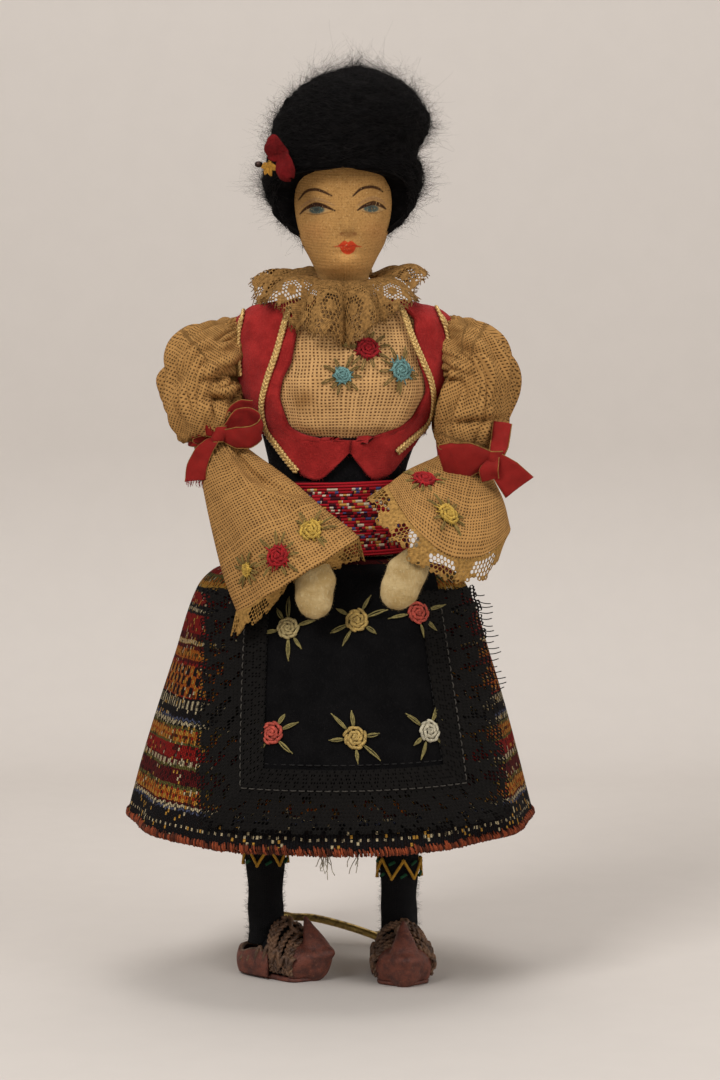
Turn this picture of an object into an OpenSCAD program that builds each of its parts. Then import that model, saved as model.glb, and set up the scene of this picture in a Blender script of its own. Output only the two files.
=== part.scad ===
// Cloth costume doll, in millimetres. It stands on z = 0 and faces -Y.
// Right and left are the doll's own sides, so right is at -X.

/* [Figure] */
// Height of the hip wire above the top of the soles
leg_h = 98.8; // [80:0.2:120]
// Height of the waist above the hip wire
hip_to_waist = 14.5; // [13:0.5:22]
// Height of the shoulder wire above the waist
waist_to_shoulder = 52.5; // [46:0.5:60]
// Height of the neck's base above the shoulder wire
shoulder_to_neck = 17; // [15:0.5:20]
// Length of neck between the torso and the chin
neck_h = 7.5; // [6:0.5:12]
// Height of the head from chin to crown
head_h = 40.5; // [34:0.5:48]
// How far the upper body leans to the left
lean = 3; // [0:0.5:5]
// How far the front of the costume is turned to the left, in degrees
twist = 8; // [0:1:10]

/* [Torso] */
// Width of the stuffed waist
waist_w = 33; // [30:0.5:40]
// Depth of the stuffed waist
waist_d = 25; // [22:0.5:30]
// Width of the stuffed chest
chest_w = 52; // [46:0.5:58]
// Depth of the chest in front of the shoulder wire
bust_d = 16.5; // [14:0.5:20]
// Depth of the back behind the shoulder wire
back_d = 14.5; // [12:0.5:18]
// Diameter of the armholes
armhole_d = 11; // [9:0.5:14]
// Width of the gusset between the legs
gusset_w = 23; // [18:0.5:25]

/* [Head] */
// Width of the head
head_w = 26.8; // [24:0.2:32]
// Depth of the face in front of the neck
face_d = 13.6; // [12:0.2:17]
// Depth of the head behind the neck
nape_d = 15.5; // [13:0.5:19]
// Width of the neck
neck_w = 14.6; // [12:0.2:17]
// Width of the hair
hair_w = 46; // [40:0.5:54]
// Height of the hair above the crown
hair_lift = 12; // [6:0.5:16]
// Height of the hairline above the chin
hairline_h = 24.5; // [20:0.5:29]
// Length of a flower petal
petal_l = 8; // [6:0.5:11]
// Thickness of the petal felt
petal_t = 1.2; // [0.8:0.1:2]

/* [Arms] */
// Sideways width of a puff sleeve
puff_w = 19; // [17:0.5:24]
// Depth of a puff sleeve, front to back
puff_d = 26.5; // [22:0.5:32]
// Height of a puff sleeve above the shoulder wire
puff_rise = 11; // [9:0.5:14]
// Drop from the right shoulder to the right elbow
right_drop = 27.5; // [25:0.5:34]
// Drop from the left shoulder to the left elbow
left_drop = 32; // [27:0.5:36]
// How far the elbows are in front of the shoulders
elbow_y = 8.5; // [6:0.5:11]
// Length of the right lower sleeve
right_sleeve_l = 44; // [38:0.5:48]
// Length of the left lower sleeve
left_sleeve_l = 30; // [27:0.5:34]
// Length of the right forearm
right_fore_l = 44; // [40:0.5:48]
// Length of the left forearm
left_fore_l = 36.5; // [33:0.5:40]
// Width of the right bell sleeve at its cuff
right_cuff_w = 37; // [32:0.5:38]
// Width of the left bell sleeve at its cuff
left_cuff_w = 35; // [30:0.5:36]
// Depth of a bell sleeve at its cuff
cuff_d = 14; // [13:0.5:16]
// Depth of the lace at a cuff
lace_l = 6; // [5:0.5:8]
// Length of a mitten hand
hand_l = 15; // [13:0.5:18]
// Width of a mitten hand
hand_w = 9.5; // [8:0.5:11]
// Thickness of a mitten hand
hand_t = 4.6; // [3.5:0.2:5.5]
// Width of the bow ribbon
ribbon_w = 5; // [4:0.5:6]

/* [Costume] */
// Thickness of the gauze
gauze_t = 0.6; // [0.5:0.1:0.8]
// Thickness of the vest felt
felt_t = 1.2; // [0.8:0.1:1.8]
// Height of the vest's front points above the waist
vest_point_h = 20.5; // [19.5:0.5:24]
// Height of the vest's front notch above its points
vest_notch_h = 7.5; // [4:0.5:9]
// Height of the vest's sides above its points
vest_side_h = 12; // [9:0.5:15]
// Width of the gold braids
braid_w = 2.4; // [1.8:0.2:3.4]
// Thickness of the gold braids
braid_t = 1; // [0.7:0.1:1.5]
// Width of the sash
sash_w = 19; // [16:0.5:19.5]
// Thickness of the sash
sash_t = 1.2; // [0.8:0.1:1.8]
// Reach of the collar to each side
collar_w = 23; // [20:0.5:26]
// Reach of the collar to the front
collar_d = 20; // [18:0.5:23]
// Number of folds in the collar
collar_folds = 13; // [9:1:17]

/* [Skirt] */
// Length of the skirt
skirt_l = 70.5; // [60:0.5:76]
// Width of the skirt at the hem
hem_w = 113; // [100:1:124]
// Depth of the skirt at the hem
hem_d = 98; // [88:1:110]
// Width of the skirt at the hips
hip_w = 75; // [66:0.5:80]
// Depth of the skirt at the hips
hip_d = 56; // [52:0.5:60]
// Thickness of the skirt wool
wool_t = 1.4; // [1:0.1:2]
// Depth of the skirt's folds at the hem
fold_d = 1.6; // [0.6:0.1:2.4]
// Number of folds round the skirt
fold_n = 12; // [8:4:20]
// How much lower the hem hangs in front
hem_dip = 3; // [0:0.5:5]
// Height of the hem binding
binding_h = 3; // [2:0.25:4.5]
// Width of the apron at its lower edge
apron_w = 62; // [56:1:70]
// Width of the apron at the waist
apron_top_w = 36; // [30:1:38]
// Length of the apron
apron_l = 57; // [50:0.5:60]
// Thickness of the apron felt
apron_t = 1; // [0.7:0.1:1.4]
// Width of the apron's lace border
border_w = 13; // [10:0.5:15]
// Share of the border that lies on the apron
border_lap = 5.5; // [4:0.5:7]

/* [Legs] */
// Distance between the middles of the legs
leg_gap = 36.4; // [35:0.2:42]
// Diameter of a leg at the hip
thigh_d = 10; // [9:0.2:11]
// Diameter of a leg at the ankle
ankle_d = 7.4; // [6:0.2:8]
// Thickness of a stocking
knit_t = 0.9; // [0.6:0.1:1.3]
// Length of a stocking above the ankle
stocking_h = 46; // [38:1:60]

/* [Shoes] */
// Length of a sole
sole_l = 29; // [26:0.5:32]
// Width of a sole at the ball of the foot
sole_w = 14; // [13:0.25:16]
// Thickness of a sole
sole_t = 1.2; // [0.8:0.1:2]
// Height of a shoe over the instep
vamp_h = 9; // [8:0.25:10.5]
// Height of the heel counter
counter_h = 6; // [4.5:0.25:7]
// Thickness of the leather
leather_t = 0.9; // [0.7:0.1:1.2]
// Height of the turned-up toe
tip_h = 15.7; // [13:0.1:17]
// Turn of the right foot, in degrees
right_toe = 57; // [40:1:62]
// Turn of the left foot, in degrees
left_toe = 4; // [-10:1:20]

/* [Stand] */
// Diameter of the stand's wire
wire_d = 2.2; // [1.6:0.1:2.6]
// Reach of the stand behind the legs
stand_y = 44; // [38:0.5:44.5]

/* [Joints] */
// Diameter of the neck dowel
dowel_d = 4.4; // [3.6:0.2:5.2]
// Diameter of the shoulder wire
shoulder_d = 1.8; // [1.4:0.1:2.2]
// Diameter of the elbow pins
elbow_d = 1.4; // [1.2:0.1:1.8]
// Diameter of the hip wire
hip_wire_d = 2; // [1.6:0.1:2.4]
// Diameter of the arm cores
core_d = 4.8; // [4:0.2:5.2]
// Gap between a pin and its bore, on the radius
fit = 0.05; // [0.03:0.01:0.12]
// Gap between layers that lie on each other
gap = 0.3; // [0.2:0.05:0.4]

/* [Hidden] */
$fn = 0;
$fa = 6;
$fs = 0.4;
hip_z = sole_t + leg_h;
waist_z = hip_z + hip_to_waist;
shoulder_z = waist_z + waist_to_shoulder;
neck_z = shoulder_z + shoulder_to_neck;
chin_z = neck_z + neck_h;
crown_z = chin_z + head_h;
hem_z = waist_z - skirt_l;
torso_z = waist_z - 7.5;
bust_z = shoulder_z - 8;
blouse_off = 0.15;
band_off = blouse_off + gauze_t + 0.2;
band_t = 0.7;
vest_off = band_off + band_t + 0.35;
vest_out = vest_off + felt_t;
arm_x = chest_w / 2 + vest_out + gap;
pivot_x = arm_x + 5.2;
body_cols = 28;
skirt_cols = 52;

// Helpers

function unit(v) = v / norm(v);
function mix(a, b, t) = a + (b - a) * t;
function column(rows, c) = [for (r = rows) [r[0], r[c]]];
function at(rows, z, c) = lookup(z, column(rows, c));

// Faces of a quad grid of m rows and n columns that starts at point p.
function grid_faces(m, n, p, wrap, inside) = [for (i = [0 : m - 2], j = [0 : wrap ? n - 1 : n - 2])
  let (k = (j + 1) % n, a = p + i * n + j, b = p + i * n + k, c = b + n, d = a + n)
  each inside ? [[a, c, d], [a, b, c]] : [[a, d, c], [a, c, b]]];

// A stuffed skin through rings that run anticlockwise seen from the last ring.
module skin(rings) {
  m = len(rings);
  n = len(rings[0]);
  e = (m - 1) * n;
  low = [for (j = [1 : n - 2]) [0, j, j + 1]];
  top = [for (j = [1 : n - 2]) [e, e + j + 1, e + j]];
  polyhedron([for (r = rings) each r], concat(grid_faces(m, n, 0, true, false), low, top));
}

// A sheet between an outer and an inner grid of points, closed round its edges.
module sheet(outer, inner, wrap = false) {
  m = len(outer);
  n = len(outer[0]);
  q = m * n;
  e = (m - 1) * n;
  ends = [for (j = [0 : wrap ? n - 1 : n - 2]) let (k = (j + 1) % n) each [
    [j, k, q + k], [j, q + k, q + j],
    [e + k, e + j, q + e + j], [e + k, q + e + j, q + e + k]]];
  sides = wrap ? [] : [for (i = [0 : m - 2]) let (a = i * n, d = a + n, b = a + n - 1, c = b + n) each [
    [d, a, q + a], [d, q + a, q + d],
    [b, c, q + c], [b, q + c, q + b]]];
  polyhedron(concat([for (r = outer) each r], [for (r = inner) each r]),
    concat(grid_faces(m, n, 0, wrap, false), grid_faces(m, n, q, wrap, true), ends, sides));
}

// A tube of round section along a path, with its own width at each point.
module tube(path, radii, sides) {
  m = len(path);
  skin([for (i = [0 : m - 1])
    let (t = unit(path[min(i + 1, m - 1)] - path[max(i - 1, 0)]),
      u = unit(cross(abs(t[2]) > 0.9 ? [0, 1, 0] : [0, 0, 1], t)), v = cross(t, u))
    [for (j = [0 : sides - 1]) path[i] + radii[i] * (u * cos(360 * j / sides) + v * sin(360 * j / sides))]]);
}

// A point on a smooth curve through the points p, at u from 0 to len(p) - 1.
function along(p, u) = let (n = len(p) - 1, i = min(floor(u), n - 1), f = u - i,
  a = p[max(i - 1, 0)], b = p[i], c = p[i + 1], d = p[min(i + 2, n)])
  0.5 * (2 * b + (c - a) * f + (2 * a - 5 * b + 4 * c - d) * f * f + (3 * b - a - 3 * c + d) * f * f * f);

module bar_x(d, x0, x1, y, z) {
  translate([x0, y, z]) rotate([0, 90, 0]) cylinder(d = d, h = x1 - x0);
}

// Shapes of the body. Rows hold height, half width, front depth and back depth.

strap_z = mix(shoulder_z, neck_z, 0.6);
yoke_z = mix(shoulder_z, neck_z, 0.82);
vest_top = neck_z - 1.2;
torso_rows = [
  [torso_z, waist_w / 2 - 1.5, waist_d / 2 - 2, waist_d / 2 - 2],
  [waist_z, waist_w / 2, waist_d / 2, waist_d / 2],
  [waist_z + 20, waist_w / 2, waist_d / 2 + 0.5, waist_d / 2],
  [mix(waist_z + 20, bust_z, 0.4), mix(waist_w, chest_w, 0.22) / 2, mix(waist_d / 2, bust_d, 0.45),
    waist_d / 2 + 0.5],
  [mix(waist_z + 20, bust_z, 0.75), mix(waist_w, chest_w, 0.62) / 2, mix(waist_d / 2, bust_d, 0.9),
    mix(waist_d / 2, back_d, 0.6)],
  [bust_z, mix(waist_w, chest_w, 0.9) / 2, bust_d, back_d],
  [shoulder_z, chest_w / 2, bust_d - 1.6, back_d],
  [strap_z, chest_w / 2, bust_d - 5, back_d - 3],
  [yoke_z, chest_w / 2 - 4.4, bust_d - 6.2, back_d - 4.2],
  [vest_top, mix(chest_w, neck_w, 0.64) / 2, neck_w / 2 + 1.8, neck_w / 2 + 1.8],
  [neck_z, neck_w / 2 + 0.6, neck_w / 2, neck_w / 2]];

function body_x(z) = lean * min(1, max(0, (z - waist_z) / (bust_z - waist_z)));
// Angles run from the front towards the left side.
function body_pt(a, z, off) = let (c = cos(a))
  [body_x(z) + (at(torso_rows, z, 1) + off) * sin(a),
    -((c > 0 ? at(torso_rows, z, 2) : at(torso_rows, z, 3)) + off) * c, z];
function body_ring(z, off) = [for (j = [0 : body_cols - 1]) body_pt(360 * j / body_cols, z, off)];

head_rows = [
  [neck_z + gap, neck_w / 2, neck_w / 2 - 0.4, neck_w / 2],
  [chin_z - 1.8, neck_w / 2 - 0.2, neck_w / 2 - 0.8, neck_w / 2 + 0.2],
  [chin_z, 0.28 * head_w, face_d - 3.9, 0.55 * nape_d],
  [chin_z + 0.06 * head_h, 0.32 * head_w, face_d - 1.7, 0.66 * nape_d],
  [chin_z + 0.16 * head_h, 0.38 * head_w, face_d - 0.5, 0.82 * nape_d],
  [chin_z + 0.31 * head_h, 0.45 * head_w, face_d, 0.94 * nape_d],
  [chin_z + 0.46 * head_h, 0.485 * head_w, face_d - 0.1, nape_d],
  [chin_z + 0.63 * head_h, 0.49 * head_w, face_d - 0.6, nape_d],
  [chin_z + 0.8 * head_h, 0.45 * head_w, face_d - 2.1, 0.9 * nape_d],
  [chin_z + 0.92 * head_h, 0.34 * head_w, face_d - 5.2, 0.68 * nape_d],
  [chin_z + 0.98 * head_h, 0.17 * head_w, face_d - 9.4, 0.34 * nape_d],
  [crown_z, 0.03 * head_w, 0.03 * head_w, 0.03 * head_w]];

function head_pt(a, z, off) = let (c = cos(a))
  [lean + (at(head_rows, z, 1) + off) * sin(a),
    -((c > 0 ? at(head_rows, z, 2) : at(head_rows, z, 3)) + off) * c, z];

skirt_rows = [
  [hem_z, hem_w / 2, hem_d / 2],
  [mix(hem_z, waist_z - 9, 0.35), mix(hem_w, hip_w, 0.33) / 2, mix(hem_d, hip_d, 0.33) / 2],
  [mix(hem_z, waist_z - 9, 0.7), mix(hem_w, hip_w, 0.68) / 2, mix(hem_d, hip_d, 0.68) / 2],
  [waist_z - 9, hip_w / 2, hip_d / 2],
  [waist_z - 4, mix(hip_w, waist_w, 0.22) / 2, mix(hip_d, waist_d, 0.2) / 2],
  [waist_z - 1.5, mix(hip_w, waist_w, 0.62) / 2, mix(hip_d, waist_d, 0.58) / 2],
  [waist_z, waist_w / 2 + 3, waist_d / 2 + 3]];

// Folds fade out towards the waist and under the apron, and never pass the hem's own size.
function fold(a, z) = let (s = (waist_z - z) / skirt_l, f = (1 - max(0, cos(a - twist))) ^ 0.5)
  -fold_d * s * f * (0.5 - 0.5 * cos(fold_n * a));
function dip(a, z) = hem_dip * max(0, cos(a)) * ((waist_z - z) / skirt_l) ^ 2;
function smooth_pt(a, z, off) = [(at(skirt_rows, z, 1) + off) * sin(a),
  -(at(skirt_rows, z, 2) + off) * cos(a), z - dip(a, z)];
function skirt_pt(a, z, off) = smooth_pt(a, z, off + fold(a, z));
function skirt_ring(z, off, n) = [for (j = [0 : n - 1]) skirt_pt(360 * j / n, z, off)];
// The point in front of the skirt at a distance x from the apron's middle line.
function apron_pt(x, z, off) = let (r = at(skirt_rows, z, 1) + off, s = hem_w / 2)
  smooth_pt(asin(max(-0.97, min(0.97, x / r))) + twist * r / s, z, off);

// Torso and what it wears

module torso() {
  rings = [for (r = torso_rows) body_ring(r[0], 0)];
  color("#d8c7a6") difference() {
    skin(rings);
    translate([lean, 0, waist_z + 30]) cylinder(d = dowel_d + 0.02, h = 90);
    bar_x(shoulder_d + 0.02, -90, 90, 0, shoulder_z);
  }
}

module hip_gusset() {
  color("#d8c7a6") difference() {
    translate([-gusset_w / 2, -7, hip_z - 6]) cube([gusset_w, 14, torso_z - hip_z + 6]);
    bar_x(hip_wire_d + 0.02, -40, 40, 0, hip_z);
  }
}

module neck_dowel() {
  color("#b98f5c") difference() {
    translate([lean, 0, waist_z + 30]) cylinder(d = dowel_d, h = chin_z + 0.5 * head_h - waist_z - 30);
    bar_x(shoulder_d + 0.02, -90, 90, 0, shoulder_z);
  }
}

module shoulder_wire() {
  color("#a8842f") bar_x(shoulder_d, lean - pivot_x - 4.4, lean + pivot_x + 4.4, 0, shoulder_z);
}

module hip_wire() {
  color("#a8842f") bar_x(hip_wire_d, -leg_gap / 2 - 4.6, leg_gap / 2 + 4.6, 0, hip_z);
}

module armholes() {
  for (s = [-1, 1]) translate([lean + s * 12, 0, shoulder_z]) rotate([0, s * 90, 0])
    cylinder(d = armhole_d, h = 60);
}

module blouse() {
  zs = [waist_z + 1, waist_z + 20, mix(waist_z + 20, bust_z, 0.4), mix(waist_z + 20, bust_z, 0.75), bust_z,
    shoulder_z, strap_z, yoke_z, vest_top];
  color("#e2d3b4") difference() {
    sheet([for (z = zs) body_ring(z, blouse_off + gauze_t)], [for (z = zs) body_ring(z, blouse_off)], true);
    armholes();
  }
}

module waistband() {
  zs = [waist_z + 0.6, waist_z + 12, waist_z + 20, waist_z + 27.2];
  color("#1c1a1c") sheet([for (z = zs) body_ring(z, band_off + band_t)],
    [for (z = zs) body_ring(z, band_off)], true);
}

// The vest is one strip of felt whose two front edges meet below the neckline.
vest_low = waist_z + vest_point_h;
neck_low = vest_low + vest_notch_h + 3.4;
function vest_z0(a) = lookup(abs(a), [[0, vest_low + vest_notch_h], [27, vest_low],
  [75, vest_low + vest_side_h], [180, vest_low + vest_side_h]]);
function neck_edge(z) = lookup(z, [[neck_low, 0.25], [neck_low + 0.5, 26], [neck_low + 3, 42],
  [bust_z - 3, 46], [bust_z + 2, 43], [shoulder_z, 36], [strap_z, 33], [vest_top, 33]]);
// Each row has the share of its way up to the neckline, or past it to the next height, or its own height.
vest_mid = mix(neck_low, bust_z, 0.5);
vest_zs = [bust_z, shoulder_z, mix(shoulder_z, strap_z, 0.5), strap_z, yoke_z, vest_top];
vest_rows = concat([for (t = [0, 0.5, 1]) [0, t]], [for (t = [0.1, 0.4, 1]) [1, t]],
  [for (z = vest_zs) [2, z]]);
function vest_edge(r) = r[0] == 0 ? 0.25 : neck_edge(r[0] == 1 ? mix(neck_low, vest_mid, r[1]) : r[1]);
function vest_z(r, a) = let (low = vest_z0(a), mid = max(neck_low, low + 1))
  r[0] == 0 ? mix(low, mid, r[1]) : r[0] == 1 ? mix(mid, vest_mid, r[1]) : r[1];
function vest_grid(off) = [for (r = vest_rows) let (e = vest_edge(r)) [for (j = [0 : body_cols])
  let (a = e + (360 - 2 * e) * j / body_cols) body_pt(a + twist, vest_z(r, a > 180 ? a - 360 : a), off)]];

module vest() {
  color("#a81e22") difference() {
    sheet(vest_grid(vest_out), vest_grid(vest_off));
    armholes();
  }
}

// A braid is a flat strip that runs over the vest along a path of angle and height.
module strip(path, w, t, off) {
  m = len(path);
  o = [for (p = path) body_pt(p[0], p[1], off + t)];
  i = [for (p = path) body_pt(p[0], p[1], off)];
  d = [for (k = [0 : m - 1]) let (f = unit(o[min(k + 1, m - 1)] - o[max(k - 1, 0)]))
    unit(cross(unit(o[k] - i[k]), f))];
  sheet([for (k = [0 : m - 1]) [o[k] + d[k] * w / 2, o[k] - d[k] * w / 2]],
    [for (k = [0 : m - 1]) [i[k] + d[k] * w / 2, i[k] - d[k] * w / 2]]);
}

braid_off = vest_out + gap + 0.2;
function front_path(s) = [
  [s * 12 + twist, vest_low + 2.4], [s * 28 + twist, vest_low + 2.4], [s * 46 + twist, vest_low + 5],
  [s * 66 + twist, vest_low + 12], [s * 66 + twist, bust_z - 6], [s * 53 + twist, bust_z],
  [s * 42 + twist, shoulder_z], [s * 38 + twist, shoulder_z + 6], [s * 37 + twist, strap_z]];

module braid_front(s) {
  u = [for (i = [0 : 2 : 32]) along(front_path(s), i / 4)];
  color("#b8924a") strip(u, braid_w, braid_t, braid_off);
}

module braid_arm(s) {
  n = 9;
  p = [for (i = [0 : n]) [s * 67, mix(bust_z + 4, strap_z, i / n)]];
  color("#b8924a") strip(p, braid_w, braid_t, braid_off);
}

// Gathered lace, from the neck to an edge that hangs lower in front.
collar_cols = 4 * collar_folds;
function collar_pt(j, u, off) = let (a = 360 * j / collar_cols, front = max(0, cos(a - twist)),
    rx = mix(neck_w / 2 + 1.5, collar_w, u), ry = mix(neck_w / 2 + 1.5, collar_d, u),
    z0 = neck_z + mix(5.5, 3, front), drop = mix(2.4, 15, front ^ 2.6), wave = 1.1 * u * cos(90 * j))
  [lean + rx * sin(a), -ry * cos(a), z0 - drop * u ^ 1.4 + wave + off];

module lace_collar() {
  us = [1, 0.75, 0.45, 0];
  color("#c9ae86") sheet([for (u = us) [for (j = [0 : collar_cols - 1]) collar_pt(j, u, 0.7)]],
    [for (u = us) [for (j = [0 : collar_cols - 1]) collar_pt(j, u, 0)]], true);
}

sash_z = waist_z + 0.9;
sash_off = band_off + band_t + gap + apron_t + gap;
module sash() {
  zs = [sash_z, sash_z + sash_w / 2, sash_z + sash_w];
  color("#9c2a22") sheet([for (z = zs) body_ring(z, sash_off + sash_t)],
    [for (z = zs) body_ring(z, sash_off)], true);
}

// Skirt and apron

skirt_zs = [hem_z + binding_h * 0.4, mix(hem_z, waist_z - 9, 0.18), mix(hem_z, waist_z - 9, 0.35),
  mix(hem_z, waist_z - 9, 0.7), waist_z - 9, waist_z - 4, waist_z - 1.5, waist_z];
module skirt() {
  n = skirt_cols;
  color("#8c2b24") sheet([for (z = skirt_zs) skirt_ring(z, -0.9, n)],
    [for (z = skirt_zs) skirt_ring(z, -0.9 - wool_t, n)], true);
}

// The binding folds round the lower edge and lies on the wool.
module hem_binding() {
  n = skirt_cols;
  z = [hem_z + binding_h, hem_z];
  outer = [[z[1] + 0.3, -0.9 - wool_t - 0.3], [z[1], -0.9 - wool_t / 2], [z[1] + 0.3, -0.3], [z[0], 0]];
  fold_z = hem_z + binding_h * 0.4 - 0.15;
  inner = [[fold_z, -0.9 - wool_t - 0.3], [fold_z, -0.9 - wool_t / 2], [fold_z, -0.75], [z[0], -0.75]];
  color("#8a3a1e") sheet([for (p = outer) skirt_ring(p[0], p[1], n)],
    [for (p = inner) skirt_ring(p[0], p[1], n)], true);
}

module petticoat() {
  n = 36;
  zs = [hem_z + 4, mix(hem_z, waist_z - 9, 0.35), mix(hem_z, waist_z - 9, 0.7),
    waist_z - 9, waist_z - 4, waist_z - 1.5];
  off = -0.9 - wool_t - 0.6;
  p = [for (z = zs) [z, z > waist_z - 2 ? off + 0.2 : off - fold_d * (waist_z - z) / skirt_l]];
  color("#e9e4d8") sheet([for (q = p) [for (j = [0 : n - 1]) smooth_pt(360 * j / n, q[0], q[1])]],
    [for (q = p) [for (j = [0 : n - 1]) smooth_pt(360 * j / n, q[0], q[1] - gauze_t)]], true);
}

apron_z = waist_z - apron_l;
apron_off = gap - 0.9;
function apron_half(z) = mix(apron_w, apron_top_w, max(0, (z - apron_z) / apron_l) ^ 1.2) / 2;
module apron() {
  n = 14;
  zs = [apron_z, mix(apron_z, waist_z - 9, 0.33), mix(apron_z, waist_z - 9, 0.67),
    waist_z - 9, waist_z - 4, waist_z - 1.5];
  function rows(o) = [for (z = zs) [for (j = [0 : n]) apron_pt(apron_half(z) * (2 * j / n - 1), z, o)]];
  color("#191719") sheet(rows(apron_off + apron_t), rows(apron_off));
}

// The border runs down one side, along the foot and up the other.
lace_off = apron_off + apron_t + 0.35;
function border_pt(s, w, o) = let (out = w * border_w - border_lap, top = waist_z - 9.5, low = apron_z - out)
  s < 1 ? let (z = mix(top, low, s)) apron_pt(-(apron_half(z) + out), z, o)
  : s < 2 ? apron_pt(mix(-1, 1, s - 1) * (apron_half(low) + out), low, o)
  : let (z = mix(low, top, s - 2)) apron_pt(apron_half(z) + out, z, o);
module apron_lace() {
  ss = concat([for (i = [0 : 6]) i / 7], [for (i = [0 : 9]) 1 + i / 10], [for (i = [0 : 7]) 2 + i / 7]);
  ws = [1, 0.5, 0];
  color("#161416") sheet([for (w = ws) [for (s = ss) border_pt(s, w, lace_off + 0.5)]],
    [for (w = ws) [for (s = ss) border_pt(s, w, lace_off)]]);
}

// One bent wire: a loop on the floor behind the left foot, and an upright behind the right leg.
module stand_wire() {
  r = wire_d / 2;
  x = leg_gap / 2;
  p = [[x - 6, stand_y - 3, r], [x - 1, stand_y, r], [x + 5, stand_y - 3, r], [x + 6, stand_y - 10, r],
    [x, stand_y - 15, r], [x - 8, stand_y - 11.5, r], [0, stand_y - 4.5, r + 2.6],
    [-x + 7, stand_y, r + 5.2], [-x + 2, stand_y - 2, r + 6.6], [-x - 1, stand_y - 7, r + 11],
    [-x - 1, stand_y - 11, r + 24], [-x, stand_y - 18, hip_z - 36], [-x + 4, stand_y - 25, hip_z - 12],
    [-x + 6.5, waist_d / 2 + 1.2, torso_z - 4], [-x + 7.5, waist_d / 2 - 2.3, torso_z + 4]];
  m = (len(p) - 1) * 3;
  path = [for (i = [0 : m]) let (q = along(p, i / 3)) [q[0], q[1], max(r, q[2])]];
  color("#9a7a34") tube(path, [for (q = path) r], 8);
}

// Head

module head() {
  n = 24;
  color("#d9c19a") difference() {
    skin([for (r = head_rows) [for (j = [0 : n - 1]) head_pt(360 * j / n, r[0], 0)]]);
    translate([lean, 0, neck_z - 5])
      cylinder(d = dowel_d + 2 * fit, h = chin_z + 0.5 * head_h - neck_z + 5.4);
  }
}

// The hair wraps the head from the hairline, and leaves the face free below it.
hair_z0 = chin_z + 8.5;
hair_top = crown_z + hair_lift;
hair_n = 26;
hairline_z = chin_z + hairline_h;
hair_rows = [ // height, half width, front depth, back depth, edge of the face in degrees
  [hair_z0, 0.31 * hair_w, face_d - 2, nape_d + 1.5, 66],
  [hair_z0 + 5, 0.39 * hair_w, face_d - 1, nape_d + 3.5, 62],
  [hairline_z - 5, 0.465 * hair_w, face_d + 1.5, nape_d + 5.5, 54],
  [hairline_z - 2.6, 0.485 * hair_w, face_d + 3, nape_d + 6.2, 42],
  [hairline_z - 1.2, 0.49 * hair_w, face_d + 3.7, nape_d + 6.6, 28],
  [hairline_z - 0.3, 0.495 * hair_w, face_d + 4.2, nape_d + 6.8, 14],
  [hairline_z + 0.4, 0.49 * hair_w, face_d + 4.5, nape_d + 7, 0.2],
  [hairline_z + 6, 0.475 * hair_w, face_d + 6, nape_d + 7.5, 0.2],
  [mix(hairline_z, hair_top, 0.45), 0.47 * hair_w, face_d + 6, nape_d + 6.5, 0.2],
  [mix(hairline_z, hair_top, 0.7), 0.42 * hair_w, face_d + 3.5, nape_d + 3, 0.2],
  [mix(hairline_z, hair_top, 0.9), 0.28 * hair_w, face_d - 3, nape_d - 4, 0.2],
  [hair_top, 0.02 * hair_w, 0.02 * hair_w, 0.02 * hair_w, 0.2]];
// Heights of the scalp under each row, as shares of the head.
hair_in = [0.212, 0.31, 0.46, 0.53, 0.57, 0.592, 0.61, 0.63, 0.8, 0.92, 0.98, 1];
hair_m = len(hair_rows) - 1;
// The hair is swept to the left above the brow.
function sweep(z) = lookup(z, [[hair_z0, -0.7], [hairline_z + 3, -0.4], [mix(hairline_z, hair_top, 0.55), 2.2],
  [hair_top, 3.4]]);
function hair_pt(i, j) = let (r = hair_rows[i], a = r[4] + (360 - 2 * r[4]) * j / hair_n, c = cos(a))
  [lean + sweep(r[0]) + r[1] * sin(a), -(c > 0 ? r[2] : r[3]) * c, r[0]];
function scalp_pt(i, j) = let (r = hair_rows[i], a = r[4] + (360 - 2 * r[4]) * j / hair_n)
  head_pt(a, chin_z + hair_in[i] * head_h, 0.4) + [0, 0, i > 9 ? 0.3 : 0];

module hair() {
  color("#17131a") sheet([for (i = [0 : hair_m]) [for (j = [0 : hair_n]) hair_pt(i, j)]],
    [for (i = [0 : hair_m]) [for (j = [0 : hair_n]) scalp_pt(i, j)]]);
}

flower_at = [lean - 0.7 * hair_w / 2, -0.7 * (face_d + 5.2), hairline_z + 3]
  + 0.4 * [-sin(40), -cos(40), 0];
module place_flower() {
  translate(flower_at) rotate([0, 0, -40]) rotate([90, 0, 0]) children();
}

module petal(a) {
  r = petal_l * 0.62;
  rotate([0, 0, a]) translate([petal_l / 2, 0, 0]) linear_extrude(petal_t) intersection() {
    translate([0, r - petal_l * 0.24]) circle(r);
    translate([0, -r + petal_l * 0.24]) circle(r);
  }
}

module flower_petals() {
  color("#b3202a") place_flower() union() {
    for (a = [-35, 30, 95]) petal(a);
    cylinder(r = 1.6, h = petal_t);
  }
}

module flower_centre() {
  color("#d8a63a") place_flower() translate([0, 0, petal_t + 0.05]) union() {
    cylinder(r = 1.7, h = 0.8);
    translate([0, 0, 0.8]) sphere(r = 0.8);
  }
}

module hair_pin() {
  color("#2a2320") place_flower() translate([-petal_l * 0.45, petal_l * 0.2, 0]) union() {
    translate([0, 0, -8]) cylinder(r = 0.35, h = 9);
    translate([0, 0, 1.6]) sphere(r = 1);
  }
}

// Arms: s is -1 for the right and 1 for the left

function pivot(s) = [lean + s * pivot_x, 0, shoulder_z];
function elbow(s) = pivot(s) + (s < 0 ? [-0.3, -elbow_y, -right_drop] : [-3.2, -elbow_y, -left_drop]);
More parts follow.
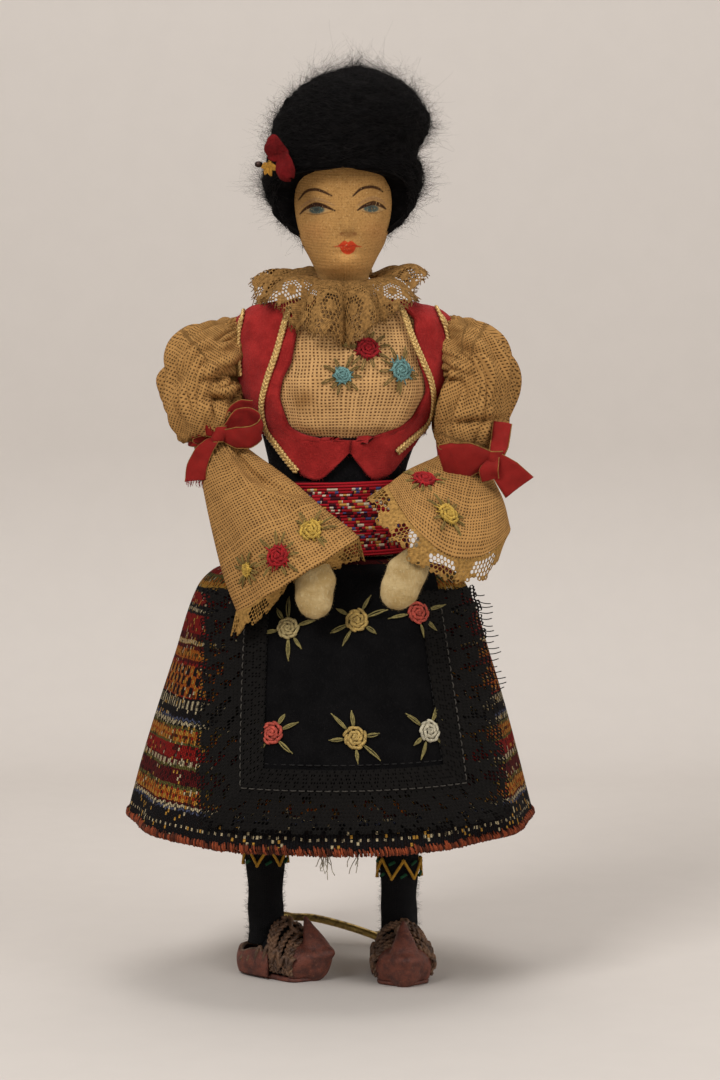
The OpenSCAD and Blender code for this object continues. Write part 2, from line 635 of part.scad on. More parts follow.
// Directions of a forearm, of the sleeve that hangs round it, and of the sleeve's width and depth.
function reach(s) = unit(s < 0 ? [30.5, -30.5, -25.5] : [-12.2, -31.5, -18.1]);
function fall(s) = unit(s < 0 ? [23.5, -27.5, -30] : [-5.5, -24.5, -14.5]);
function across(v, d) = unit(v - d * (v * d));
function side_dir(s) = across(s < 0 ? [0.85, 0, 0.53] : [0.97, 0, -0.2], fall(s));
function thick_dir(s) = cross(fall(s), side_dir(s));
function cuff_w(s) = s < 0 ? right_cuff_w : left_cuff_w;
function sleeve_l(s) = s < 0 ? right_sleeve_l : left_sleeve_l;
function fore_l(s) = s < 0 ? right_fore_l : left_fore_l;
puff_x = arm_x + puff_w / 2;
function puff_low(s) = elbow(s)[2] + 7.6;

// A straight rod of diameter d between two points.
module rod(a, b, d) {
  v = b - a;
  translate(a) rotate([0, acos(v[2] / norm(v)), atan2(v[1], v[0])]) cylinder(d = d, h = norm(v));
}

module upper_arm(s) {
  p = pivot(s);
  e = elbow(s);
  color("#d8c7a6") difference() {
    union() {
      bar_x(6.4, p[0] - 3.6, p[0] + 3.6, p[1], p[2]);
      rod(p, e, core_d - 0.8);
      bar_x(3.4, e[0] - 1.6, e[0] + 1.6, e[1], e[2]);
    }
    bar_x(shoulder_d + 2 * fit, p[0] - 20, p[0] + 20, p[1], p[2]);
    bar_x(elbow_d + 0.02, e[0] - 20, e[0] + 20, e[1], e[2]);
    for (k = [-1, 1]) translate([e[0] + k * 11.6, e[1], e[2]]) cube([20, 9.6, 9.6], center = true);
  }
}

module elbow_pin(s) {
  e = elbow(s);
  color("#a8842f") bar_x(elbow_d, e[0] - core_d / 2 - 1.2, e[0] + core_d / 2 + 1.2, e[1], e[2]);
}

// Half width and depth of the puff between its lower ring (0) and its top (1).
puff_rows = [[0, 4.4, 4.4], [0.115, 4.4, 4.4], [0.2, 0.4 * puff_w, 0.36 * puff_d],
  [0.31, 0.475 * puff_w, 0.46 * puff_d], [0.48, 0.5 * puff_w, 0.5 * puff_d],
  [0.68, 0.5 * puff_w, 0.49 * puff_d], [0.86, 0.44 * puff_w, 0.42 * puff_d],
  [0.955, 0.33 * puff_w, 0.29 * puff_d], [1, 0.16 * puff_w, 0.14 * puff_d]];
// Folds of a puff, in front and behind, above its tied lower ring.
function puff_fold(t, a) = abs(sin(a)) < 0.8 ? 0.05 * min(1, max(0, t - 0.115) * 8) * cos(7 * a) : 0;
function puff_ring(s, row, off, n) = let (e = elbow(s), z = mix(puff_low(s), shoulder_z + puff_rise, row[0]),
    f = min(1, max(0, (row[0] - 0.115) / 0.25)), x = mix(e[0], lean + s * puff_x, f),
    y = mix(-elbow_y * 0.72, 0, f))
  [for (j = [0 : n - 1]) let (a = 360 * j / n, k = 1 + puff_fold(row[0], a))
    [x + (row[1] + off) * sin(a), y - (row[2] * k + off) * cos(a), z]];

module puff_sleeve(s) {
  n = 20;
  p = pivot(s);
  m = len(puff_rows) - 1;
  color("#e2d3b4") difference() {
    sheet([for (r = puff_rows) puff_ring(s, r, 0, n)], [for (i = [0 : m])
      [for (q = puff_ring(s, puff_rows[i], -gauze_t, n)) q - [0, 0, i == m ? gauze_t : 0]]], true);
    bar_x(shoulder_d + 1, p[0] - (s > 0 ? 20 : 4), p[0] + (s > 0 ? 4 : 20), p[1], p[2]);
  }
}

// A ribbon loop: a closed strip that stands edge-on to the front, from c towards the turn angle.
module ribbon_loop(c, size, turn) {
  n = 14;
  function lp(i, o) = let (a = 360 * i / n,
      x = size * (0.5 - 0.5 * cos(a)) - o * cos(a), z = (0.36 * size + o) * sin(a))
    c + [cos(turn) * x - sin(turn) * z, 0, sin(turn) * x + cos(turn) * z];
  w = [0, ribbon_w * 0.4, 0];
  ro = [for (i = [0 : n - 1]) lp(i, 0.3)];
  ri = [for (i = [0 : n - 1]) lp(i, -0.3)];
  sheet([[for (q = ro) q - w], [for (q = ro) q + w]], [[for (q = ri) q - w], [for (q = ri) q + w]], true);
}

// A ribbon end of length l, flat to the front.
module ribbon_end(c, l, turn) {
  translate(c) rotate([0, -turn, 0]) translate([0, -0.3, -ribbon_w * 0.35]) cube([l, 0.6, ribbon_w * 0.7]);
}

module bow(s) {
  e = elbow(s);
  z = puff_low(s) - 0.3;
  c = [e[0] + (s < 0 ? 2 : 0.6), -elbow_y * 0.72 - 8.8, z + ribbon_w * 0.45];
  turns = s < 0 ? [18, 165, 205, -12] : [160, 20, 62, -20];
  sizes = s < 0 ? [10.5, 8, 9, 8] : [7, 7.5, 11, 12];
  color("#b01f28") union() {
    translate([e[0], -elbow_y * 0.72, z]) rotate_extrude() translate([4.9, 0]) square([0.8, ribbon_w * 0.7]);
    translate([c[0], c[1] + 4, c[2]]) rotate([90, 0, 0]) cylinder(d = 3.8, h = 5.6);
    for (k = [0, 1]) ribbon_loop(c, sizes[k], turns[k]);
    for (k = [2, 3]) ribbon_end(c - [0, 0.8, 0], sizes[k], turns[k]);
  }
}

module forearm(s) {
  e = elbow(s);
  d = reach(s);
  down = unit([0, d[1], d[2]]);
  hub = s < 0 ? 8.2 : 7.2;
  color("#d8c7a6") difference() {
    union() {
      tube([e + d * 7.5, e + d * fore_l(s)], [core_d / 2, core_d / 2], 12);
      tube([e + fall(s) * hub, e + fall(s) * (hub + 3.2)], [4.6, 4.6], 16);
      for (k = [-1, 1]) {
        q = e + [k * 2.9, 0, 0];
        tube([q + down * 0.9, q + down * 2.8, e + d * 9.5], [0.8, 0.8, 0.8], 8);
        bar_x(3.2, q[0] - 0.8, q[0] + 0.8, e[1], e[2]);
      }
    }
    bar_x(elbow_d + 2 * fit, e[0] - 20, e[0] + 20, e[1], e[2]);
  }
}

function bell_rows(s) = let (w = cuff_w(s)) [[0.1, 5.3, 5.1], [0.18, 6.5, 5.5], [0.36, 0.32 * w, 0.43 * cuff_d],
  [0.6, 0.4 * w, 0.49 * cuff_d], [0.84, 0.46 * w, 0.5 * cuff_d], [1, 0.5 * w, 0.48 * cuff_d]];
bell_n = 24;
function bell_pt(s, row, j, off) = let (a = 360 * j / bell_n, k = 1 + 0.07 * row[0] * cos(8 * a))
  elbow(s) + fall(s) * row[0] * sleeve_l(s) + side_dir(s) * (row[1] + off) * cos(a)
    + thick_dir(s) * (row[2] * k + off) * sin(a);

module bell_sleeve(s) {
  rows = bell_rows(s);
  color("#e2d3b4") sheet([for (r = rows) [for (j = [0 : bell_n - 1]) bell_pt(s, r, j, 0)]],
    [for (r = rows) [for (j = [0 : bell_n - 1]) bell_pt(s, r, j, -gauze_t)]], true);
}

module cuff_lace(s) {
  l = sleeve_l(s);
  w = cuff_w(s);
  rows = [[1 + 0.15 / l, 0.5 * w, 0.48 * cuff_d], [1 + lace_l / l, 0.53 * w, 0.51 * cuff_d]];
  color("#cdb891") sheet([for (r = rows) [for (j = [0 : bell_n - 1]) bell_pt(s, r, j, 0)]],
    [for (r = rows) [for (j = [0 : bell_n - 1]) bell_pt(s, r, j, -0.6)]], true);
}

// The mitten starts on the end of the forearm.
module hand(s) {
  n = 12;
  d = unit(s < 0 ? [0.4, -4, -20] : [-8, -5, -14]);
  w = unit(cross([0, -1, 0], d));
  t = cross(d, w);
  o = elbow(s) + reach(s) * (fore_l(s) + (s < 0 ? 2.1 : 1.6));
  rows = [[0, 0.25, 0.35], [0.1, 0.4, 0.46], [0.35, 0.5, 0.5], [0.62, 0.5, 0.48], [0.84, 0.38, 0.4],
    [0.96, 0.2, 0.24], [1, 0.08, 0.1]];
  color("#efeae0") skin([for (r = rows) [for (j = [0 : n - 1])
    o + d * r[0] * hand_l + w * r[1] * hand_w * cos(360 * j / n) + t * r[2] * hand_t * sin(360 * j / n)]]);
}

// Legs and shoes

function leg_x(s) = s * leg_gap / 2;
ankle_z = sole_t + vamp_h - 1;

module leg(s) {
  color("#d8c7a6") difference() {
    union() {
      bar_x(thigh_d, leg_x(s) - 3.9, leg_x(s) + 3.9, 0, hip_z);
      translate([leg_x(s), 0, ankle_z]) cylinder(d1 = ankle_d, d2 = thigh_d - 1, h = hip_z - ankle_z);
    }
    bar_x(hip_wire_d + 2 * fit, leg_x(s) - 20, leg_x(s) + 20, 0, hip_z);
  }
}

module stocking(s) {
  z1 = ankle_z + stocking_h;
  r0 = ankle_d / 2 + 0.1;
  r1 = mix(ankle_d, thigh_d - 1, stocking_h / (hip_z - ankle_z)) / 2 + 0.1;
  color("#1b191b") translate([leg_x(s), 0, ankle_z]) rotate_extrude()
    polygon([[r0, 0.1], [r0 + knit_t, 0.1], [r0 + knit_t, 5], [r1 + knit_t, stocking_h], [r1, stocking_h]]);
}

module shoe(s) {
  translate([leg_x(s), 0, 0]) rotate([0, 0, s < 0 ? right_toe : left_toe]) children();
}

// Half width of a shoe at u, from the heel (0) to the toe (1).
shoe_rows = [[0, 0.1], [0.04, 0.24], [0.12, 0.36], [0.3, 0.42], [0.5, 0.47], [0.65, 0.5],
  [0.8, 0.45], [0.92, 0.31], [1, 0.1]];
heel_y = 6.5;
function shoe_y(u) = heel_y - sole_l * u;
function shoe_half(u) = lookup(u, shoe_rows) * sole_w;

module sole(s) {
  right_side = [for (r = shoe_rows) [shoe_half(r[0]), shoe_y(r[0])]];
  left_side = [for (i = [len(shoe_rows) - 1 : -1 : 0]) [-right_side[i][0], right_side[i][1]]];
  color("#7a4630") shoe(s) linear_extrude(sole_t) polygon(concat(right_side, left_side));
}

// Section of the shoe's upper at u: an arch from one side of the sole to the other, widest above the sole.
function arch_h(u) = lookup(u, [[0.08, 4.4], [0.17, vamp_h - 1.5], [0.3, vamp_h], [0.41, vamp_h],
  [0.44, vamp_h + 4], [0.52, vamp_h + 2.8], [0.6, vamp_h + 1.2], [0.68, vamp_h - 0.2], [0.8, vamp_h - 1.8],
  [0.9, vamp_h - 3.4], [0.97, 4.2], [1, 3]]);
function bulge(u, a) = 1.2 * min(1, 2.2 * sin(a)) * lookup(u, [[0.4, 0], [0.5, 1], [0.8, 1], [1, 0]]);
function arch_pt(u, a, off) = let (h = max(0.5, arch_h(u) - 0.1 + off), c = cos(a),
    w = max(0.6, shoe_half(u) - 0.15 + bulge(u, a) + off))
  [-w * sign(c) * abs(c) ^ 0.8, shoe_y(u), sole_t + 0.05 + h * max(0, sin(a)) ^ 0.9];
arch_n = 10;
function arch_rows(us, off) = [for (u = us) [for (j = [0 : arch_n]) arch_pt(u, 180 * j / arch_n, off)]];

// The foot fills the shoe up to the ankle.
module foot(s) {
  us = [0.86, 0.8, 0.7, 0.62, 0.53, 0.45, 0.405, 0.3, 0.17, 0.1];
  color("#1b191b") shoe(s) skin(arch_rows(us, -leather_t - 0.25));
}

// A flat tongue along a path in the middle plane, with its own half width and thickness at each point.
module tongue(path, halves, thicks, sides) {
  m = len(path);
  x = [1, 0, 0];
  skin([for (i = [0 : m - 1]) let (v = cross(unit(path[min(i + 1, m - 1)] - path[max(i - 1, 0)]), x))
    [for (j = [0 : sides - 1]) let (a = 360 * j / sides)
      path[i] + x * halves[i] * cos(a) + v * thicks[i] * sin(a)]]);
}

// The toe is scooped, and its beak turns up and back.
module toe_cap(s) {
  us = [0.97, 0.9, 0.82, 0.74, 0.66];
  route = [[0, shoe_y(0.93), sole_t + 3.4], [0, shoe_y(0.99), sole_t + 5.4], [0, shoe_y(1), sole_t + 8],
    [0, shoe_y(0.9), sole_t + 0.74 * tip_h], [0, shoe_y(0.72), sole_t + tip_h]];
  m = 12;
  path = [for (i = [0 : m]) along(route, 4 * i / m)];
  color("#7d4733") shoe(s) union() {
    sheet(arch_rows(us, 0), arch_rows(us, -leather_t));
    tongue(path, [for (i = [0 : m]) mix(4.2, 0.5, (i / m) ^ 1.2)], [for (i = [0 : m]) mix(1.2, 0.4, i / m)], 8);
  }
}

module straps(s) {
  color("#a5744e") shoe(s) for (u = [0.445, 0.515, 0.585])
    sheet(arch_rows([u + 0.055, u], 0), arch_rows([u + 0.055, u], -leather_t));
}

// The counter stands on the sole and runs round the heel.
module counter(s) {
  us = [0.41, 0.3, 0.2, 0.12, 0.06];
  back = [[0.035, 0.16], [0.02, 0]];
  line = concat([for (u = us) [shoe_half(u) - 0.15, shoe_y(u)]],
    [for (b = back) [b[1] * sole_w, shoe_y(b[0])]],
    [[-back[0][1] * sole_w, shoe_y(back[0][0])]],
    [for (i = [4 : -1 : 0]) [-shoe_half(us[i]) + 0.15, shoe_y(us[i])]]);
  mid = [0, shoe_y(0.3)];
  function wall(k) = [for (p = line) p + unit(mid - p) * k];
  function rows(k) = [for (z = [0, counter_h * 0.5, counter_h])
    [for (p = wall(k)) [p[0], p[1], sole_t + 0.05 + z]]];
  color("#7d4733") shoe(s) sheet(rows(0), rows(leather_t));
}

torso();
hip_gusset();
neck_dowel();
shoulder_wire();
hip_wire();
blouse();
vest();
braid_front(-1);  // braid_front_right
braid_front(1);  // braid_front_left
braid_arm(-1);  // braid_arm_right
braid_arm(1);  // braid_arm_left
lace_collar();
waistband();
sash();
skirt();
hem_binding();
petticoat();
apron();
apron_lace();
stand_wire();
head();
hair();
flower_petals();
flower_centre();
hair_pin();
upper_arm(-1);  // right_upper_arm
elbow_pin(-1);  // right_elbow_pin
puff_sleeve(-1);  // right_puff_sleeve
bow(-1);  // right_bow
forearm(-1);  // right_forearm
bell_sleeve(-1);  // right_bell_sleeve
cuff_lace(-1);  // right_cuff_lace
hand(-1);  // right_hand
upper_arm(1);  // left_upper_arm
elbow_pin(1);  // left_elbow_pin
puff_sleeve(1);  // left_puff_sleeve
bow(1);  // left_bow
forearm(1);  // left_forearm
bell_sleeve(1);  // left_bell_sleeve
cuff_lace(1);  // left_cuff_lace
hand(1);  // left_hand
leg(-1);  // right_leg
stocking(-1);  // right_stocking
foot(-1);  // right_foot
sole(-1);  // right_sole
toe_cap(-1);  // right_toe_cap
straps(-1);  // right_straps
counter(-1);  // right_counter
leg(1);  // left_leg
stocking(1);  // left_stocking
foot(1);  // left_foot
sole(1);  // left_sole
toe_cap(1);  // left_toe_cap
straps(1);  // left_straps
counter(1);  // left_counter
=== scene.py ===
"""Looks of the cloth doll: every sub-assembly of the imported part, dressed and lit.

Sizes are in millimetres, angles in degrees from the front towards the doll's left side.
"""

import logging
import math
from dataclasses import dataclass
from enum import Enum
from typing import Any, Callable, Sequence

import bpy
import numpy as np
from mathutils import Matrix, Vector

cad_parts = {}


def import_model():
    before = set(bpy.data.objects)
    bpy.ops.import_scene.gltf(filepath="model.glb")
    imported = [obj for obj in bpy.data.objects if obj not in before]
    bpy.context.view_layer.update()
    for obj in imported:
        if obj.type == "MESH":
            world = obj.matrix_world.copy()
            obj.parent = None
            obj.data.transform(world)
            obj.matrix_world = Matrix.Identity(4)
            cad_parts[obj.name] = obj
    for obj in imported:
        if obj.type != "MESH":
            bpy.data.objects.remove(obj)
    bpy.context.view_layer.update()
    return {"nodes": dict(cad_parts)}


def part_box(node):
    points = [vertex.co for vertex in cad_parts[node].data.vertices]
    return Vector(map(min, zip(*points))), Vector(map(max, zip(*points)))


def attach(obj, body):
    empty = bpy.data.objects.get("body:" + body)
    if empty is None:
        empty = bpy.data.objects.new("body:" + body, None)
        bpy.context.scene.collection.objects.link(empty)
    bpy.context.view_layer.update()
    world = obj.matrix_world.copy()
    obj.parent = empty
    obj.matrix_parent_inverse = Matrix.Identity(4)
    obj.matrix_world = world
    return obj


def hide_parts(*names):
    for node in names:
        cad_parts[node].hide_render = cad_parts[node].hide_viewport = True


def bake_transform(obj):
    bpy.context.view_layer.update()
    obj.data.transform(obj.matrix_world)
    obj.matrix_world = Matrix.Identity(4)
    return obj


LOG = logging.getLogger("doll")
MM = 0.001
GAUZE_THICK = 0.35
LACE_THICK = 0.22
Points = np.ndarray
Colour = tuple[float, float, float]
Spot = tuple[float, float, float]
Rows = tuple[tuple[float, ...], ...]
Finish = bpy.types.Material
Piece = bpy.types.Object


class Side(Enum):
    """The doll's own sides, and their sign along X."""

    RIGHT = -1
    LEFT = 1

    @property
    def word(self) -> str:
        """Name that the frame's nodes and bodies start with."""
        return self.name.lower()


class Hold(Enum):
    """Ways in which a sheet of cloth is held."""

    GATHERED = "gathered"
    STRETCHED = "stretched"
    HUNG = "hung"
    FOLDED = "folded"


# Curves and fields


def unit(v: Any) -> Points:
    """Vectors of length one along the last axis."""
    v = np.asarray(v, float)
    return v / np.maximum(np.linalg.norm(v, axis=-1, keepdims=True), 1e-9)


def mix(a: Any, b: Any, t: Any) -> Any:
    """Value between a (t = 0) and b (t = 1)."""
    return a + (b - a) * t


def smooth(low: float, high: float, x: Any) -> Any:
    """Smooth step from 0 at low to 1 at high."""
    t = np.clip((x - low) / (high - low), 0, 1)
    return t * t * (3 - 2 * t)


def sines(a: Any) -> Any:
    """Sine of degrees."""
    return np.sin(np.radians(a))


def cosines(a: Any) -> Any:
    """Cosine of degrees."""
    return np.cos(np.radians(a))


def join(*parts: Any) -> Points:
    """Points from their coordinates, each given for every point or for whole rows of them."""
    return np.stack(np.broadcast_arrays(*parts), -1)


def hump(x: Any, at: float, wide: float) -> Any:
    """Soft rise to one at a place."""
    return np.exp(-((x - at) / wide) ** 2)


def evenly(values: Any, n: int) -> Points:
    """Values at n even steps along a row of them."""
    return np.interp(np.linspace(0, 1, n), np.linspace(0, 1, len(values)), values)


def lengths(path: Points) -> Points:
    """Distance of each point of a path from its start."""
    return np.concatenate([[0], np.cumsum(np.linalg.norm(np.diff(path, axis=0), axis=-1))])


def bend(a: Points, b: Points, c: Points, d: Points, f: Points) -> Points:
    """Smooth curve past four points in a row, at a share f of the way from b to c."""
    return 0.5 * (2 * b + (c - a) * f + (2 * a - 5 * b + 4 * c - d) * f**2 + (3 * b - a - 3 * c + d) * f**3)


def lookup(x: Any, table: Sequence[tuple[float, float]]) -> Points:
    """Smooth curve without overshoot through a table of x and y.

    Args:
        x: places to read the curve at.
        table: points of the curve, with x rising.

    Returns:
        The curve's heights at x.
    """
    xs, ys = np.array(table, float).T
    h = np.diff(xs)
    d = np.diff(ys) / h
    slope = np.concatenate([d[:1], np.zeros(len(d) - 1), d[-1:]])
    both = d[:-1] * d[1:]
    rising = both > 0
    slope[1:-1][rising] = 2 * both[rising] / (d[:-1] + d[1:])[rising]
    x = np.clip(x, xs[0], xs[-1])
    i = np.clip(np.searchsorted(xs, x, side="right") - 1, 0, len(h) - 1)
    t = (x - xs[i]) / h[i]
    a = (1 + 2 * t) * (1 - t) ** 2 * ys[i] + t * t * (3 - 2 * t) * ys[i + 1]
    return a + h[i] * (t * (1 - t) ** 2 * slope[i] + t * t * (t - 1) * slope[i + 1])


def curve(points: Any, n: int) -> Points:
    """Smooth open curve through points.

    Args:
        points: points along the curve.
        n: number of samples, from the first point to the last.

    Returns:
        The samples, one per row.
    """
    p = np.asarray(points, float)
    p = np.concatenate([2 * p[:1] - p[1:2], p, 2 * p[-1:] - p[-2:-1]])
    u = np.linspace(0, len(p) - 3, n)
    i = np.minimum(u.astype(int), len(p) - 4)
    f = (u - i)[:, None]
    return bend(p[i], p[i + 1], p[i + 2], p[i + 3], f)


def loop(points: Any, a: Any) -> Points:
    """Smooth closed curve through evenly spaced points, read at angles in degrees.

    Args:
        points: points of the curve.
        a: angles, with 0 at the first point.

    Returns:
        One point per angle.
    """
    p = np.asarray(points, float)
    u = np.asarray(a, float) % 360 / 360 * len(p)
    i = u.astype(int)
    f = (u - i)[..., None]
    return bend(*(p[(i + k) % len(p)] for k in (-1, 0, 1, 2)), f)


def ripple(points: Points, size: float, seed: int, waves: int = 10) -> Points:
    """Smooth uneven field, as cloth and wool have it.

    Args:
        points: places, with any number of axes.
        size: distance over which the field changes.
        seed: picks one of many fields.
        waves: number of waves in the field.

    Returns:
        Values from about -1 to 1.
    """
    rng = np.random.default_rng(seed)
    k = (unit(rng.normal(size=(waves, points.shape[-1]))) * rng.uniform(0.6, 1.5, (waves, 1))
         * 2 * math.pi / size)
    return np.sin(points @ k.T + rng.uniform(0, 2 * math.pi, waves)).sum(-1) / math.sqrt(waves)


def normals(grid: Points, wrap: bool = False) -> Points:
    """Unit normals of a grid of points, on the side its faces show.

    Args:
        grid: rows and columns of points.
        wrap: whether the last column joins the first.

    Returns:
        One normal per point.
    """
    down = np.gradient(grid, axis=0)
    across = (np.roll(grid, -1, 1) - np.roll(grid, 1, 1)) if wrap else np.gradient(grid, axis=1)
    return unit(np.cross(across, down))


def quads(m: int, n: int, wrap: bool) -> tuple[Points, Points, Points]:
    """Number the quads of a grid of points.

    Args:
        m: rows of points.
        n: columns of points.
        wrap: whether the last column joins the first.

    Returns:
        Row and column of each quad, and its corners.
    """
    i, j = np.meshgrid(np.arange(m - 1), np.arange(n if wrap else n - 1), indexing="ij")
    k = (j + 1) % n
    return i, j, join(i * n + j, i * n + k, (i + 1) * n + k, (i + 1) * n + j).reshape(-1, 4)


def fan(n: int) -> Points:
    """Triangles that close a ring of n points."""
    a = np.arange(1, n - 1)
    return join(0, a + 1, a)


class Stuff:
    """Points, faces, map coordinates and tints of one piece, gathered before it is made."""

    def __init__(self) -> None:
        """Start with nothing."""
        self.points: list[Points] = []
        self.tints: list[Points] = []
        self.corners: list[Points] = []
        self.maps: list[Points] = []
        self.sizes: list[Points] = []
        self.count = 0

    def add(self, points: Points, faces: Points, maps: Points | None = None, tint: Any = (1, 1, 1)) -> None:
        """Add loose points and faces of one size.

        Args:
            points: one point per row.
            faces: rows of indices into points.
            maps: map coordinates of each corner of each face.
            tint: one colour, or one per point.
        """
        self.points.append(points)
        self.tints.append(np.broadcast_to(np.asarray(tint, float), points.shape))
        self.faces(faces + self.count, maps)
        self.count += len(points)

    def faces(self, faces: Points, maps: Points | None = None) -> None:
        """Add faces between points that are already there.

        Args:
            faces: rows of indices of those points.
            maps: map coordinates of each corner.
        """
        self.corners.append(faces.ravel())
        self.maps.append(np.zeros((faces.size, 2)) if maps is None else maps.reshape(-1, 2))
        self.sizes.append(np.full(len(faces), faces.shape[1]))

    def grid(self, points: Points, wrap: bool = False, maps: Points | None = None, tint: Any = (1, 1, 1),
             ends: bool = False) -> None:
        """Add a grid of quads.

        Args:
            points: rows and columns of points, rows upwards and columns anticlockwise seen from above.
            wrap: join the last column to the first.
            maps: map coordinates of the points, with one more column where the grid wraps.
            tint: one colour, or one per point.
            ends: close the first and the last row of a wrapped grid with a fan.
        """
        m, n = points.shape[:2]
        i, j, corners = quads(m, n, wrap)
        if maps is not None:
            maps = np.stack([maps[i, j], maps[i, j + 1], maps[i + 1, j + 1], maps[i + 1, j]], 2)
        start = self.count
        tint = np.asarray(tint, float)
        self.add(points.reshape(-1, 3), corners, maps, tint.reshape(-1, 3) if tint.ndim > 1 else tint)
        if ends:
            self.faces(fan(n) + start)
            self.faces(fan(n)[:, ::-1] + start + (m - 1) * n)

    def threads(self, paths: Any, radius: Any, sides: int = 5,
                tint: Any = (1, 1, 1), up: Any = None) -> None:
        """Add round threads, closed at both ends.

        Args:
            paths: threads, points along each, and X, Y, Z.
            radius: one radius, one per point, or one per thread and point.
            sides: sides of a thread's section.
            tint: one colour, or one per thread.
            up: directions that keep the sections from turning, one for all or one per point.
        """
        p = np.asarray(paths, float)
        if p.ndim == 2:
            p = p[None]
        k, m = p.shape[:2]
        t = unit(np.gradient(p, axis=1))
        if up is None:
            up = np.eye(3)[np.argmin(np.abs(t.mean(1)), -1)][:, None]
        u = unit(np.cross(np.broadcast_to(up, t.shape), t))
        v = np.cross(t, u)
        a = np.arange(sides) * 2 * math.pi / sides
        r = np.broadcast_to(np.asarray(radius, float), (k, m))[..., None, None]
        ring = u[:, :, None] * np.cos(a)[:, None] + v[:, :, None] * np.sin(a)[:, None]
        rows = (p[:, :, None] + r * ring).reshape(-1, 3)
        base = np.arange(k)[:, None, None] * m * sides
        i, j, quad = quads(m, sides, True)
        run = lengths(p[0])
        face_map = np.stack([join((j + c) / sides, run[i + d]) for c, d in ((0, 0), (1, 0), (1, 1), (0, 1))],
                            2)
        tint = np.asarray(tint, float)
        shade = np.repeat(tint, m * sides, 0) if tint.ndim > 1 else tint
        start = self.count
        maps = np.broadcast_to(face_map.reshape(1, -1, 4, 2), (k, len(quad), 4, 2))
        self.add(rows, (quad[None] + base).reshape(-1, 4), maps, shade)
        ends = fan(sides)[None]
        self.faces((ends + base).reshape(-1, 3) + start)
        self.faces((ends[:, :, ::-1] + base).reshape(-1, 3) + start + (m - 1) * sides)

    def build(self, name: str, material: Finish) -> Piece:
        """Make the object, with smooth faces, a map and a tint.

        Args:
            name: the piece's name.
            material: its finish.

        Returns:
            The object, at the origin.
        """
        mesh = bpy.data.meshes.new(name)
        points = np.concatenate(self.points) * MM
        corners = np.concatenate(self.corners)
        sizes = np.concatenate(self.sizes)
        mesh.vertices.add(len(points))
        mesh.vertices.foreach_set("co", points.ravel())
        mesh.loops.add(len(corners))
        mesh.loops.foreach_set("vertex_index", corners.astype(np.int32))
        mesh.polygons.add(len(sizes))
        mesh.polygons.foreach_set("loop_start",
                                  np.concatenate([[0], np.cumsum(sizes)[:-1]]).astype(np.int32))
        mesh.uv_layers.new(name="map").data.foreach_set("uv", np.concatenate(self.maps).ravel())
        tint = np.concatenate([np.concatenate(self.tints), np.ones((len(points), 1))], 1)
        mesh.attributes.new("tint", "FLOAT_COLOR", "POINT").data.foreach_set("color", tint.ravel())
        mesh.update(calc_edges=True)
        mesh.shade_smooth()
        mesh.materials.append(material)
        piece = bpy.data.objects.new(name, mesh)
        bpy.context.collection.objects.link(piece)
        return piece


def only(piece: Piece) -> None:
    """Make one object the only one selected, and the active one.

    Args:
        piece: the object.
    """
    bpy.ops.object.select_all(action="DESELECT")
    piece.select_set(True)
    bpy.context.view_layer.objects.active = piece


def apply(piece: Piece, kind: str, **settings: Any) -> Piece:
    """Add a modifier to a piece and apply it.

    Args:
        piece: the object to change.
        kind: the modifier's type.
        settings: the modifier's own values.

    Returns:
        The same object.
    """
    only(piece)
    modifier = piece.modifiers.new(kind.lower(), kind)
    for key, value in settings.items():
        setattr(modifier, key, value)
    bpy.ops.object.modifier_apply(modifier=modifier.name)
    return piece


def thicken(piece: Piece, thickness: float) -> Piece:
    """Give a sheet its thickness, inwards from the modelled face."""
    return apply(piece, "SOLIDIFY", thickness=thickness * MM, offset=-1, use_even_offset=False, use_rim=True)


def cloth(name: str, finish: Finish, grid: Points, thickness: float,
          maps: Points, wrap: bool = False) -> Piece:
    """Make a sheet of cloth.

    Args:
        name: the piece's name.
        finish: its finish.
        grid: points of its outer face.
        thickness: its thickness, inwards from that face.
        maps: map coordinates of the points.
        wrap: whether it goes all round.

    Returns:
        The object.
    """
    stuff = Stuff()
    stuff.grid(grid, wrap, maps)
    return thicken(stuff.build(name, finish), thickness)


def dress(piece: Piece, body: str, slot: str, *nodes: str) -> Piece:
    """Put a piece on the body that carries it, hide the solids that it stands for, and log its faces.

    Args:
        piece: the finished object.
        body: the body that it rides on, or nothing where it rides on none.
        slot: the record's material slot; not used.
        nodes: the CAD nodes that it replaces.

    Returns:
        The same object.
    """
    if body:
        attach(piece, body)
    if nodes:
        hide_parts(*nodes)
    LOG.info("%s: %d faces", piece.name, len(piece.data.polygons))
    return piece


def cut(piece: Piece, wide: float, long: float, hold: Hold,
        area: float | None = None) -> None:
    """Log the size that a sheet was cut to, beside the area that it was made with.

    Args:
        piece: the sheet.
        wide: width of the cut, in millimetres.
        long: length of the cut, in millimetres.
        hold: how the cloth is held; not used.
        area: flat area in square millimetres, where the cut isn't a rectangle.
    """
    made = sum(p.area for p in piece.data.polygons) / 2 / MM**2
    LOG.info("%s: cut %.0f mm2, made %.0f mm2", piece.name, area or wide * long, made)


# Finishes


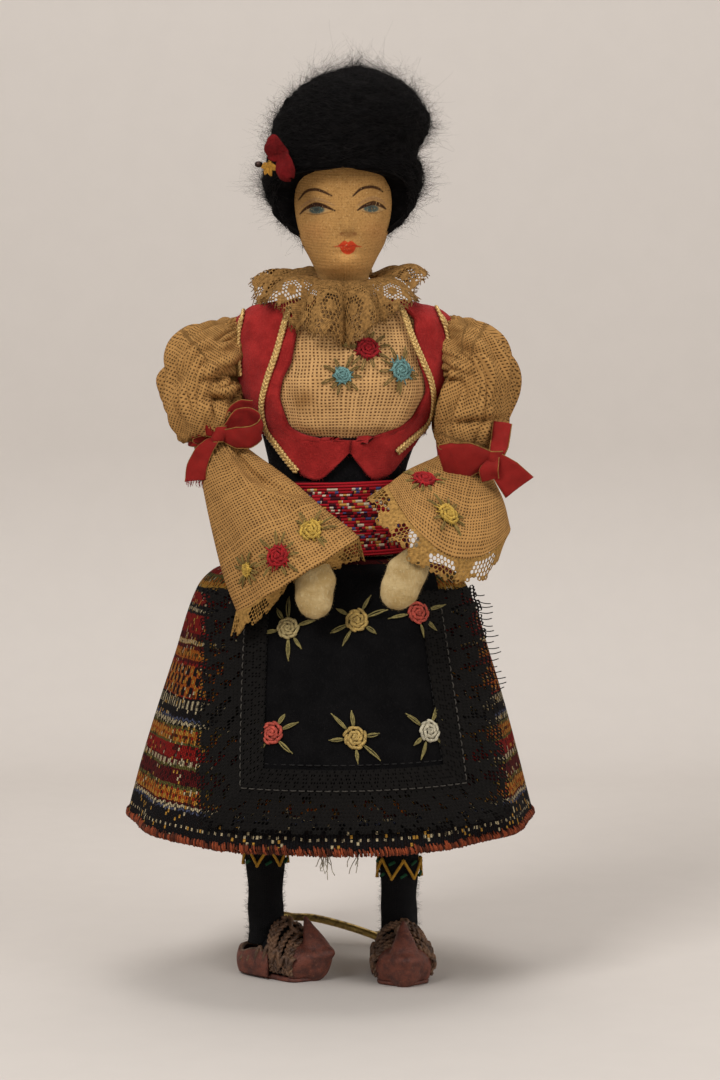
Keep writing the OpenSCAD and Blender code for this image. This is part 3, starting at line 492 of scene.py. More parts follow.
class Val:
    """A shader socket that takes part in Python expressions."""

    def __init__(self, dye: "Dye", socket: bpy.types.NodeSocket) -> None:
        """Wrap a socket of a material that is being made."""
        self.dye = dye
        self.socket = socket

    def math(self, operation: str, *others: Any) -> "Val":
        """One Math node on this value and others."""
        return self.dye.node("Math", {"operation": operation}, dict(enumerate((self, *others))))

    def __add__(self, other: Any) -> "Val":
        """Sum."""
        return self.math("ADD", other)

    def __sub__(self, other: Any) -> "Val":
        """Difference."""
        return self.math("SUBTRACT", other)

    def __rsub__(self, other: float) -> "Val":
        """Difference from a number."""
        return self.dye.node("Math", {"operation": "SUBTRACT"}, {0: other, 1: self})

    def __mul__(self, other: Any) -> "Val":
        """Product."""
        return self.math("MULTIPLY", other)

    def __truediv__(self, other: Any) -> "Val":
        """Quotient."""
        return self.math("DIVIDE", other)

    __radd__ = __add__
    __rmul__ = __mul__

    def over(self, edge: Any) -> "Val":
        """1 where the value is greater than an edge."""
        return self.math("GREATER_THAN", edge)

    def soft(self, low: float, high: float) -> "Val":
        """Smooth step from 0 at low to 1 at high."""
        return self.dye.node("MapRange", {"interpolation_type": "SMOOTHSTEP"},
                             {"Value": self, "From Min": low, "From Max": high})

    def fold(self, period: float) -> "Val":
        """Distance to the middle of the nearest period: 0 at its middle, 0.5 at its ends."""
        return (self / period).math("FRACT").__sub__(0.5).math("ABSOLUTE")

    def cell(self, period: float) -> "Val":
        """Number of the period that the value is in."""
        return (self / period).math("FLOOR")

    def within(self, low: float, high: float) -> "Val":
        """1 between two edges."""
        return self.over(low) * (1 - self.over(high))


class Dye:
    """The nodes of one material."""

    def __init__(self, name: str) -> None:
        """Start an empty material.

        Args:
            name: name of the material.
        """
        self.material = bpy.data.materials.new(name)
        self.material.use_nodes = True
        self.tree = self.material.node_tree
        self.tree.nodes.clear()

    def node(self, kind: str, settings: dict[str, Any] | None = None, values: dict[Any, Any] | None = None,
             out: Any = 0) -> Val:
        """Add a node.

        Args:
            kind: the node's type, without the word that every shader node starts with.
            settings: its own properties, and a ramp's stops.
            values: numbers, colours or links by socket number, identifier or name.
            out: number or identifier of the output to return.

        Returns:
            The output.
        """
        node = self.tree.nodes.new("ShaderNode" + kind)
        for key, value in (settings or {}).items():
            if key == "stops":
                self.stops(node.color_ramp, value)
            else:
                setattr(node, key, value)
        for key, value in (values or {}).items():
            socket = self.pick(node.inputs, key)
            if isinstance(value, Val):
                self.tree.links.new(value.socket, socket)
            else:
                socket.default_value = (*value, 1) if socket.type == "RGBA" else value
        return Val(self, self.pick(node.outputs, out))

    @staticmethod
    def pick(sockets: Any, key: Any) -> bpy.types.NodeSocket:
        """Socket by number, identifier or name."""
        if isinstance(key, int):
            return sockets[key]
        return next((s for s in sockets if s.identifier == key), None) or sockets[key]

    @staticmethod
    def stops(ramp: bpy.types.ColorRamp, stops: Sequence[tuple[float, Colour]]) -> None:
        """Set a ramp's stops.

        Args:
            ramp: the node's ramp.
            stops: place and colour of each.
        """
        while len(ramp.elements) < len(stops):
            ramp.elements.new(1)
        for element, (place, colour) in zip(ramp.elements, stops):
            element.position = place
            element.color = (*colour, 1)

    def place(self) -> Val:
        """The piece's own coordinates."""
        return self.node("TexCoord", out="Object")

    def map(self) -> tuple[Val, Val]:
        """The cloth's own map, along and across."""
        uv = self.node("UVMap", {"uv_map": "map"})
        return self.node("SeparateXYZ", {}, {0: uv}, 0), self.node("SeparateXYZ", {}, {0: uv}, 1)

    def tint(self) -> Val:
        """The colour that each point of the piece carries."""
        return self.node("Attribute", {"attribute_name": "tint"}, out="Color")

    def noise(self, size: float, detail: float = 2, stretch: Sequence[float] = (1, 1, 1),
              at: Val | None = None) -> Val:
        """Noise whose marks are about a size in millimetres, drawn out along an axis by stretch.

        Args:
            size: size of a mark.
            detail: number of finer layers.
            stretch: how much longer the marks are along each axis.
            at: place to read it at, where that isn't the piece's own.

        Returns:
            The noise, from 0 to 1.
        """
        scale = tuple(1 / (size * MM * s) for s in stretch)
        spot = self.node("Mapping", {}, {"Vector": at or self.place(), "Scale": scale})
        return self.node("TexNoise", {}, {"Vector": spot, "Scale": 1.0, "Detail": detail, "Roughness": 0.6})

    def grain(self, size: float, out: str = "Distance") -> Val:
        """Cells about a size in millimetres."""
        return self.node("TexVoronoi", {}, {"Vector": self.place(), "Scale": 1 / (size * MM)}, out)

    def mix(self, factor: Any, a: Any, b: Any, blend: str = "MIX") -> Val:
        """Colour between a and b."""
        return self.node("Mix", {"data_type": "RGBA", "blend_type": blend},
                         {"Factor_Float": factor, "A_Color": a, "B_Color": b}, "Result_Color")

    def joined(self, u: Val, v: Val) -> Val:
        """A vector from two values."""
        return self.node("CombineXYZ", {}, {0: u, 1: v})

    def finish(self, colour: Any, rough: Any, height: Val | None = None, depth: float = 0.1,
               **fixed: Any) -> Finish:
        """Close the material with its surface.

        Args:
            colour: base colour.
            rough: roughness.
            height: relief from 0 to 1.
            depth: depth of that relief in millimetres.
            fixed: values that are the same all over, by socket name with underscores.

        Returns:
            The material.
        """
        values: dict[Any, Any] = {key.replace("_", " "): value for key, value in fixed.items()}
        values |= {"Base Color": colour, "Roughness": rough}
        if height is not None:
            values["Normal"] = self.node("Bump", {},
                                         {"Strength": 1.0, "Distance": depth * MM, "Height": height})
        surface = self.node("BsdfPrincipled", {}, values)
        self.close(surface)
        return self.material

    def close(self, surface: Val) -> None:
        """Link a surface to the material's output."""
        output = self.tree.nodes.new("ShaderNodeOutputMaterial")
        self.tree.links.new(surface.socket, output.inputs["Surface"])


@dataclass(frozen=True)
class Felt:
    """Pressed wool: matted fibres, a dull bloom and worn paler patches."""

    name: str
    colour: Colour
    dark: Colour
    pale: Colour
    fibre: float = 0.35
    sheen: float = 0.04
    gloss: float = 0.07

    def make(self) -> Finish:
        """Make the material."""
        d = Dye(self.name)
        cloud = d.noise(6, 3)
        fibre = d.noise(self.fibre, 4, (1, 1, 2.5))
        cross = d.noise(self.fibre, 3, (2.5, 1.5, 1))
        base = d.mix(cloud.soft(0.35, 0.7), self.dark, self.colour)
        base = d.mix(fibre.soft(0.5, 0.8) * 0.55, base, self.pale)
        return d.finish(base, 0.95, fibre + cross * 0.7, 0.35, Sheen_Weight=self.sheen, Sheen_Roughness=0.6,
                        Specular_IOR_Level=self.gloss)


@dataclass(frozen=True)
class Gauze:
    """Plain open weave, with uneven threads, holes painted dark with the cloth and the shade behind them,
    and old stains.
    """

    name: str
    thread: Colour = (0.335, 0.175, 0.056)
    hole: Colour = (0.075, 0.034, 0.011)
    stain: Colour = (0.23, 0.11, 0.032)
    pitch: float = 0.86
    spot: tuple[float, float, float] | None = None

    def make(self) -> Finish:
        """Make the material."""
        d = Dye(self.name)
        u, v = d.map()
        u, v = u + (d.noise(7, 2) - 0.5) * 1.2, v + (d.noise(8, 2) - 0.5) * 1.2
        p, q = self.pitch, self.pitch * 1.04
        warp, weft = u.fold(p) * 2, v.fold(q) * 2
        own = d.node("TexWhiteNoise", {"noise_dimensions": "1D"}, {"W": u.cell(p)})
        other = d.node("TexWhiteNoise", {"noise_dimensions": "1D"}, {"W": v.cell(q) + 0.5})
        slub = (d.noise(1.8, 3) - 0.5) * 0.5
        gap = (warp - own * 0.16 - slub).soft(0.3, 0.58) * (weft - other * 0.16 - slub).soft(0.3, 0.58)
        light = d.mix((warp - weft).soft(-0.2, 0.2), own, other)
        base = d.mix(light, tuple(c * 0.88 for c in self.thread), tuple(c * 1.1 for c in self.thread))
        base = d.mix(d.noise(9, 3).soft(0.5, 0.75) * 0.5, base, self.stain)
        if self.spot is not None:
            away = d.node("VectorMath", {"operation": "DISTANCE"},
                          {0: d.place(), 1: tuple(c * MM for c in self.spot)}, "Value")
            base = d.mix((1 - (away + d.noise(3, 3) * 0.003).soft(0.0015, 0.0065)) * 0.8, base, self.stain)
        # Painted shade: the holes take a dark colour that stands for the cloth behind them and the shade on
        # it.
        base = d.mix(gap, base, self.hole)
        lift = (1 - warp * warp).math("MAXIMUM", 1 - weft * weft)
        return d.finish(base, 0.95, lift * 0.6 + d.noise(0.3, 2) * 0.2, 0.3, Specular_IOR_Level=0.06)


@dataclass(frozen=True)
class Thread:
    """Spun thread in the colour that each strand carries."""

    name: str
    rough: float = 0.7
    sheen: float = 0.02
    metallic: float = 0.0
    twist: float = 0.5
    spread: float = 0.35
    gloss: float = 0.16

    def make(self) -> Finish:
        """Make the material."""
        d = Dye(self.name)
        u, v = d.map()
        ply = (u + v / self.twist).fold(0.5) * 2
        uneven = d.noise(0.8, 3)
        base = d.mix(uneven.soft(0.25, 0.75), d.mix(self.spread, d.tint(), (0, 0, 0)), d.tint())
        # Painted shade in the grooves between the twist's plies.
        base = d.mix(ply.soft(0.55, 1) * 0.45, base, (0.02, 0.015, 0.01))
        return d.finish(base, self.rough, 1 - ply, 0.06, Sheen_Weight=self.sheen, Metallic=self.metallic,
                        Specular_IOR_Level=self.gloss)


@dataclass(frozen=True)
class Painted:
    """Fine gauze over a moulded head, with its features in thin paint."""

    name: str
    pitch: float = 0.42

    def make(self) -> Finish:
        """Make the material."""
        d = Dye(self.name)
        u, v = d.map()
        sway = d.noise(4, 2) - 0.5
        warp = (u + sway * 0.3).fold(self.pitch) * 2
        weft = (v + sway * 0.3).fold(self.pitch) * 2
        hole = warp.soft(0.5, 0.9) * weft.soft(0.5, 0.9)
        base = d.mix(d.noise(7, 3).soft(0.42, 0.75) * 0.4, d.tint(),
                     d.mix(0.5, d.tint(), (0.20, 0.09, 0.022)))
        base = d.mix(hole * 0.8, base, d.mix(0.75, d.tint(), (0.10, 0.05, 0.014)))
        base = d.mix(d.noise(0.6, 3).soft(0.48, 0.7) * 0.65, base, d.mix(0.65, base, (0.15, 0.07, 0.018)))
        base = d.mix(d.noise(0.45, 2, (1, 1, 1.6)).soft(0.58, 0.75) * 0.5, base, (0.68, 0.44, 0.19))
        return d.finish(base, 0.9, (1 - warp) + (1 - weft) + d.noise(0.45, 2), 0.12, Specular_IOR_Level=0.1)


@dataclass(frozen=True)
class Leather:
    """Worn leather: fine grain, darker creases and scuffed paler spots."""

    name: str
    colour: Colour
    dark: Colour
    worn: Colour

    def make(self) -> Finish:
        """Make the material."""
        d = Dye(self.name)
        grain = d.grain(0.5)
        cloud = d.noise(2.5, 4)
        base = d.mix(cloud.soft(0.35, 0.65), self.dark, self.colour)
        base = d.mix(d.noise(0.9, 4).soft(0.58, 0.75) * 0.7, base, self.worn)
        rough = 0.45 + cloud * 0.3
        return d.finish(base, rough, grain.soft(0.0, 0.6) + cloud, 0.1, Specular_IOR_Level=0.4)


@dataclass(frozen=True)
class Wire:
    """Drawn metal wire, with dull spots."""

    name: str
    colour: Colour
    tarnish: Colour

    def make(self) -> Finish:
        """Make the material."""
        d = Dye(self.name)
        spot = d.noise(3, 4).soft(0.4, 0.65)
        base = d.mix(spot, self.colour, self.tarnish)
        return d.finish(base, 0.28 + spot * 0.3, d.noise(0.4, 2, (1, 1, 6)), 0.02, Metallic=1.0)


@dataclass(frozen=True)
class Wood:
    """Turned hardwood with long grain."""

    name: str

    def make(self) -> Finish:
        """Make the material."""
        d = Dye(self.name)
        grain = d.noise(0.6, 4, (1, 1, 25))
        base = d.mix(grain.soft(0.3, 0.7), (0.30, 0.17, 0.07), (0.48, 0.31, 0.15))
        return d.finish(base, 0.6, grain, 0.05)


@dataclass(frozen=True)
class Cotton:
    """Closely woven plain cloth."""

    name: str
    colour: Colour
    pitch: float = 0.35

    def make(self) -> Finish:
        """Make the material."""
        d = Dye(self.name)
        u, v = d.map()
        lift = (1 - u.fold(self.pitch) * 2) + (1 - v.fold(self.pitch) * 2)
        base = d.mix(d.noise(4, 3).soft(0.4, 0.7), self.colour, tuple(c * 0.82 for c in self.colour))
        # Painted shade between the threads of the weave.
        base = d.mix(lift.soft(0.2, 0.9), d.mix(0.35, base, (0.1, 0.08, 0.05)), base)
        return d.finish(base, 0.9, lift * 0.5, 0.1, Sheen_Weight=0.02, Specular_IOR_Level=0.12)


@dataclass(frozen=True)
class Striped:
    """Weft-faced wool in woven bands, with fine upright ribs.

    The map runs round the hem and up from it, in millimetres.
    """

    name: str
    rib: float = 0.8
    black: Colour = (0.010, 0.009, 0.010)
    red: Colour = (0.30, 0.013, 0.010)
    deep: Colour = (0.11, 0.009, 0.009)
    orange: Colour = (0.48, 0.12, 0.014)
    yellow: Colour = (0.55, 0.28, 0.045)
    green: Colour = (0.13, 0.11, 0.028)
    white: Colour = (0.62, 0.50, 0.30)
    blue: Colour = (0.08, 0.09, 0.15)
    height: float = 75.0

    def bands(self) -> list[tuple[float, Colour]]:
        """Lower edge and colour of each plain band, from the hem up."""
        return [(0, self.black), (8.7, self.deep), (9.2, self.orange),
                (12.3, self.green), (13.4, self.deep), (17.2, self.green), (18.0, self.deep),
                (19.6, self.red), (22.9, self.green), (23.6, self.orange), (26.6, self.green),
                (27.5, self.black), (34.8, self.red), (43.4, self.deep), (44.4, self.orange),
                (47.0, self.deep), (48.2, self.yellow), (49.4, self.deep), (51.2, self.red),
                (56.0, self.black), (58.6, self.red), (61.8, self.black), (63.2, self.yellow),
                (65.0, self.green), (66.8, self.red), (69.0, self.deep), (71.5, self.orange)]

    def make(self) -> Finish:
        """Make the material."""
        d = Dye(self.name)
        u, high = d.map()
        step = u.cell(self.rib)
        sway = ((d.noise(9, 2) - 0.5) * 1.2
                + (d.node("TexWhiteNoise", {"noise_dimensions": "1D"}, {"W": step}) - 0.5) * 0.3)
        v = high + sway
        base = d.node("ValToRGB", {"stops": [(z / self.height, c) for z, c in self.bands()]},
                      {"Fac": v / self.height})
        base.socket.node.color_ramp.interpolation = "CONSTANT"

        def row(colour: Colour, low: float, top: float, period: float,
                share: float, shift: float = 0.0) -> None:
            """Lay a row of upright marks over the bands.

            Args:
                colour: colour of the marks.
                low: height of their feet.
                top: height of their tops.
                period: distance from mark to mark.
                share: width of a mark.
                shift: how far the row is moved along.
            """
            nonlocal base
            mark = 1 - (u + shift).fold(period).over(share / 2)
            base = d.mix(mark * v.within(low, top), base, colour)

        def zigzag(colour: Colour, middle: float, wide: float, period: float, rise: float) -> None:
            """Lay a zigzag line over the bands.

            Args:
                colour: colour of the line.
                middle: height of its middle.
                wide: width of the line.
                period: distance from point to point.
                rise: steepness of its slopes.
            """
            nonlocal base
            off = (v - middle - u.fold(period) * (4 * rise) + rise).math("ABSOLUTE")
            base = d.mix(1 - off.over(wide / 2), base, colour)

        row(self.white, 3.2, 3.9, 2.1, 0.3)
        zigzag(self.white, 8.4, 0.7, 2.6, 0.35)
        zigzag(self.blue, 7.6, 0.6, 2.6, 0.35)
        for low, shift in ((9.3, 0.0), (11.2, 1.35), (23.7, 0.0), (25.4, 1.35)):
            row(self.yellow, low + 0.1, low + 1.2, 2.7, 0.5, shift)
            row(self.red, low + 0.9, low + 1.6, 2.7, 0.3, shift + 1.35)
        row(self.white, 18.0, 19.3, 3.3, 0.55)
        zigzag(self.white, 28.4, 0.8, 2.8, 0.45)
        zigzag(self.blue, 29.4, 0.6, 2.8, 0.4)
        row(self.white, 32.0, 34.3, 2.4, 0.5)
        for level, shift in ((36.4, 0.0), (39.0, 2.35), (41.6, 0.0)):
            row(self.orange, level - 1.4, level + 1.4, 4.7, 0.5, shift)
            row(self.black, level - 1.1, level + 1.1, 4.7, 0.42, shift + 2.35)
            row(self.yellow, level - 0.5, level + 0.5, 4.7, 0.22, shift)
        row(self.yellow, 45.2, 46.4, 2.4, 0.5)
        row(self.white, 48.4, 49.4, 1.8, 0.6)
        row(self.white, 57.0, 57.8, 2.0, 0.6)
        row(self.orange, 64.2, 66.2, 3.0, 0.4)
        rib = 1 - u.fold(self.rib) * 2
        wool = d.noise(0.5, 3)
        pick = 1 - (high + (step * 0.5).math("FRACT") * 0.75).fold(0.75) * 2
        bead = (rib + wool * 0.5 - 0.25).soft(0.05, 0.5) * ((pick + wool * 0.5).soft(0.1, 0.6) * 0.55 + 0.45)
        fleck = d.node("TexWhiteNoise", {"noise_dimensions": "2D"},
                       {"Vector": d.joined(step, (high / 0.8).math("FLOOR"))})
        base = d.mix(fleck.over(0.965), base, self.yellow)
        base = d.mix((fleck * 7.3).math("FRACT").over(0.97), base, self.white)
        base = d.mix((fleck * 3.7).math("FRACT").over(0.74) * 0.8, base, (0.012, 0.007, 0.006))
        # Painted shade in the grooves between the ribs and the picks.
        base = d.mix(bead, d.mix(0.9, base, (0.006, 0.004, 0.004)), base)
        base = d.mix(wool.soft(0.35, 0.75) * 0.5, base, d.mix(0.6, base, (0.01, 0.008, 0.006)))
        return d.finish(base, 0.95, rib + wool * 0.6 + pick * 0.5, 0.45, Specular_IOR_Level=0.06)


@dataclass(frozen=True)
class Belt:
    """Narrow woven belt: red with small light and blue figures between plain edges."""

    name: str
    wide: float = 19.0

    def make(self) -> Finish:
        """Make the material."""
        d = Dye(self.name)
        u, v = d.map()
        red, deep, white = (0.36, 0.010, 0.016), (0.045, 0.006, 0.010), (0.58, 0.46, 0.33)
        blue, gold = (0.06, 0.07, 0.19), (0.52, 0.24, 0.05)
        row, tick = v.cell(0.8), (u + (v.cell(0.8) * 0.37).math("FRACT")).cell(0.95)
        chance = d.node("TexWhiteNoise", {"noise_dimensions": "2D"}, {"Vector": d.joined(tick, row)})
        figure = (u + row * 1.7).fold(5.7).over(0.2) * (v + 0.4).fold(4.6).over(0.12)
        base = d.mix(chance.over(0.62), red, deep)
        base = d.mix(figure * chance.over(0.42), base, white)
        base = d.mix(figure * chance.over(0.66), base, blue)
        base = d.mix(figure * chance.over(0.84), base, gold)
        base = d.mix(v.within(1.6, self.wide - 1.6), red, base)
        weft, wool = v.fold(0.8) * 2, d.noise(0.5, 3)
        # Painted shade in the grooves between the picks of the weft.
        base = d.mix((weft * weft + wool * 0.6 - 0.3).soft(0.3, 1.1) * 0.85, base, (0.03, 0.004, 0.005))
        return d.finish(base, 0.9, (1 - weft) + wool, 0.3, Specular_IOR_Level=0.1)


@dataclass(frozen=True)
class Knit:
    """Knitted wool: columns of stitches under a short black fuzz."""

    name: str
    colour: Colour = (0.0066, 0.0062, 0.0066)
    stitch: float = 0.8

    def make(self) -> Finish:
        """Make the material."""
        d = Dye(self.name)
        u, v = d.map()
        column = u.fold(self.stitch)
        loop = (v + column * 1.4).fold(self.stitch * 0.8) * 2
        # Painted light on the middle of each loop and painted shade between the loops.
        base = d.mix(loop * 0.6, tuple(c * 2.0 for c in self.colour), (0.002, 0.002, 0.003))
        base = d.mix(d.noise(0.5, 3).soft(0.5, 0.8) * 0.5, base, (0.011, 0.011, 0.012))
        return d.finish(base, 0.95, (1 - loop) + (1 - column * 2),
                        0.3, Sheen_Weight=0.02, Specular_IOR_Level=0.05)


@dataclass(frozen=True)
class Mohair:
    """Fine dull hair, black with a brown cast where it is thin."""

    name: str
    colour: Colour = (0.0052, 0.0042, 0.0040)
    gloss: float = 0.14

    def make(self) -> Finish:
        """Make the material."""
        d = Dye(self.name)
        base = d.mix(d.noise(2, 3).soft(0.45, 0.75), self.colour, tuple(c * 2.6 for c in self.colour))
        return d.finish(base, 0.8, d.noise(0.3, 3, (6, 6, 1)), 0.2, Specular_IOR_Level=self.gloss)


@dataclass(frozen=True)
class Studio:
    """Pale seamless paper, soft lights and the camera."""

    paper: Colour = (0.53, 0.485, 0.445)
    paper_half: float = 1500.0
    paper_front: float = -900.0
    bend_at: float = 330.0
    bend: float = 130.0
    lamps: tuple[tuple[str, Spot, float, float], ...] = (
        ("key", (-520, -780, 900), 420, 9.5),
        ("fill", (760, -620, 480), 520, 4.0),
        ("top", (60, 120, 980), 600, 4.0),
    )
    lit_at: Spot = (0, 0, 120)
    sky: Colour = (1.0, 0.975, 0.945)
    sky_power: float = 0.42
    camera_at: Spot = (7.5, -700.0, 165.0)
    pitch: float = 3.823
    view_high: float = 23.49

    def build(self) -> None:
        """Make the paper, the lights, the world and the camera."""
        d = Dye("paper")
        fibre = d.noise(12, 3)
        base = d.mix(fibre.soft(0.3, 0.7), self.paper, tuple(c * 0.985 for c in self.paper))
        sheet = d.node("BsdfPrincipled", {},
                       {"Base Color": base, "Roughness": 0.9, "Specular IOR Level": 0.2})
        behind = d.node("NewGeometry", out="Backfacing")
        d.close(d.node("MixShader", {}, {0: behind, 1: sheet, 2: d.node("BsdfTransparent")}))
        turn = np.radians(np.linspace(0, 90, 13))
        round_ = join(self.bend_at + self.bend * np.sin(turn), self.bend - self.bend * np.cos(turn))
        run = np.concatenate([[[self.paper_front, 0]], round_,
                              [[self.bend_at + self.bend, self.paper_half]]])
        rows = np.stack([join(x, *run.T) for x in (-self.paper_half, self.paper_half)], 1)
        stuff = Stuff()
        stuff.grid(rows)
        stuff.build("paper_sweep", d.material)
        for lamp in self.lamps:
            self.lamp(*lamp)
        world = bpy.data.worlds.new("studio")
        bpy.context.scene.world = world
        world.use_nodes = True
        sky = world.node_tree.nodes["Background"].inputs
        sky["Color"].default_value = (*self.sky, 1)
        sky["Strength"].default_value = self.sky_power
        camera = bpy.data.objects.new("camera", bpy.data.cameras.new("camera"))
        bpy.context.collection.objects.link(camera)
        camera.location = np.array(self.camera_at) * MM
        camera.rotation_euler = (math.radians(90 - self.pitch), 0, 0)
        camera.data.sensor_fit = "VERTICAL"
        camera.data.angle = math.radians(self.view_high)
        camera.data.clip_start = 0.01
        bpy.context.scene.camera = camera
        bpy.context.scene.view_settings.view_transform = "Standard"

    def lamp(self, name: str, at: Sequence[float], size: float, power: float) -> None:
        """Add a square soft light that faces the doll's middle.

        Args:
            name: name of the light.
            at: its place.
            size: length of its side.
            power: its strength in watts.
        """
        light = bpy.data.lights.new(name, "AREA")
        light.size = size * MM
        light.energy = power
        lamp = bpy.data.objects.new(name, light)
        bpy.context.collection.objects.link(lamp)
        lamp.location = np.array(at) * MM
        away = unit(np.array(at) - self.lit_at)
        lamp.rotation_euler = (math.acos(away[2]), 0, math.atan2(away[1], away[0]) + math.pi / 2)


# Stitches and lace


def frame_at(normal: Any, turn: float = 0.0) -> tuple[Points, Points, Points]:
    """Across, up and out directions on a surface, turned about its normal.

    Args:
        normal: direction out of it.
        turn: degrees to turn by.

    Returns:
        The three directions.
    """
    out = unit(normal)
    across = unit(np.cross((0, 0, 1), out))
    up = np.cross(out, across)
    return cosines(turn) * across + sines(turn) * up, cosines(turn) * up - sines(turn) * across, out


@dataclass
class Needlework:
    """Thread laid on one spot of a cloth, in that spot's own plane."""

    stuff: Stuff
    at: Points
    normal: Points
    seed: int
    turn: float = 0.0

    def __post_init__(self) -> None:
        """Set the spot's directions."""
        self.rng = np.random.default_rng(self.seed)
        self.axes = np.array(frame_at(self.normal, self.turn))

    def lay(self, flat: Any, radius: Any, tint: Any, sides: int = 5) -> None:
        """Lay threads given across, up and out of the cloth."""
        self.stuff.threads(np.asarray(self.at) + np.asarray(flat, float) @ self.axes,
                           radius, sides, tint, up=self.axes[2])

    def shades(self, colour: Colour, n: int, spread: float = 0.18) -> Points:
        """Colours close to one, for a number of threads."""
        return np.clip(np.array(colour) * self.rng.uniform(1 - spread, 1 + spread, (n, 1)), 0, 1)

    def rose(self, size: float, colour: Colour) -> None:
        """Bullion rose: short wound stitches that turn round a heart.

        Args:
            size: radius.
            colour: thread colour.
        """
        paths, n = [], 0
        for ring, count in ((0.16, 3), (0.48, 6), (0.82, 8)):
            start = self.rng.uniform(0, 360)
            for i in range(count):
                mid = start + 360 * i / count
                a = mid + np.linspace(-1, 1, 9) * 250 / count
                r = size * (ring + 0.10 * np.linspace(-1, 1, 9)) * self.rng.uniform(0.94, 1.06)
                out = 0.35 + 0.45 * (1 - ring) + 0.2 * np.sin(np.linspace(0, math.pi, 9))
                paths.append(join(r * cosines(a), r * sines(a), out))
                n += 1
        self.lay(paths, size * 0.135 * np.array([0.6, 0.95, 1, 1, 1, 1, 1, 0.95, 0.6]),
                 self.shades(colour, n), 6)

    def leaf(self, reach: float, long: float, wide: float, angle: float,
             colour: Colour, stitches: int = 7) -> None:
        """Leaf of flat stitches that meet at its point.

        Args:
            reach: distance of the leaf's foot from the middle.
            long: length of the leaf.
            wide: width at its foot.
            angle: direction it points in.
            colour: thread colour.
            stitches: number of threads.
        """
        t = np.linspace(0, 1, 7)
        k = np.linspace(-0.5, 0.5, stitches)[:, None]
        along = reach + t * long * (1 - 0.3 * np.abs(k) * self.rng.uniform(0.6, 1.2, (stitches, 1)))
        side = k * wide * (0.25 + 0.75 * np.sin(t * math.pi)) + self.rng.normal(0, 0.06, (stitches, 1))
        out = 0.18 + 0.35 * np.sin(t * math.pi)
        x = along * cosines(angle) - side * sines(angle)
        y = along * sines(angle) + side * cosines(angle)
        self.lay(join(x, y, out), wide / stitches * 0.62, self.shades(colour, stitches), 5)

    def knots(self, size: float, colour: Colour, count: int) -> None:
        """Heap of small loops.

        Args:
            size: radius.
            colour: thread colour.
            count: number of threads.
        """
        a = np.linspace(0, 2 * math.pi, 8)
        paths = []
        for _ in range(count):
            spot = self.rng.normal(0, size * 0.4, 2)
            r = self.rng.uniform(0.35, 0.6)
            lean = self.rng.uniform(0, 2 * math.pi)
            paths.append(join(spot[0] + r * np.cos(a + lean),
                              spot[1] + r * np.sin(a + lean) * 0.7, 0.35 + 0.25 * np.sin(a * 2 + lean)))
        self.lay(paths, 0.2, self.shades(colour, count, 0.3), 4)

    def blossom(self, size: float, colour: Colour, leaf: Colour) -> None:
        """Rose under loose stitches, in a spray of thin leaves.

        Args:
            size: radius.
            colour: thread colour.
            leaf: the leaves' colour.
        """
        for k in range(10):
            self.leaf(size * 0.8, 2.6 + self.rng.uniform(0, 2.2),
                      0.55, 36 * k + self.rng.normal(0, 12), leaf, 2)
        self.rose(size * 0.85, colour)
        self.heap(size * 1.1, colour, 36)

    def heap(self, size: float, colour: Colour, count: int) -> None:
        """Loose straight stitches that cross over each other in a round.

        Args:
            size: radius.
            colour: thread colour.
            count: number of threads.
        """
        t = np.linspace(-1, 1, 6)
        lean, turn = self.rng.uniform(0, math.pi, (2, count, 1))
        far = size * 0.7 * np.sqrt(self.rng.uniform(0, 1, (count, 1)))
        half = size * self.rng.uniform(0.3, 0.6, (count, 1))
        x = far * np.cos(2 * turn) + half * t * np.cos(lean)
        y = far * np.sin(2 * turn) + half * t * np.sin(lean)
        out = 0.15 + self.rng.uniform(0.3, 0.8, (count, 1)) * (1 - t * t)
        self.lay(join(x, y, out), 0.19, self.shades(colour, count, 0.35), 4)


def needle(stuff: Stuff, grid: Points, out: Points, x: float, z: float, seed: int) -> Needlework:
    """Needlework at the place on a cloth that is seen from the front at x and z.

    Args:
        stuff: what the threads are added to.
        grid: points of the cloth.
        out: its normals.
        x: place across.
        z: height.
        seed: picks the stitches.

    Returns:
        The needlework, with nothing laid yet.
    """
    far = (grid[..., 0] - x) ** 2 + (grid[..., 2] - z) ** 2
    at = np.unravel_index(np.argmin(np.where(out[..., 1] < -0.15, far, np.inf)), far.shape)
    return Needlework(stuff, grid[at], out[at], seed)


def scallops(wide: float, deep: float, long: float) -> Callable[[Points], Points]:
    """Width along a lace whose edge runs in scallops of a depth and a length."""
    return lambda u: wide - deep + deep * np.abs(np.sin(u * math.pi / long))


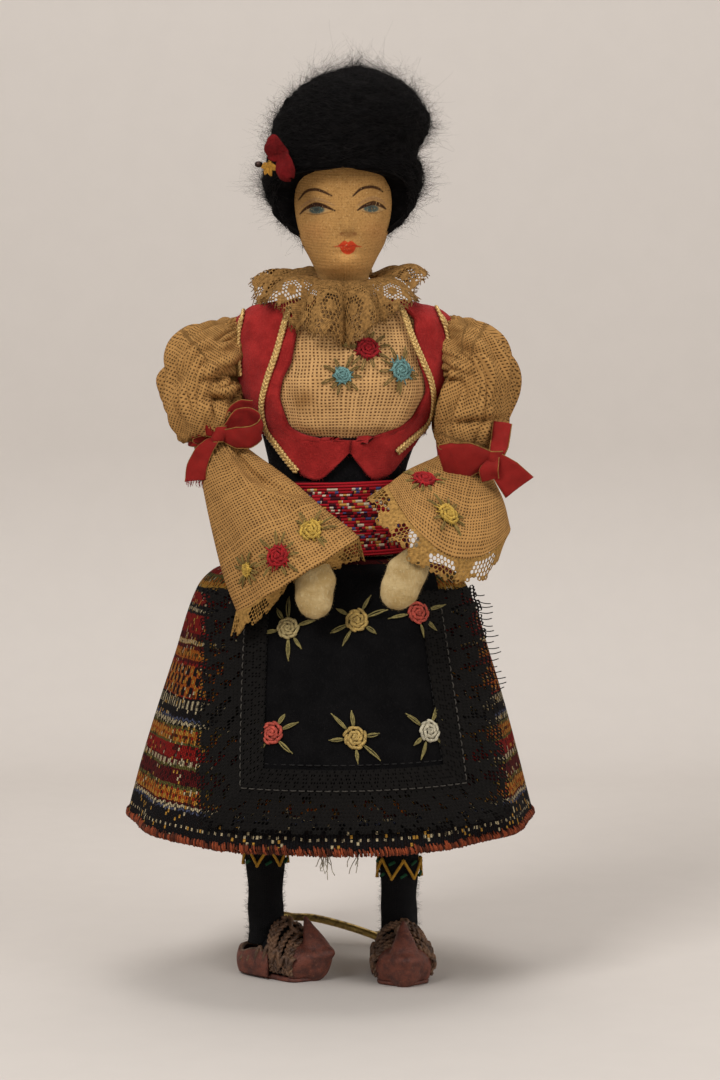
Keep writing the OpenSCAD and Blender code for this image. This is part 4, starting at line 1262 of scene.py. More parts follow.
def lace(stuff: Stuff, surface: Callable[[Points, Points], Points], long: float, wide: float, cell: float,
         hole: Callable[[Points, Points], Points], edge: Callable[[Points], Points] | None = None,
         wrap: bool = False, tint: Any = (1, 1, 1), seed: int = 1) -> None:
    """Add net of six-sided meshes, each with its own opening.

    Args:
        stuff: what to add to.
        surface: points for distances along and across the lace.
        long: length of the lace.
        wide: width of the lace.
        cell: distance between meshes.
        hole: open share of a mesh at a place, and none below a twelfth.
        edge: width of the lace at a place along it.
        wrap: whether the lace closes on itself.
        tint: thread colour.
        seed: picks the unevenness.
    """
    rng = np.random.default_rng(seed)
    columns = int(round(long / cell))
    pitch = long / columns
    radius = pitch / math.sqrt(3)
    rows = int(wide / (1.5 * radius))
    r, i = np.meshgrid(np.arange(rows), np.arange(columns), indexing="ij")
    middle = join((i + 0.5 * (r % 2)) * pitch, (r * 1.5 + 1) * radius).reshape(-1, 2)
    if not wrap:
        middle = middle[middle[:, 0] < long - 0.4 * pitch]
    if edge is not None:
        middle = middle[middle[:, 1] < edge(middle[:, 0])]
    turn = np.radians(np.arange(6) * 60 + 30)
    star = join(np.cos(turn), np.sin(turn))
    corner = middle[:, None] + radius * star
    share = hole(middle[:, 0], middle[:, 1]) * rng.uniform(0.85, 1.1, len(middle))
    key = np.round(corner / (radius * 0.25)).astype(int)
    if wrap:
        key[..., 0] %= int(round(long / (radius * 0.25)))
    _, first, place = np.unique(key.reshape(-1, 2), axis=0, return_index=True, return_inverse=True)
    net = corner.reshape(-1, 2)[first]
    net = net + rng.normal(0, 0.06 * radius, net.shape)
    place = place.reshape(-1, 6)
    open_ = share > 1 / 12
    ring = (middle[:, None] + radius * np.minimum(share, 0.86)[:, None, None] * star)[open_]
    flat = np.concatenate([net, ring.reshape(-1, 2)])
    inner = len(net) + np.arange(ring.shape[0] * 6).reshape(-1, 6)
    outer = place[open_]
    faces = join(outer, np.roll(outer, -1, 1), np.roll(inner, -1, 1), inner).reshape(-1, 4)
    start = stuff.count
    stuff.add(surface(flat[:, 0], flat[:, 1]), faces, flat[faces], tint)
    if (~open_).any():
        stuff.faces(place[~open_] + start, flat[place[~open_]])


def plait(stuff: Stuff, path: Points, out: Points, wide: float,
          thick: float, turn: float, tint: Colour) -> None:
    """Add a flat plait of three strands along a path.

    Args:
        stuff: what to add to.
        path: closely spaced points.
        out: direction out of the cloth at each point.
        wide: width of the plait.
        thick: its thickness.
        turn: length in which a strand comes back to its place.
        tint: thread colour.
    """
    run = lengths(path)
    side = unit(np.cross(out, np.gradient(path, axis=0)))
    for k in range(3):
        phase = 2 * math.pi * (run / turn + k / 3)
        sway, rise = wide * 0.33 * np.sin(phase), thick * (0.5 + 0.3 * np.sin(2 * phase))
        strand = path + side * sway[:, None] + out * rise[:, None]
        shade = np.array(tint) * (0.9, 1.0, 1.08)[k]
        stuff.threads(strand, wide * 0.2, 7, shade, up=out[None])


def stitches(path: Points, out: Points, long: float, gap: float, rise: float) -> Points:
    """Running stitches along a path.

    Args:
        path: closely spaced points on the cloth.
        out: direction out of the cloth at each point.
        long: length of a stitch.
        gap: length of the cloth between two.
        rise: height of a stitch over the cloth.

    Returns:
        Six points for each stitch.
    """
    run = lengths(path)
    start = np.arange(0, run[-1] - long, long + gap)
    t = np.linspace(0, 1, 6)
    at = start[:, None] + t * long
    spot = np.stack([np.interp(at, run, path[:, c]) for c in range(3)], -1)
    lift = np.stack([np.interp(at, run, out[:, c]) for c in range(3)], -1)
    return spot + lift * (rise * np.sin(t * math.pi) - 0.1)[None, :, None]


def fuzz(stuff: Stuff, spots: Points, out: Points, long: float, thin: float, seed: int, lean: float = 0.7,
         tint: Any = (1, 1, 1)) -> None:
    """Add short loose fibres that stand out of a cloth.

    Args:
        stuff: what to add to.
        spots: where the fibres start.
        out: direction out of the cloth at each.
        long: mean length.
        thin: radius at the foot.
        seed: picks the fibres.
        lean: how far they lean over.
        tint: colour.
    """
    rng = np.random.default_rng(seed)
    n = len(spots)
    a = unit(out + lean * rng.normal(size=(n, 3)))
    b = unit(a + 0.9 * rng.normal(size=(n, 3)))
    size = long * rng.uniform(0.4, 1.5, (n, 1))
    paths = np.stack([spots - 0.1 * out, spots + a * size * 0.5, spots + (a + b) * size * 0.5], 1)
    stuff.threads(paths, thin * np.array([1, 0.8, 0.25]), 3, tint)


def pick(points: Points, out: Points, n: int, seed: int) -> tuple[Points, Points]:
    """Random places on a grid, between its points, and the directions out of it.

    Args:
        points: the grid.
        out: its normals.
        n: number of places.
        seed: picks the places.

    Returns:
        Places and directions.
    """
    rng = np.random.default_rng(seed)
    i = rng.integers(0, points.shape[0] - 1, n)
    j = rng.integers(0, points.shape[1] - 1, n)
    s, t = rng.uniform(size=(2, n, 1))
    spot = mix(mix(points[i, j], points[i, j + 1], s), mix(points[i + 1, j], points[i + 1, j + 1], s), t)
    return spot, out[i, j]


# Forms that the body and its clothes share


@dataclass(frozen=True)
class Figure:
    """Heights and sections of the doll; rows hold a height, a half width, a front and a back depth."""

    lean: float = 3.0
    twist: float = 8.0
    waist_z: float = 114.5
    bust_z: float = 159.0
    hem_z: float = 44.0
    skirt_long: float = 70.5
    torso: Rows = ((107, 15, 10.5, 10.5), (114.5, 16.5, 12.5, 12.5),
                   (134.5, 16.5, 13, 12.5), (144.3, 18.6, 14.3, 13), (152.9, 22.4, 16.1, 13.7),
                   (159, 25.1, 16.5, 14.5), (167, 26, 14.9, 14.5), (177.2, 26, 11.5, 11.5),
                   (180.9, 21.6, 10.3, 10.3), (182.8, 14, 9.1, 9.1), (184, 7.9, 7.3, 7.3))
    skirt: Rows = ((44, 56.5, 49), (65.5, 50.2, 42.1), (87, 43.6, 34.7),
                   (105.5, 37.5, 28), (110.5, 32.9, 24.9), (113, 24.5, 19), (114.5, 19.5, 15.5))

    @staticmethod
    def row(rows: Rows, z: Any, c: int) -> Points:
        """One column of a table of rows at heights z."""
        return lookup(z, [(r[0], r[c]) for r in rows])

    def body(self, a: Any, z: Any, off: Any = 0.0) -> Points:
        """Points round the torso at angles a and heights z, a distance outside it.

        Args:
            a: angles round it, from the front.
            z: heights.
            off: distance outside it.

        Returns:
            The points.
        """
        a, z, off = np.broadcast_arrays(a, z, off)
        c = cosines(a)
        middle = self.lean * np.clip((z - self.waist_z) / (self.bust_z - self.waist_z), 0, 1)
        deep = np.where(c > 0, self.row(self.torso, z, 2), self.row(self.torso, z, 3))
        return join(middle + (self.row(self.torso, z, 1) + off) * sines(a), -(deep + off) * c, z)

    def cone(self, a: Any, z: Any, off: Any = 0.0) -> Points:
        """Points on the skirt's cone without its folds.

        Args:
            a: angles round it, from the front.
            z: heights.
            off: distance outside it.

        Returns:
            The points, lower in front as the hem dips.
        """
        a, z, off = np.broadcast_arrays(a, z, off)
        dip = 3.0 * np.maximum(0, cosines(a)) * ((self.waist_z - z) / self.skirt_long) ** 2
        return join((self.row(self.skirt, z, 1) + off) * sines(a),
                    -(self.row(self.skirt, z, 2) + off) * cosines(a), z - dip)

    def front(self, x: Any, z: Any, off: Any = 0.0) -> Points:
        """Points in front of the skirt, at a distance x from the apron's middle line.

        Args:
            x: distances across.
            z: heights.
            off: distance outside it.

        Returns:
            The points.
        """
        wide = self.row(self.skirt, z, 1) + off
        a = np.degrees(np.arcsin(np.clip(x / wide, -0.97, 0.97))) + self.twist * wide / self.skirt[0][1]
        return self.cone(a, z, off)


def around(n: int) -> Points:
    """Angles of n columns round a form, starting at the back."""
    return 180 + 360 * np.arange(n) / n


def cloth_map(grid: Points, wrap: bool = False) -> Points:
    """Map in millimetres along the rows and up the columns of a grid of cloth.

    Args:
        grid: rows and columns of points.
        wrap: whether the last column joins the first.

    Returns:
        Map coordinates of the points.
    """
    closed = np.concatenate([grid, grid[:, :1]], 1) if wrap else grid
    across = np.linalg.norm(np.diff(closed, axis=1), axis=-1)
    up = np.linalg.norm(np.diff(closed, axis=0), axis=-1).mean(1)
    u = np.concatenate([np.zeros((len(grid), 1)), np.cumsum(across, 1)], 1)
    u = u - u[:, u.shape[1] // 2, None]
    v = np.concatenate([[0], np.cumsum(up)])
    return join(u, v[:, None])


def level_map(grid: Points, wrap: bool = False) -> Points:
    """Map whose upright threads keep their columns, with the mean length of the rows.

    Args:
        grid: rows and columns of points.
        wrap: whether the last column joins the first.

    Returns:
        Map coordinates of the points.
    """
    m = cloth_map(grid, wrap)
    u = np.linspace(0, 1, m.shape[1]) - 0.5
    wide = (m[:, -1, 0] - m[:, 0, 0]).max()
    return join(u * wide, m[..., 1])


@dataclass
class Torso:
    """The stuffed body, its dowel and wires, and all that it wears above the waist."""

    figure: Figure
    body_name: str = "trunk"
    vest_thick: float = 1.2
    vest_out: float = 3.2
    point_z: float = 135.0
    notch: float = 7.5
    neck_low: float = 145.9
    neck_top: float = 182.8
    braid_wide: float = 1.95
    collar_wide: float = 17.0
    collar_long: float = 190.0
    red: Felt = Felt("vest_felt", (0.34, 0.020, 0.018), (0.23, 0.011, 0.010), (0.43, 0.036, 0.028))
    # The gauze's second colour is the painted shade in its holes.
    gauze: Gauze = Gauze("blouse_gauze", (0.50, 0.285, 0.115), (0.12, 0.055, 0.02), spot=(-7.6, -19, 156))

    def build(self, nodes: dict[str, Piece]) -> None:
        """Make every piece, inside first.

        Args:
            nodes: the frame's objects by name.
        """
        self.stuffing()
        self.core(nodes)
        self.blouse()
        self.vest()
        self.braids()
        self.collar()
        self.waist()

    def stuffing(self) -> None:
        """The stuffed torso and the hip pad."""
        f = self.figure
        linen = Cotton("body_linen", (0.55, 0.42, 0.26)).make()
        z = np.linspace(107, 184, 60)[:, None]
        grid = f.body(around(64), z)
        stuff = Stuff()
        stuff.grid(grid, True, level_map(grid, True), ends=True)
        piece = dress(stuff.build("stuffed_torso", linen), self.body_name, "body_cloth", "torso")
        low, high = (np.array(c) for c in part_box("hip_gusset"))
        bpy.ops.object.select_all(action="DESELECT")
        bpy.ops.mesh.primitive_cube_add(size=1, location=(low + high) / 2, scale=high - low)
        pad = bpy.context.object
        bpy.ops.object.transform_apply(location=True, rotation=True, scale=True)
        bpy.ops.object.mode_set(mode="EDIT")
        bpy.ops.mesh.select_all(action="SELECT")
        bpy.ops.mesh.bevel(offset=3.5 * MM, segments=4, affect="EDGES")
        bpy.ops.object.mode_set(mode="OBJECT")
        apply(pad, "SUBSURF", levels=1, render_levels=1)
        bpy.ops.object.shade_smooth()
        pad.name = "hip_pad"
        pad.data.uv_layers[0].name = "map"
        pad.data.materials.append(linen)
        dress(pad, self.body_name, "body_cloth", "hip_gusset")

    def core(self, nodes: dict[str, Piece]) -> None:
        """Finishes of the dowel and the wires inside the body.

        Args:
            nodes: the frame's objects by name.
        """
        wood = Wood("dowel_wood").make()
        wire = Wire("armature_wire", (0.55, 0.40, 0.16), (0.16, 0.11, 0.06)).make()
        for name, finish in (("neck_dowel", wood), ("shoulder_wire", wire), ("hip_wire", wire),
                             ("right_elbow_pin", wire), ("left_elbow_pin", wire)):
            nodes[name].data.materials.clear()
            nodes[name].data.materials.append(finish)

    def neck_edge(self, z: Any) -> Points:
        """Angle from the vest's middle line to its neck edge at a height.

        Args:
            z: heights.

        Returns:
            Angles in degrees.
        """
        scoop = np.clip((z - self.neck_low) / 4.0, 0, 1)
        side = lookup(z, [(self.neck_low, 42), (156, 46), (161, 43), (167, 36),
                          (177, 33), (self.neck_top, 33)])
        return 0.3 + (side - 0.3) * np.sqrt(1 - (1 - scoop) ** 2)

    def blouse(self) -> None:
        """The gauze shirt, which fills out in the vest's neck, with its flowers."""
        f = self.figure
        finish = self.gauze.make()
        a = around(140)
        z = np.linspace(115.5, 183.2, 100)[:, None]
        off_middle = np.abs((a - f.twist + 180) % 360 - 180)
        inside = smooth(0, 16, self.neck_edge(z) - off_middle)
        slack = inside * smooth(146.2, 149.5, z) * (1 - smooth(166, 180, z))
        grid = f.body(a, z, 0.75)
        near = smooth(-14, 2, self.neck_edge(z) - off_middle)
        near = near * smooth(144.5, 146.5, z) * (1 - smooth(172, 182, z))
        grid = f.body(a, z, 0.75 + 0.95 * near + 2.1 * slack + 0.35 * ripple(grid, 14, 5) * slack)
        piece = cloth("gauze_blouse", finish, grid, GAUZE_THICK, level_map(grid, True), True)
        dress(piece, self.body_name, "gauze", "blouse")
        cut(piece, 130, 68, Hold.STRETCHED)
        flowers = Stuff()
        out = normals(grid, True)
        leaf, red, blue = (0.23, 0.155, 0.045), (0.34, 0.007, 0.012), (0.16, 0.31, 0.29)
        spots = ((9.8, 169.6, 3.6, red, 1), (2.6, 162.6, 2.6, blue, 2), (17.8, 163.8, 3.3, blue, 3))
        for x, high, size, colour, seed in spots:
            needle(flowers, grid, out, x, high, seed).blossom(size, colour, leaf)
        dress(flowers.build("blouse_flowers", Thread("floss", spread=0.5).make()), self.body_name, "gauze")

    def vest_grid(self, off: float, columns: int = 170) -> Points:
        """Points of the vest from its points up to the neck, and from one front edge round to the other.

        Args:
            off: distance outside the torso.
            columns: number of columns.

        Returns:
            Rows and columns of points.
        """
        f = self.figure
        middle = mix(self.neck_low, f.bust_z, 0.5)
        low_rows, bib_rows, top_rows = 16, 36, 52
        t, s = np.linspace(0, 1, low_rows), np.linspace(0.02, 1, bib_rows)
        top = np.linspace(middle + 0.6, self.neck_top, top_rows)
        rows = np.concatenate([np.full(low_rows, 0.3), self.neck_edge(mix(self.neck_low, middle, s)),
                               self.neck_edge(top)])[:, None]
        a = rows + (360 - 2 * rows) * np.linspace(0, 1, columns)
        side = (a + 180) % 360 - 180
        low = lookup(np.abs(side), [(0, self.point_z + self.notch), (7, self.point_z + 4.6),
                                    (24, self.point_z), (33, self.point_z + 0.8),
                                    (75, self.point_z + 12), (181, self.point_z + 12)])
        bib = np.maximum(self.neck_low - 0.4 + 3.6 * smooth(5, 50, side), low + 1)
        z = np.concatenate([mix(low[:low_rows], bib[:low_rows], t[:, None]),
                            mix(bib[low_rows:-top_rows], middle, s[:, None]),
                            top[:, None] + 0 * a[-top_rows:]])
        return f.body(a + f.twist, z, off)

    def vest(self) -> None:
        """The felt vest."""
        finish = self.red.make()
        grid = self.vest_grid(self.vest_out)
        grid = grid + normals(grid) * 0.18 * ripple(grid, 7, 11)[..., None]
        piece = cloth("felt_vest", finish, grid, self.vest_thick, cloth_map(grid))
        dress(piece, self.body_name, "vest_felt", "vest")
        cut(piece, 130, 45, Hold.STRETCHED, area=4700)
        hairs = Stuff()
        fuzz(hairs, *pick(grid, normals(grid), 2000, 12), 0.5, 0.025, 13, 1.1)
        edge = np.concatenate([grid[:, 0], grid[:, -1], grid[0]])
        fuzz(hairs, np.repeat(edge, 3, 0), np.repeat(unit(edge - (self.figure.lean, 0, 160)), 3, 0),
             0.7, 0.03, 14, 1.4)
        dress(hairs.build("vest_fibres", finish), self.body_name, "vest_felt")

    def strip(self, places: Sequence[tuple[float, float]], n: int) -> tuple[Points, Points]:
        """Path over the vest through places given as x and height, and the directions out of it.

        Args:
            places: places along the path.
            n: number of points.

        Returns:
            The path and its directions.
        """
        f = self.figure
        x, z = curve(places, n).T
        middle = f.lean * np.clip((z - f.waist_z) / (f.bust_z - f.waist_z), 0, 1)
        off = self.vest_out + 0.2
        a = np.degrees(np.arcsin(np.clip((x - middle) / (f.row(f.torso, z, 1) + off), -0.98, 0.98)))
        path = f.body(a, z, off)
        return path, unit(f.body(a, z, off + 1) - path)

    def braids(self) -> None:
        """Flat gilt plaits along the neck edge and the armholes."""
        gilt = Thread("gilt_braid", rough=0.34, metallic=0.45, spread=0.35, gloss=0.5).make()
        front = {Side.RIGHT: ((-9.0, 137.2), (-11.6, 140.2), (-14.4, 143.9), (-17.3, 148.1), (-18.4, 154.4),
                              (-17.1, 160.8), (-14.4, 168.7), (-12.2, 176.6), (-10.6, 181.4)),
                 Side.LEFT: ((17.2, 142.4), (21.0, 145.6), (25.4, 149.7), (26.8, 155.2),
                             (26.2, 160.8), (24.1, 166.0), (21.4, 172.1), (19.3, 177.9), (17.6, 181.6))}
        arm = {Side.RIGHT: ((-24.2, 162.5), (-24.6, 168), (-24.6, 174), (-23.4, 179.6)),
               Side.LEFT: ((31.3, 166.5), (31.0, 171), (30.0, 176), (27.6, 180.6))}
        for side in Side:
            for kind, places, n in (("front", front[side], 360), ("arm", arm[side], 130)):
                stuff = Stuff()
                path, out = self.strip(places, n)
                plait(stuff, path, out, self.braid_wide, 0.6, 3.2, (0.76, 0.49, 0.17))
                piece = stuff.build(f"{side.word}_{kind}_braid", gilt)
                dress(piece, self.body_name, "gold_braid", f"braid_{kind}_{side.word}")

    def ruff(self, u: Points, v: Points) -> Points:
        """Points of the gathered collar at distances along and across its lace.

        Args:
            u: distances along.
            v: distances across.

        Returns:
            The points.
        """
        f = self.figure
        a = u / self.collar_long * 360
        a = (a + 180) % 360 - 180
        line = a[:, None]
        w = np.clip(v / self.collar_wide, 0, 1.05)
        far = lookup(a, [(-180, 17), (-120, 20.5), (-88, 23.7), (-60, 22.8),
                         (-35, 21.8), (0, 20.8), (30, 20.8), (55, 21), (82, 20.6), (115, 19.5), (180, 17)])
        low = lookup(a, [(-180, 189), (-120, 187), (-88, 183.4), (-70, 182), (-55, 180.2),
                         (-40, 176.8), (-25, 173.6), (-10, 171.2), (2, 170.8), (12, 172), (22, 174.6),
                         (32, 177.4), (54, 180.4), (70, 183.4), (82, 186.2), (120, 188), (180, 188.5)])
        low = low + 0.8 * ripple(line, 26, 9)
        front = np.maximum(0, cosines(a - f.twist)) ** 1.5
        reach = mix(8.9, far, w ** mix(0.9, 0.62, front))
        z = mix(mix(188.9, 187.3, front), low, w ** 1.5)
        z = z + mix(1.6, 0.6, front) * np.sin(np.clip(w, 0, 1) * math.pi)
        phase = 10 * a + 75 * ripple(line, 80, 3)
        deep = (0.5 + 2.6 * smooth(0.05, 0.9, w)) * (1 + 0.4 * ripple(line, 50, 6))
        gather = (np.abs(sines(phase / 2)) * 2 - 0.8) * deep + 0.5 * sines(2.3 * phase) * w
        out = join(sines(a) * (0.35 + 0.5 * front), -cosines(a) * (0.35 + 0.6 * front), 0.8 - 0.62 * front)
        sway = 0.8 * ripple(line, 25, 8) * w
        return (join(f.lean + reach * sines(a + sway), -reach * 0.93 * cosines(a + sway), z)
                + out * gather[:, None])

    def collar(self) -> None:
        """The gathered lace collar: cloth work, open meshes and a scalloped edge."""
        ecru = Thread("collar_lace", rough=0.95, spread=0.6, twist=0.9, sheen=0.0, gloss=0.06).make()
        wide = self.collar_wide
        rng = np.random.default_rng(41)

        def hole(u: Points, v: Points) -> Points:
            """Open meshes between rounds of cloth work.

            Args:
                u: distances along the lace.
                v: distances across it.

            Returns:
                Size of the hole in each mesh, 0 for none.
            """
            round_ = np.hypot((u % 9.5) - 4.75, (v - wide * 0.62) * 1.1)
            net = np.where((round_ < 1.5) | (np.abs(round_ - 4.3) < 0.75),
                           0.0, np.where(round_ < 4, 0.74, 0.5))
            net = np.where(v > wide - 3.0, np.where(np.sin(u * 1.32) > -0.1, 0.74, 0.1), net)
            return np.where(v < wide * 0.28, 0.42 * (np.sin(u * 2.1) > 0.3), net)

        stuff = Stuff()
        lace(stuff, self.ruff, self.collar_long, wide, 1.05,
             hole, scallops(wide, 1.1, 4.75), True, (0.37, 0.193, 0.06), 4)
        n = 420
        u = rng.uniform(0, self.collar_long, n)
        foot = self.ruff(u, np.full(n, wide - 1.0))
        tip = (self.ruff(u + rng.normal(0, 0.9, n), wide + rng.uniform(0, 0.9, n))
               + rng.normal(0, 0.3, (n, 3)))
        frayed = np.stack([foot, mix(foot, tip, 0.5) + rng.normal(0, 0.2, (n, 3)), tip], 1)
        stuff.threads(frayed, 0.07, 3, (0.38, 0.20, 0.065))
        piece = thicken(stuff.build("lace_ruff", ecru), LACE_THICK)
        dress(piece, self.body_name, "collar_lace", "lace_collar")
        cut(piece, self.collar_long, wide, Hold.GATHERED, area=2300)

    def waist(self) -> None:
        """The black waistband and the woven sash."""
        f = self.figure
        z = np.linspace(115.1, 146.5, 40)[:, None]
        grid = f.body(around(120), z, 1.65)
        black = Felt("waistband_cloth", (0.006, 0.005, 0.006),
                     (0.003, 0.003, 0.003), (0.015, 0.013, 0.013), 0.5, 0.0)
        piece = cloth("waist_band", black.make(), grid, 0.7, level_map(grid, True), True)
        dress(piece, self.body_name, "waistband", "waistband")
        cut(piece, 105, 31, Hold.STRETCHED)
        t = np.linspace(0, 1, 44)[:, None]
        a = around(160)
        wrinkle = 0.35 * np.sin(t * 21 + 1.5 * sines(a * 2)) + 0.3 * sines(a * 3) * t
        grid = f.body(a, 114.6 + t * 20 + 0.6 * sines(a), 4.1 + wrinkle)
        piece = cloth("woven_sash", Belt("sash_weave", 20).make(),
                      grid, 1.0, join(np.linspace(0, 132, 161), t * 20), True)
        dress(piece, self.body_name, "sash", "sash")
        cut(piece, 112, 21, Hold.STRETCHED)


@dataclass
class Head:
    """The moulded head under its gauze, its painted face, the hair and the flower in it."""

    figure: Figure
    body_name: str = "head"
    skin: Colour = (0.48, 0.255, 0.082)
    rows: Rows = ((184.3, 7.3, 6.9, 7.3), (187, 6.8, 6.5, 7.4),
                  (189.2, 6.9, 8.8, 8.2), (191.2, 7.7, 11.1, 9.4),
                  (193.9, 9.0, 12.5, 10.6), (198, 11.1, 13.3, 12.9), (204.1, 12.8, 13.7, 14.8),
                  (210.1, 13.6, 13.6, 15.6), (217, 13.6, 13.1, 15.6), (223.9, 12.3, 11.6, 14),
                  (228.8, 9.1, 8.4, 10.5), (231.2, 4.6, 4.2, 5.3), (232, 0.8, 0.8, 0.8))
    hair_rows: Rows = ((200, 13.2, 11.6, 17), (206, 18.8, 12.8, 19),
                       (211, 21.2, 15.1, 21), (215.5, 22.2, 18, 22.5),
                       (222, 21.0, 19.6, 23), (229.5, 21.6, 19.4, 21.6), (236.8, 17.4, 16.6, 17.8),
                       (241.4, 10.8, 10.4, 11.3), (243.4, 4.6, 4.4, 4.8), (244, 0.5, 0.5, 0.5))
    brows: tuple = (((-8.75, 209.1), (-6.75, 211.1), (-4.33, 211.5), (-2.3, 210.9), (0.1, 209.7)),
                    ((5.7, 209.7), (7.7, 211.5), (10.2, 212.2), (12.2, 211.9), (13.5, 211.1)))
    lids: tuple = (((-8.4, 205.4), (-6.75, 206.7), (-4.3, 207.6), (-1.9, 207.1), (0.9, 205.8)),
                   ((6.9, 206.0), (8.5, 207.1), (11.0, 208.0), (13.0, 207.5), (14.3, 206.7)))
    eyes: tuple = ((-3.9, 206.2), (10.4, 206.6))
    nostrils: tuple = ((2.7, 199.8), (6.1, 199.8))
    mouth: tuple = (4.3, 196.5)

    def build(self) -> None:
        """Make every piece."""
        self.face()
        self.hair()
        self.flower()

    def relief(self, x: Points, z: Points) -> Points:
        """How far the mask stands out at a place seen from the front.

        Args:
            x: places across.
            z: heights.

        Returns:
            Distances to the front.
        """

        def bump(at: Sequence[float], wide: float, high: float) -> Points:
            """Soft rise about a place."""
            return np.exp(-(((x - at[0]) / wide) ** 2) - ((z - at[1]) / high) ** 2)

        nose = 1.5 * bump((4.4, 201.2), 1.7, 2.0) + 0.9 * bump((3.9, 204.6), 1.5, 3.4)
        lips = 0.55 * bump(self.mouth, 2.6, 1.5) - 0.3 * bump((4.3, 198.6), 1.2, 0.8)
        chin = 0.9 * bump((4.2, 192.4), 3.6, 1.9) - 0.35 * bump((4.3, 194.7), 3, 0.7)
        cheeks = 0.5 * (bump((-4.2, 200.5), 3.6, 3) + bump((11.5, 200.7), 3.4, 3))
        sockets = -0.7 * sum(bump(e, 3.4, 1.8) for e in self.eyes)
        return nose + lips + chin + cheeks + sockets

    @staticmethod
    def stroke(x: Points, z: Points, line: Any, wide: Sequence[float]) -> Points:
        """Share of paint at each place from a brush drawn along a line, wide at each of its samples.

        Args:
            x: places across.
            z: heights.
            line: points of the brush's path.
            wide: widths along it.

        Returns:
            Shares from 0 to 1.
        """
        path = curve(line, 60)
        far = np.hypot(x[..., None] - path[:, 0], z[..., None] - path[:, 1]) - evenly(wide, 60) / 2
        return 1 - smooth(-0.06, 0.16, far.min(-1))

    def paint(self, p: Points) -> Points:
        """Colour of each point of the face.

        Args:
            p: points of the head.

        Returns:
            One colour per point.
        """
        x, z = p[..., 0], p[..., 2]
        tint = np.broadcast_to(np.array(self.skin), p.shape).copy()

        def coat(share: Points, colour: Colour) -> None:
            """Lay one colour over the face."""
            nonlocal tint
            tint = mix(tint, np.array(colour), np.clip(share, 0, 1)[..., None])

        # Painted light on the chin and the lower face.
        coat(0.5 * np.exp(-((x - 4.2) / 7) ** 2 - ((z - 192.5) / 4) ** 2), (0.76, 0.39, 0.125))
        ink, iris, white = (0.032, 0.011, 0.007), (0.055, 0.092, 0.085), (0.58, 0.40, 0.20)
        coat(0.25 * (np.exp(-((x + 4.5) / 3.4) ** 2 - ((z - 200.5) / 2.6) ** 2)
                     + np.exp(-((x - 11.5) / 3.2) ** 2 - ((z - 200.7) / 2.6) ** 2)), (0.52, 0.20, 0.07))
        for (ex, ez), lid, brow in zip(self.eyes, self.lids, self.brows):
            ball = np.hypot((x - ex) / 3.6, (z - ez) / 0.95)
            coat(0.4 * (1 - smooth(0.8, 1.1, ball)), white)
            coat(1 - smooth(0.75, 1.15, np.hypot((x - ex) / 2.15, (z - ez) / 1.1)), iris)
            coat(0.8 * (1 - smooth(0.6, 1.15, np.hypot((x - ex) / 0.75, (z - ez - 0.1) / 0.6))),
                 (0.035, 0.05, 0.05))
            coat(self.stroke(x, z, lid, [0.32, 0.7, 1.05, 0.85, 0.34]), ink)
            low = [(lid[0][0] + 0.7, ez - 0.55), (ex - 1.6, ez - 1.05),
                   (ex, ez - 1.25), (ex + 1.6, ez - 1.1), (lid[4][0] - 0.9, ez - 0.6)]
            coat(0.6 * self.stroke(x, z, low, [0.08, 0.2, 0.26, 0.2, 0.08]), (0.12, 0.06, 0.03))
            # Painted shade in the socket above each lid.
            coat(0.4 * self.stroke(x, z, np.array(lid) + (0, 1.3), [0.2, 0.7, 0.9, 0.7, 0.2]),
                 (0.28, 0.17, 0.10))
            coat(self.stroke(x, z, brow, [0.32, 0.62, 0.72, 0.66, 0.32]), ink)
        for at in self.nostrils:
            coat(0.75 * (1 - smooth(0.4, 1.2, np.hypot((x - at[0]) / 0.7, (z - at[1]) / 0.5))),
                 (0.24, 0.09, 0.03))
        # Painted shade under the nose.
        coat(0.3 * (1 - smooth(0.3, 1.2, np.hypot((x - 4.4) / 2.6, (z - 199.5) / 0.9))), (0.28, 0.13, 0.05))
        mx, mz = self.mouth
        side = np.clip(np.abs(x - mx) / 3.55, 0, 1)
        top = (mz + 0.1 + 1.25 * np.exp(-((np.abs(x - mx) - 0.95) / 1.25) ** 2) * np.sqrt(1 - side ** 2)
               + 0.25 * (1 - side))
        low = mz - 0.1 - 1.75 * np.sqrt(np.clip(1 - (side * 1.75) ** 2, 0, 1)) - 0.25 * (1 - side)
        lips = smooth(-0.12, 0.15, top - z) * smooth(-0.12, 0.15, z - low) * (np.abs(x - mx) < 3.55)
        coat(lips, (0.56, 0.045, 0.014))
        seam = [(mx - 3.0, mz + 0.05), (mx - 1.2, mz + 0.2),
                (mx, mz - 0.05), (mx + 1.2, mz + 0.2), (mx + 3.0, mz + 0.1)]
        coat(0.6 * self.stroke(x, z, seam, [0.1, 0.22, 0.25, 0.22, 0.1]), (0.22, 0.015, 0.01))
        return np.where((p[..., 1] < 1)[..., None], tint, self.skin)

    def face(self) -> None:
        """The head, with its mask and paint."""
        f = self.figure
        t = np.linspace(-1, 1, 280, endpoint=False)
        a = 180 * np.sign(t) * np.abs(t) ** 1.35
        z = np.concatenate([np.linspace(184.3, 190, 12), np.linspace(190.2, 217, 180),
                            np.linspace(217.5, 232, 36)])[:, None]
        c = cosines(a)
        deep = np.where(c > 0, f.row(self.rows, z, 2), f.row(self.rows, z, 3))
        wide = f.row(self.rows, z, 1)
        x, y = f.lean + wide * sines(a), -deep * c
        out = self.relief(x, z) * np.clip(c, 0, 1)
        grid = join(x + 0.15 * out * sines(a), y - out, z)
        stuff = Stuff()
        stuff.grid(grid, True, cloth_map(grid, True), self.paint(grid), ends=True)
        piece = stuff.build("painted_head", Painted("painted_gauze").make())
        dress(piece, self.body_name, "head_cloth", "head")

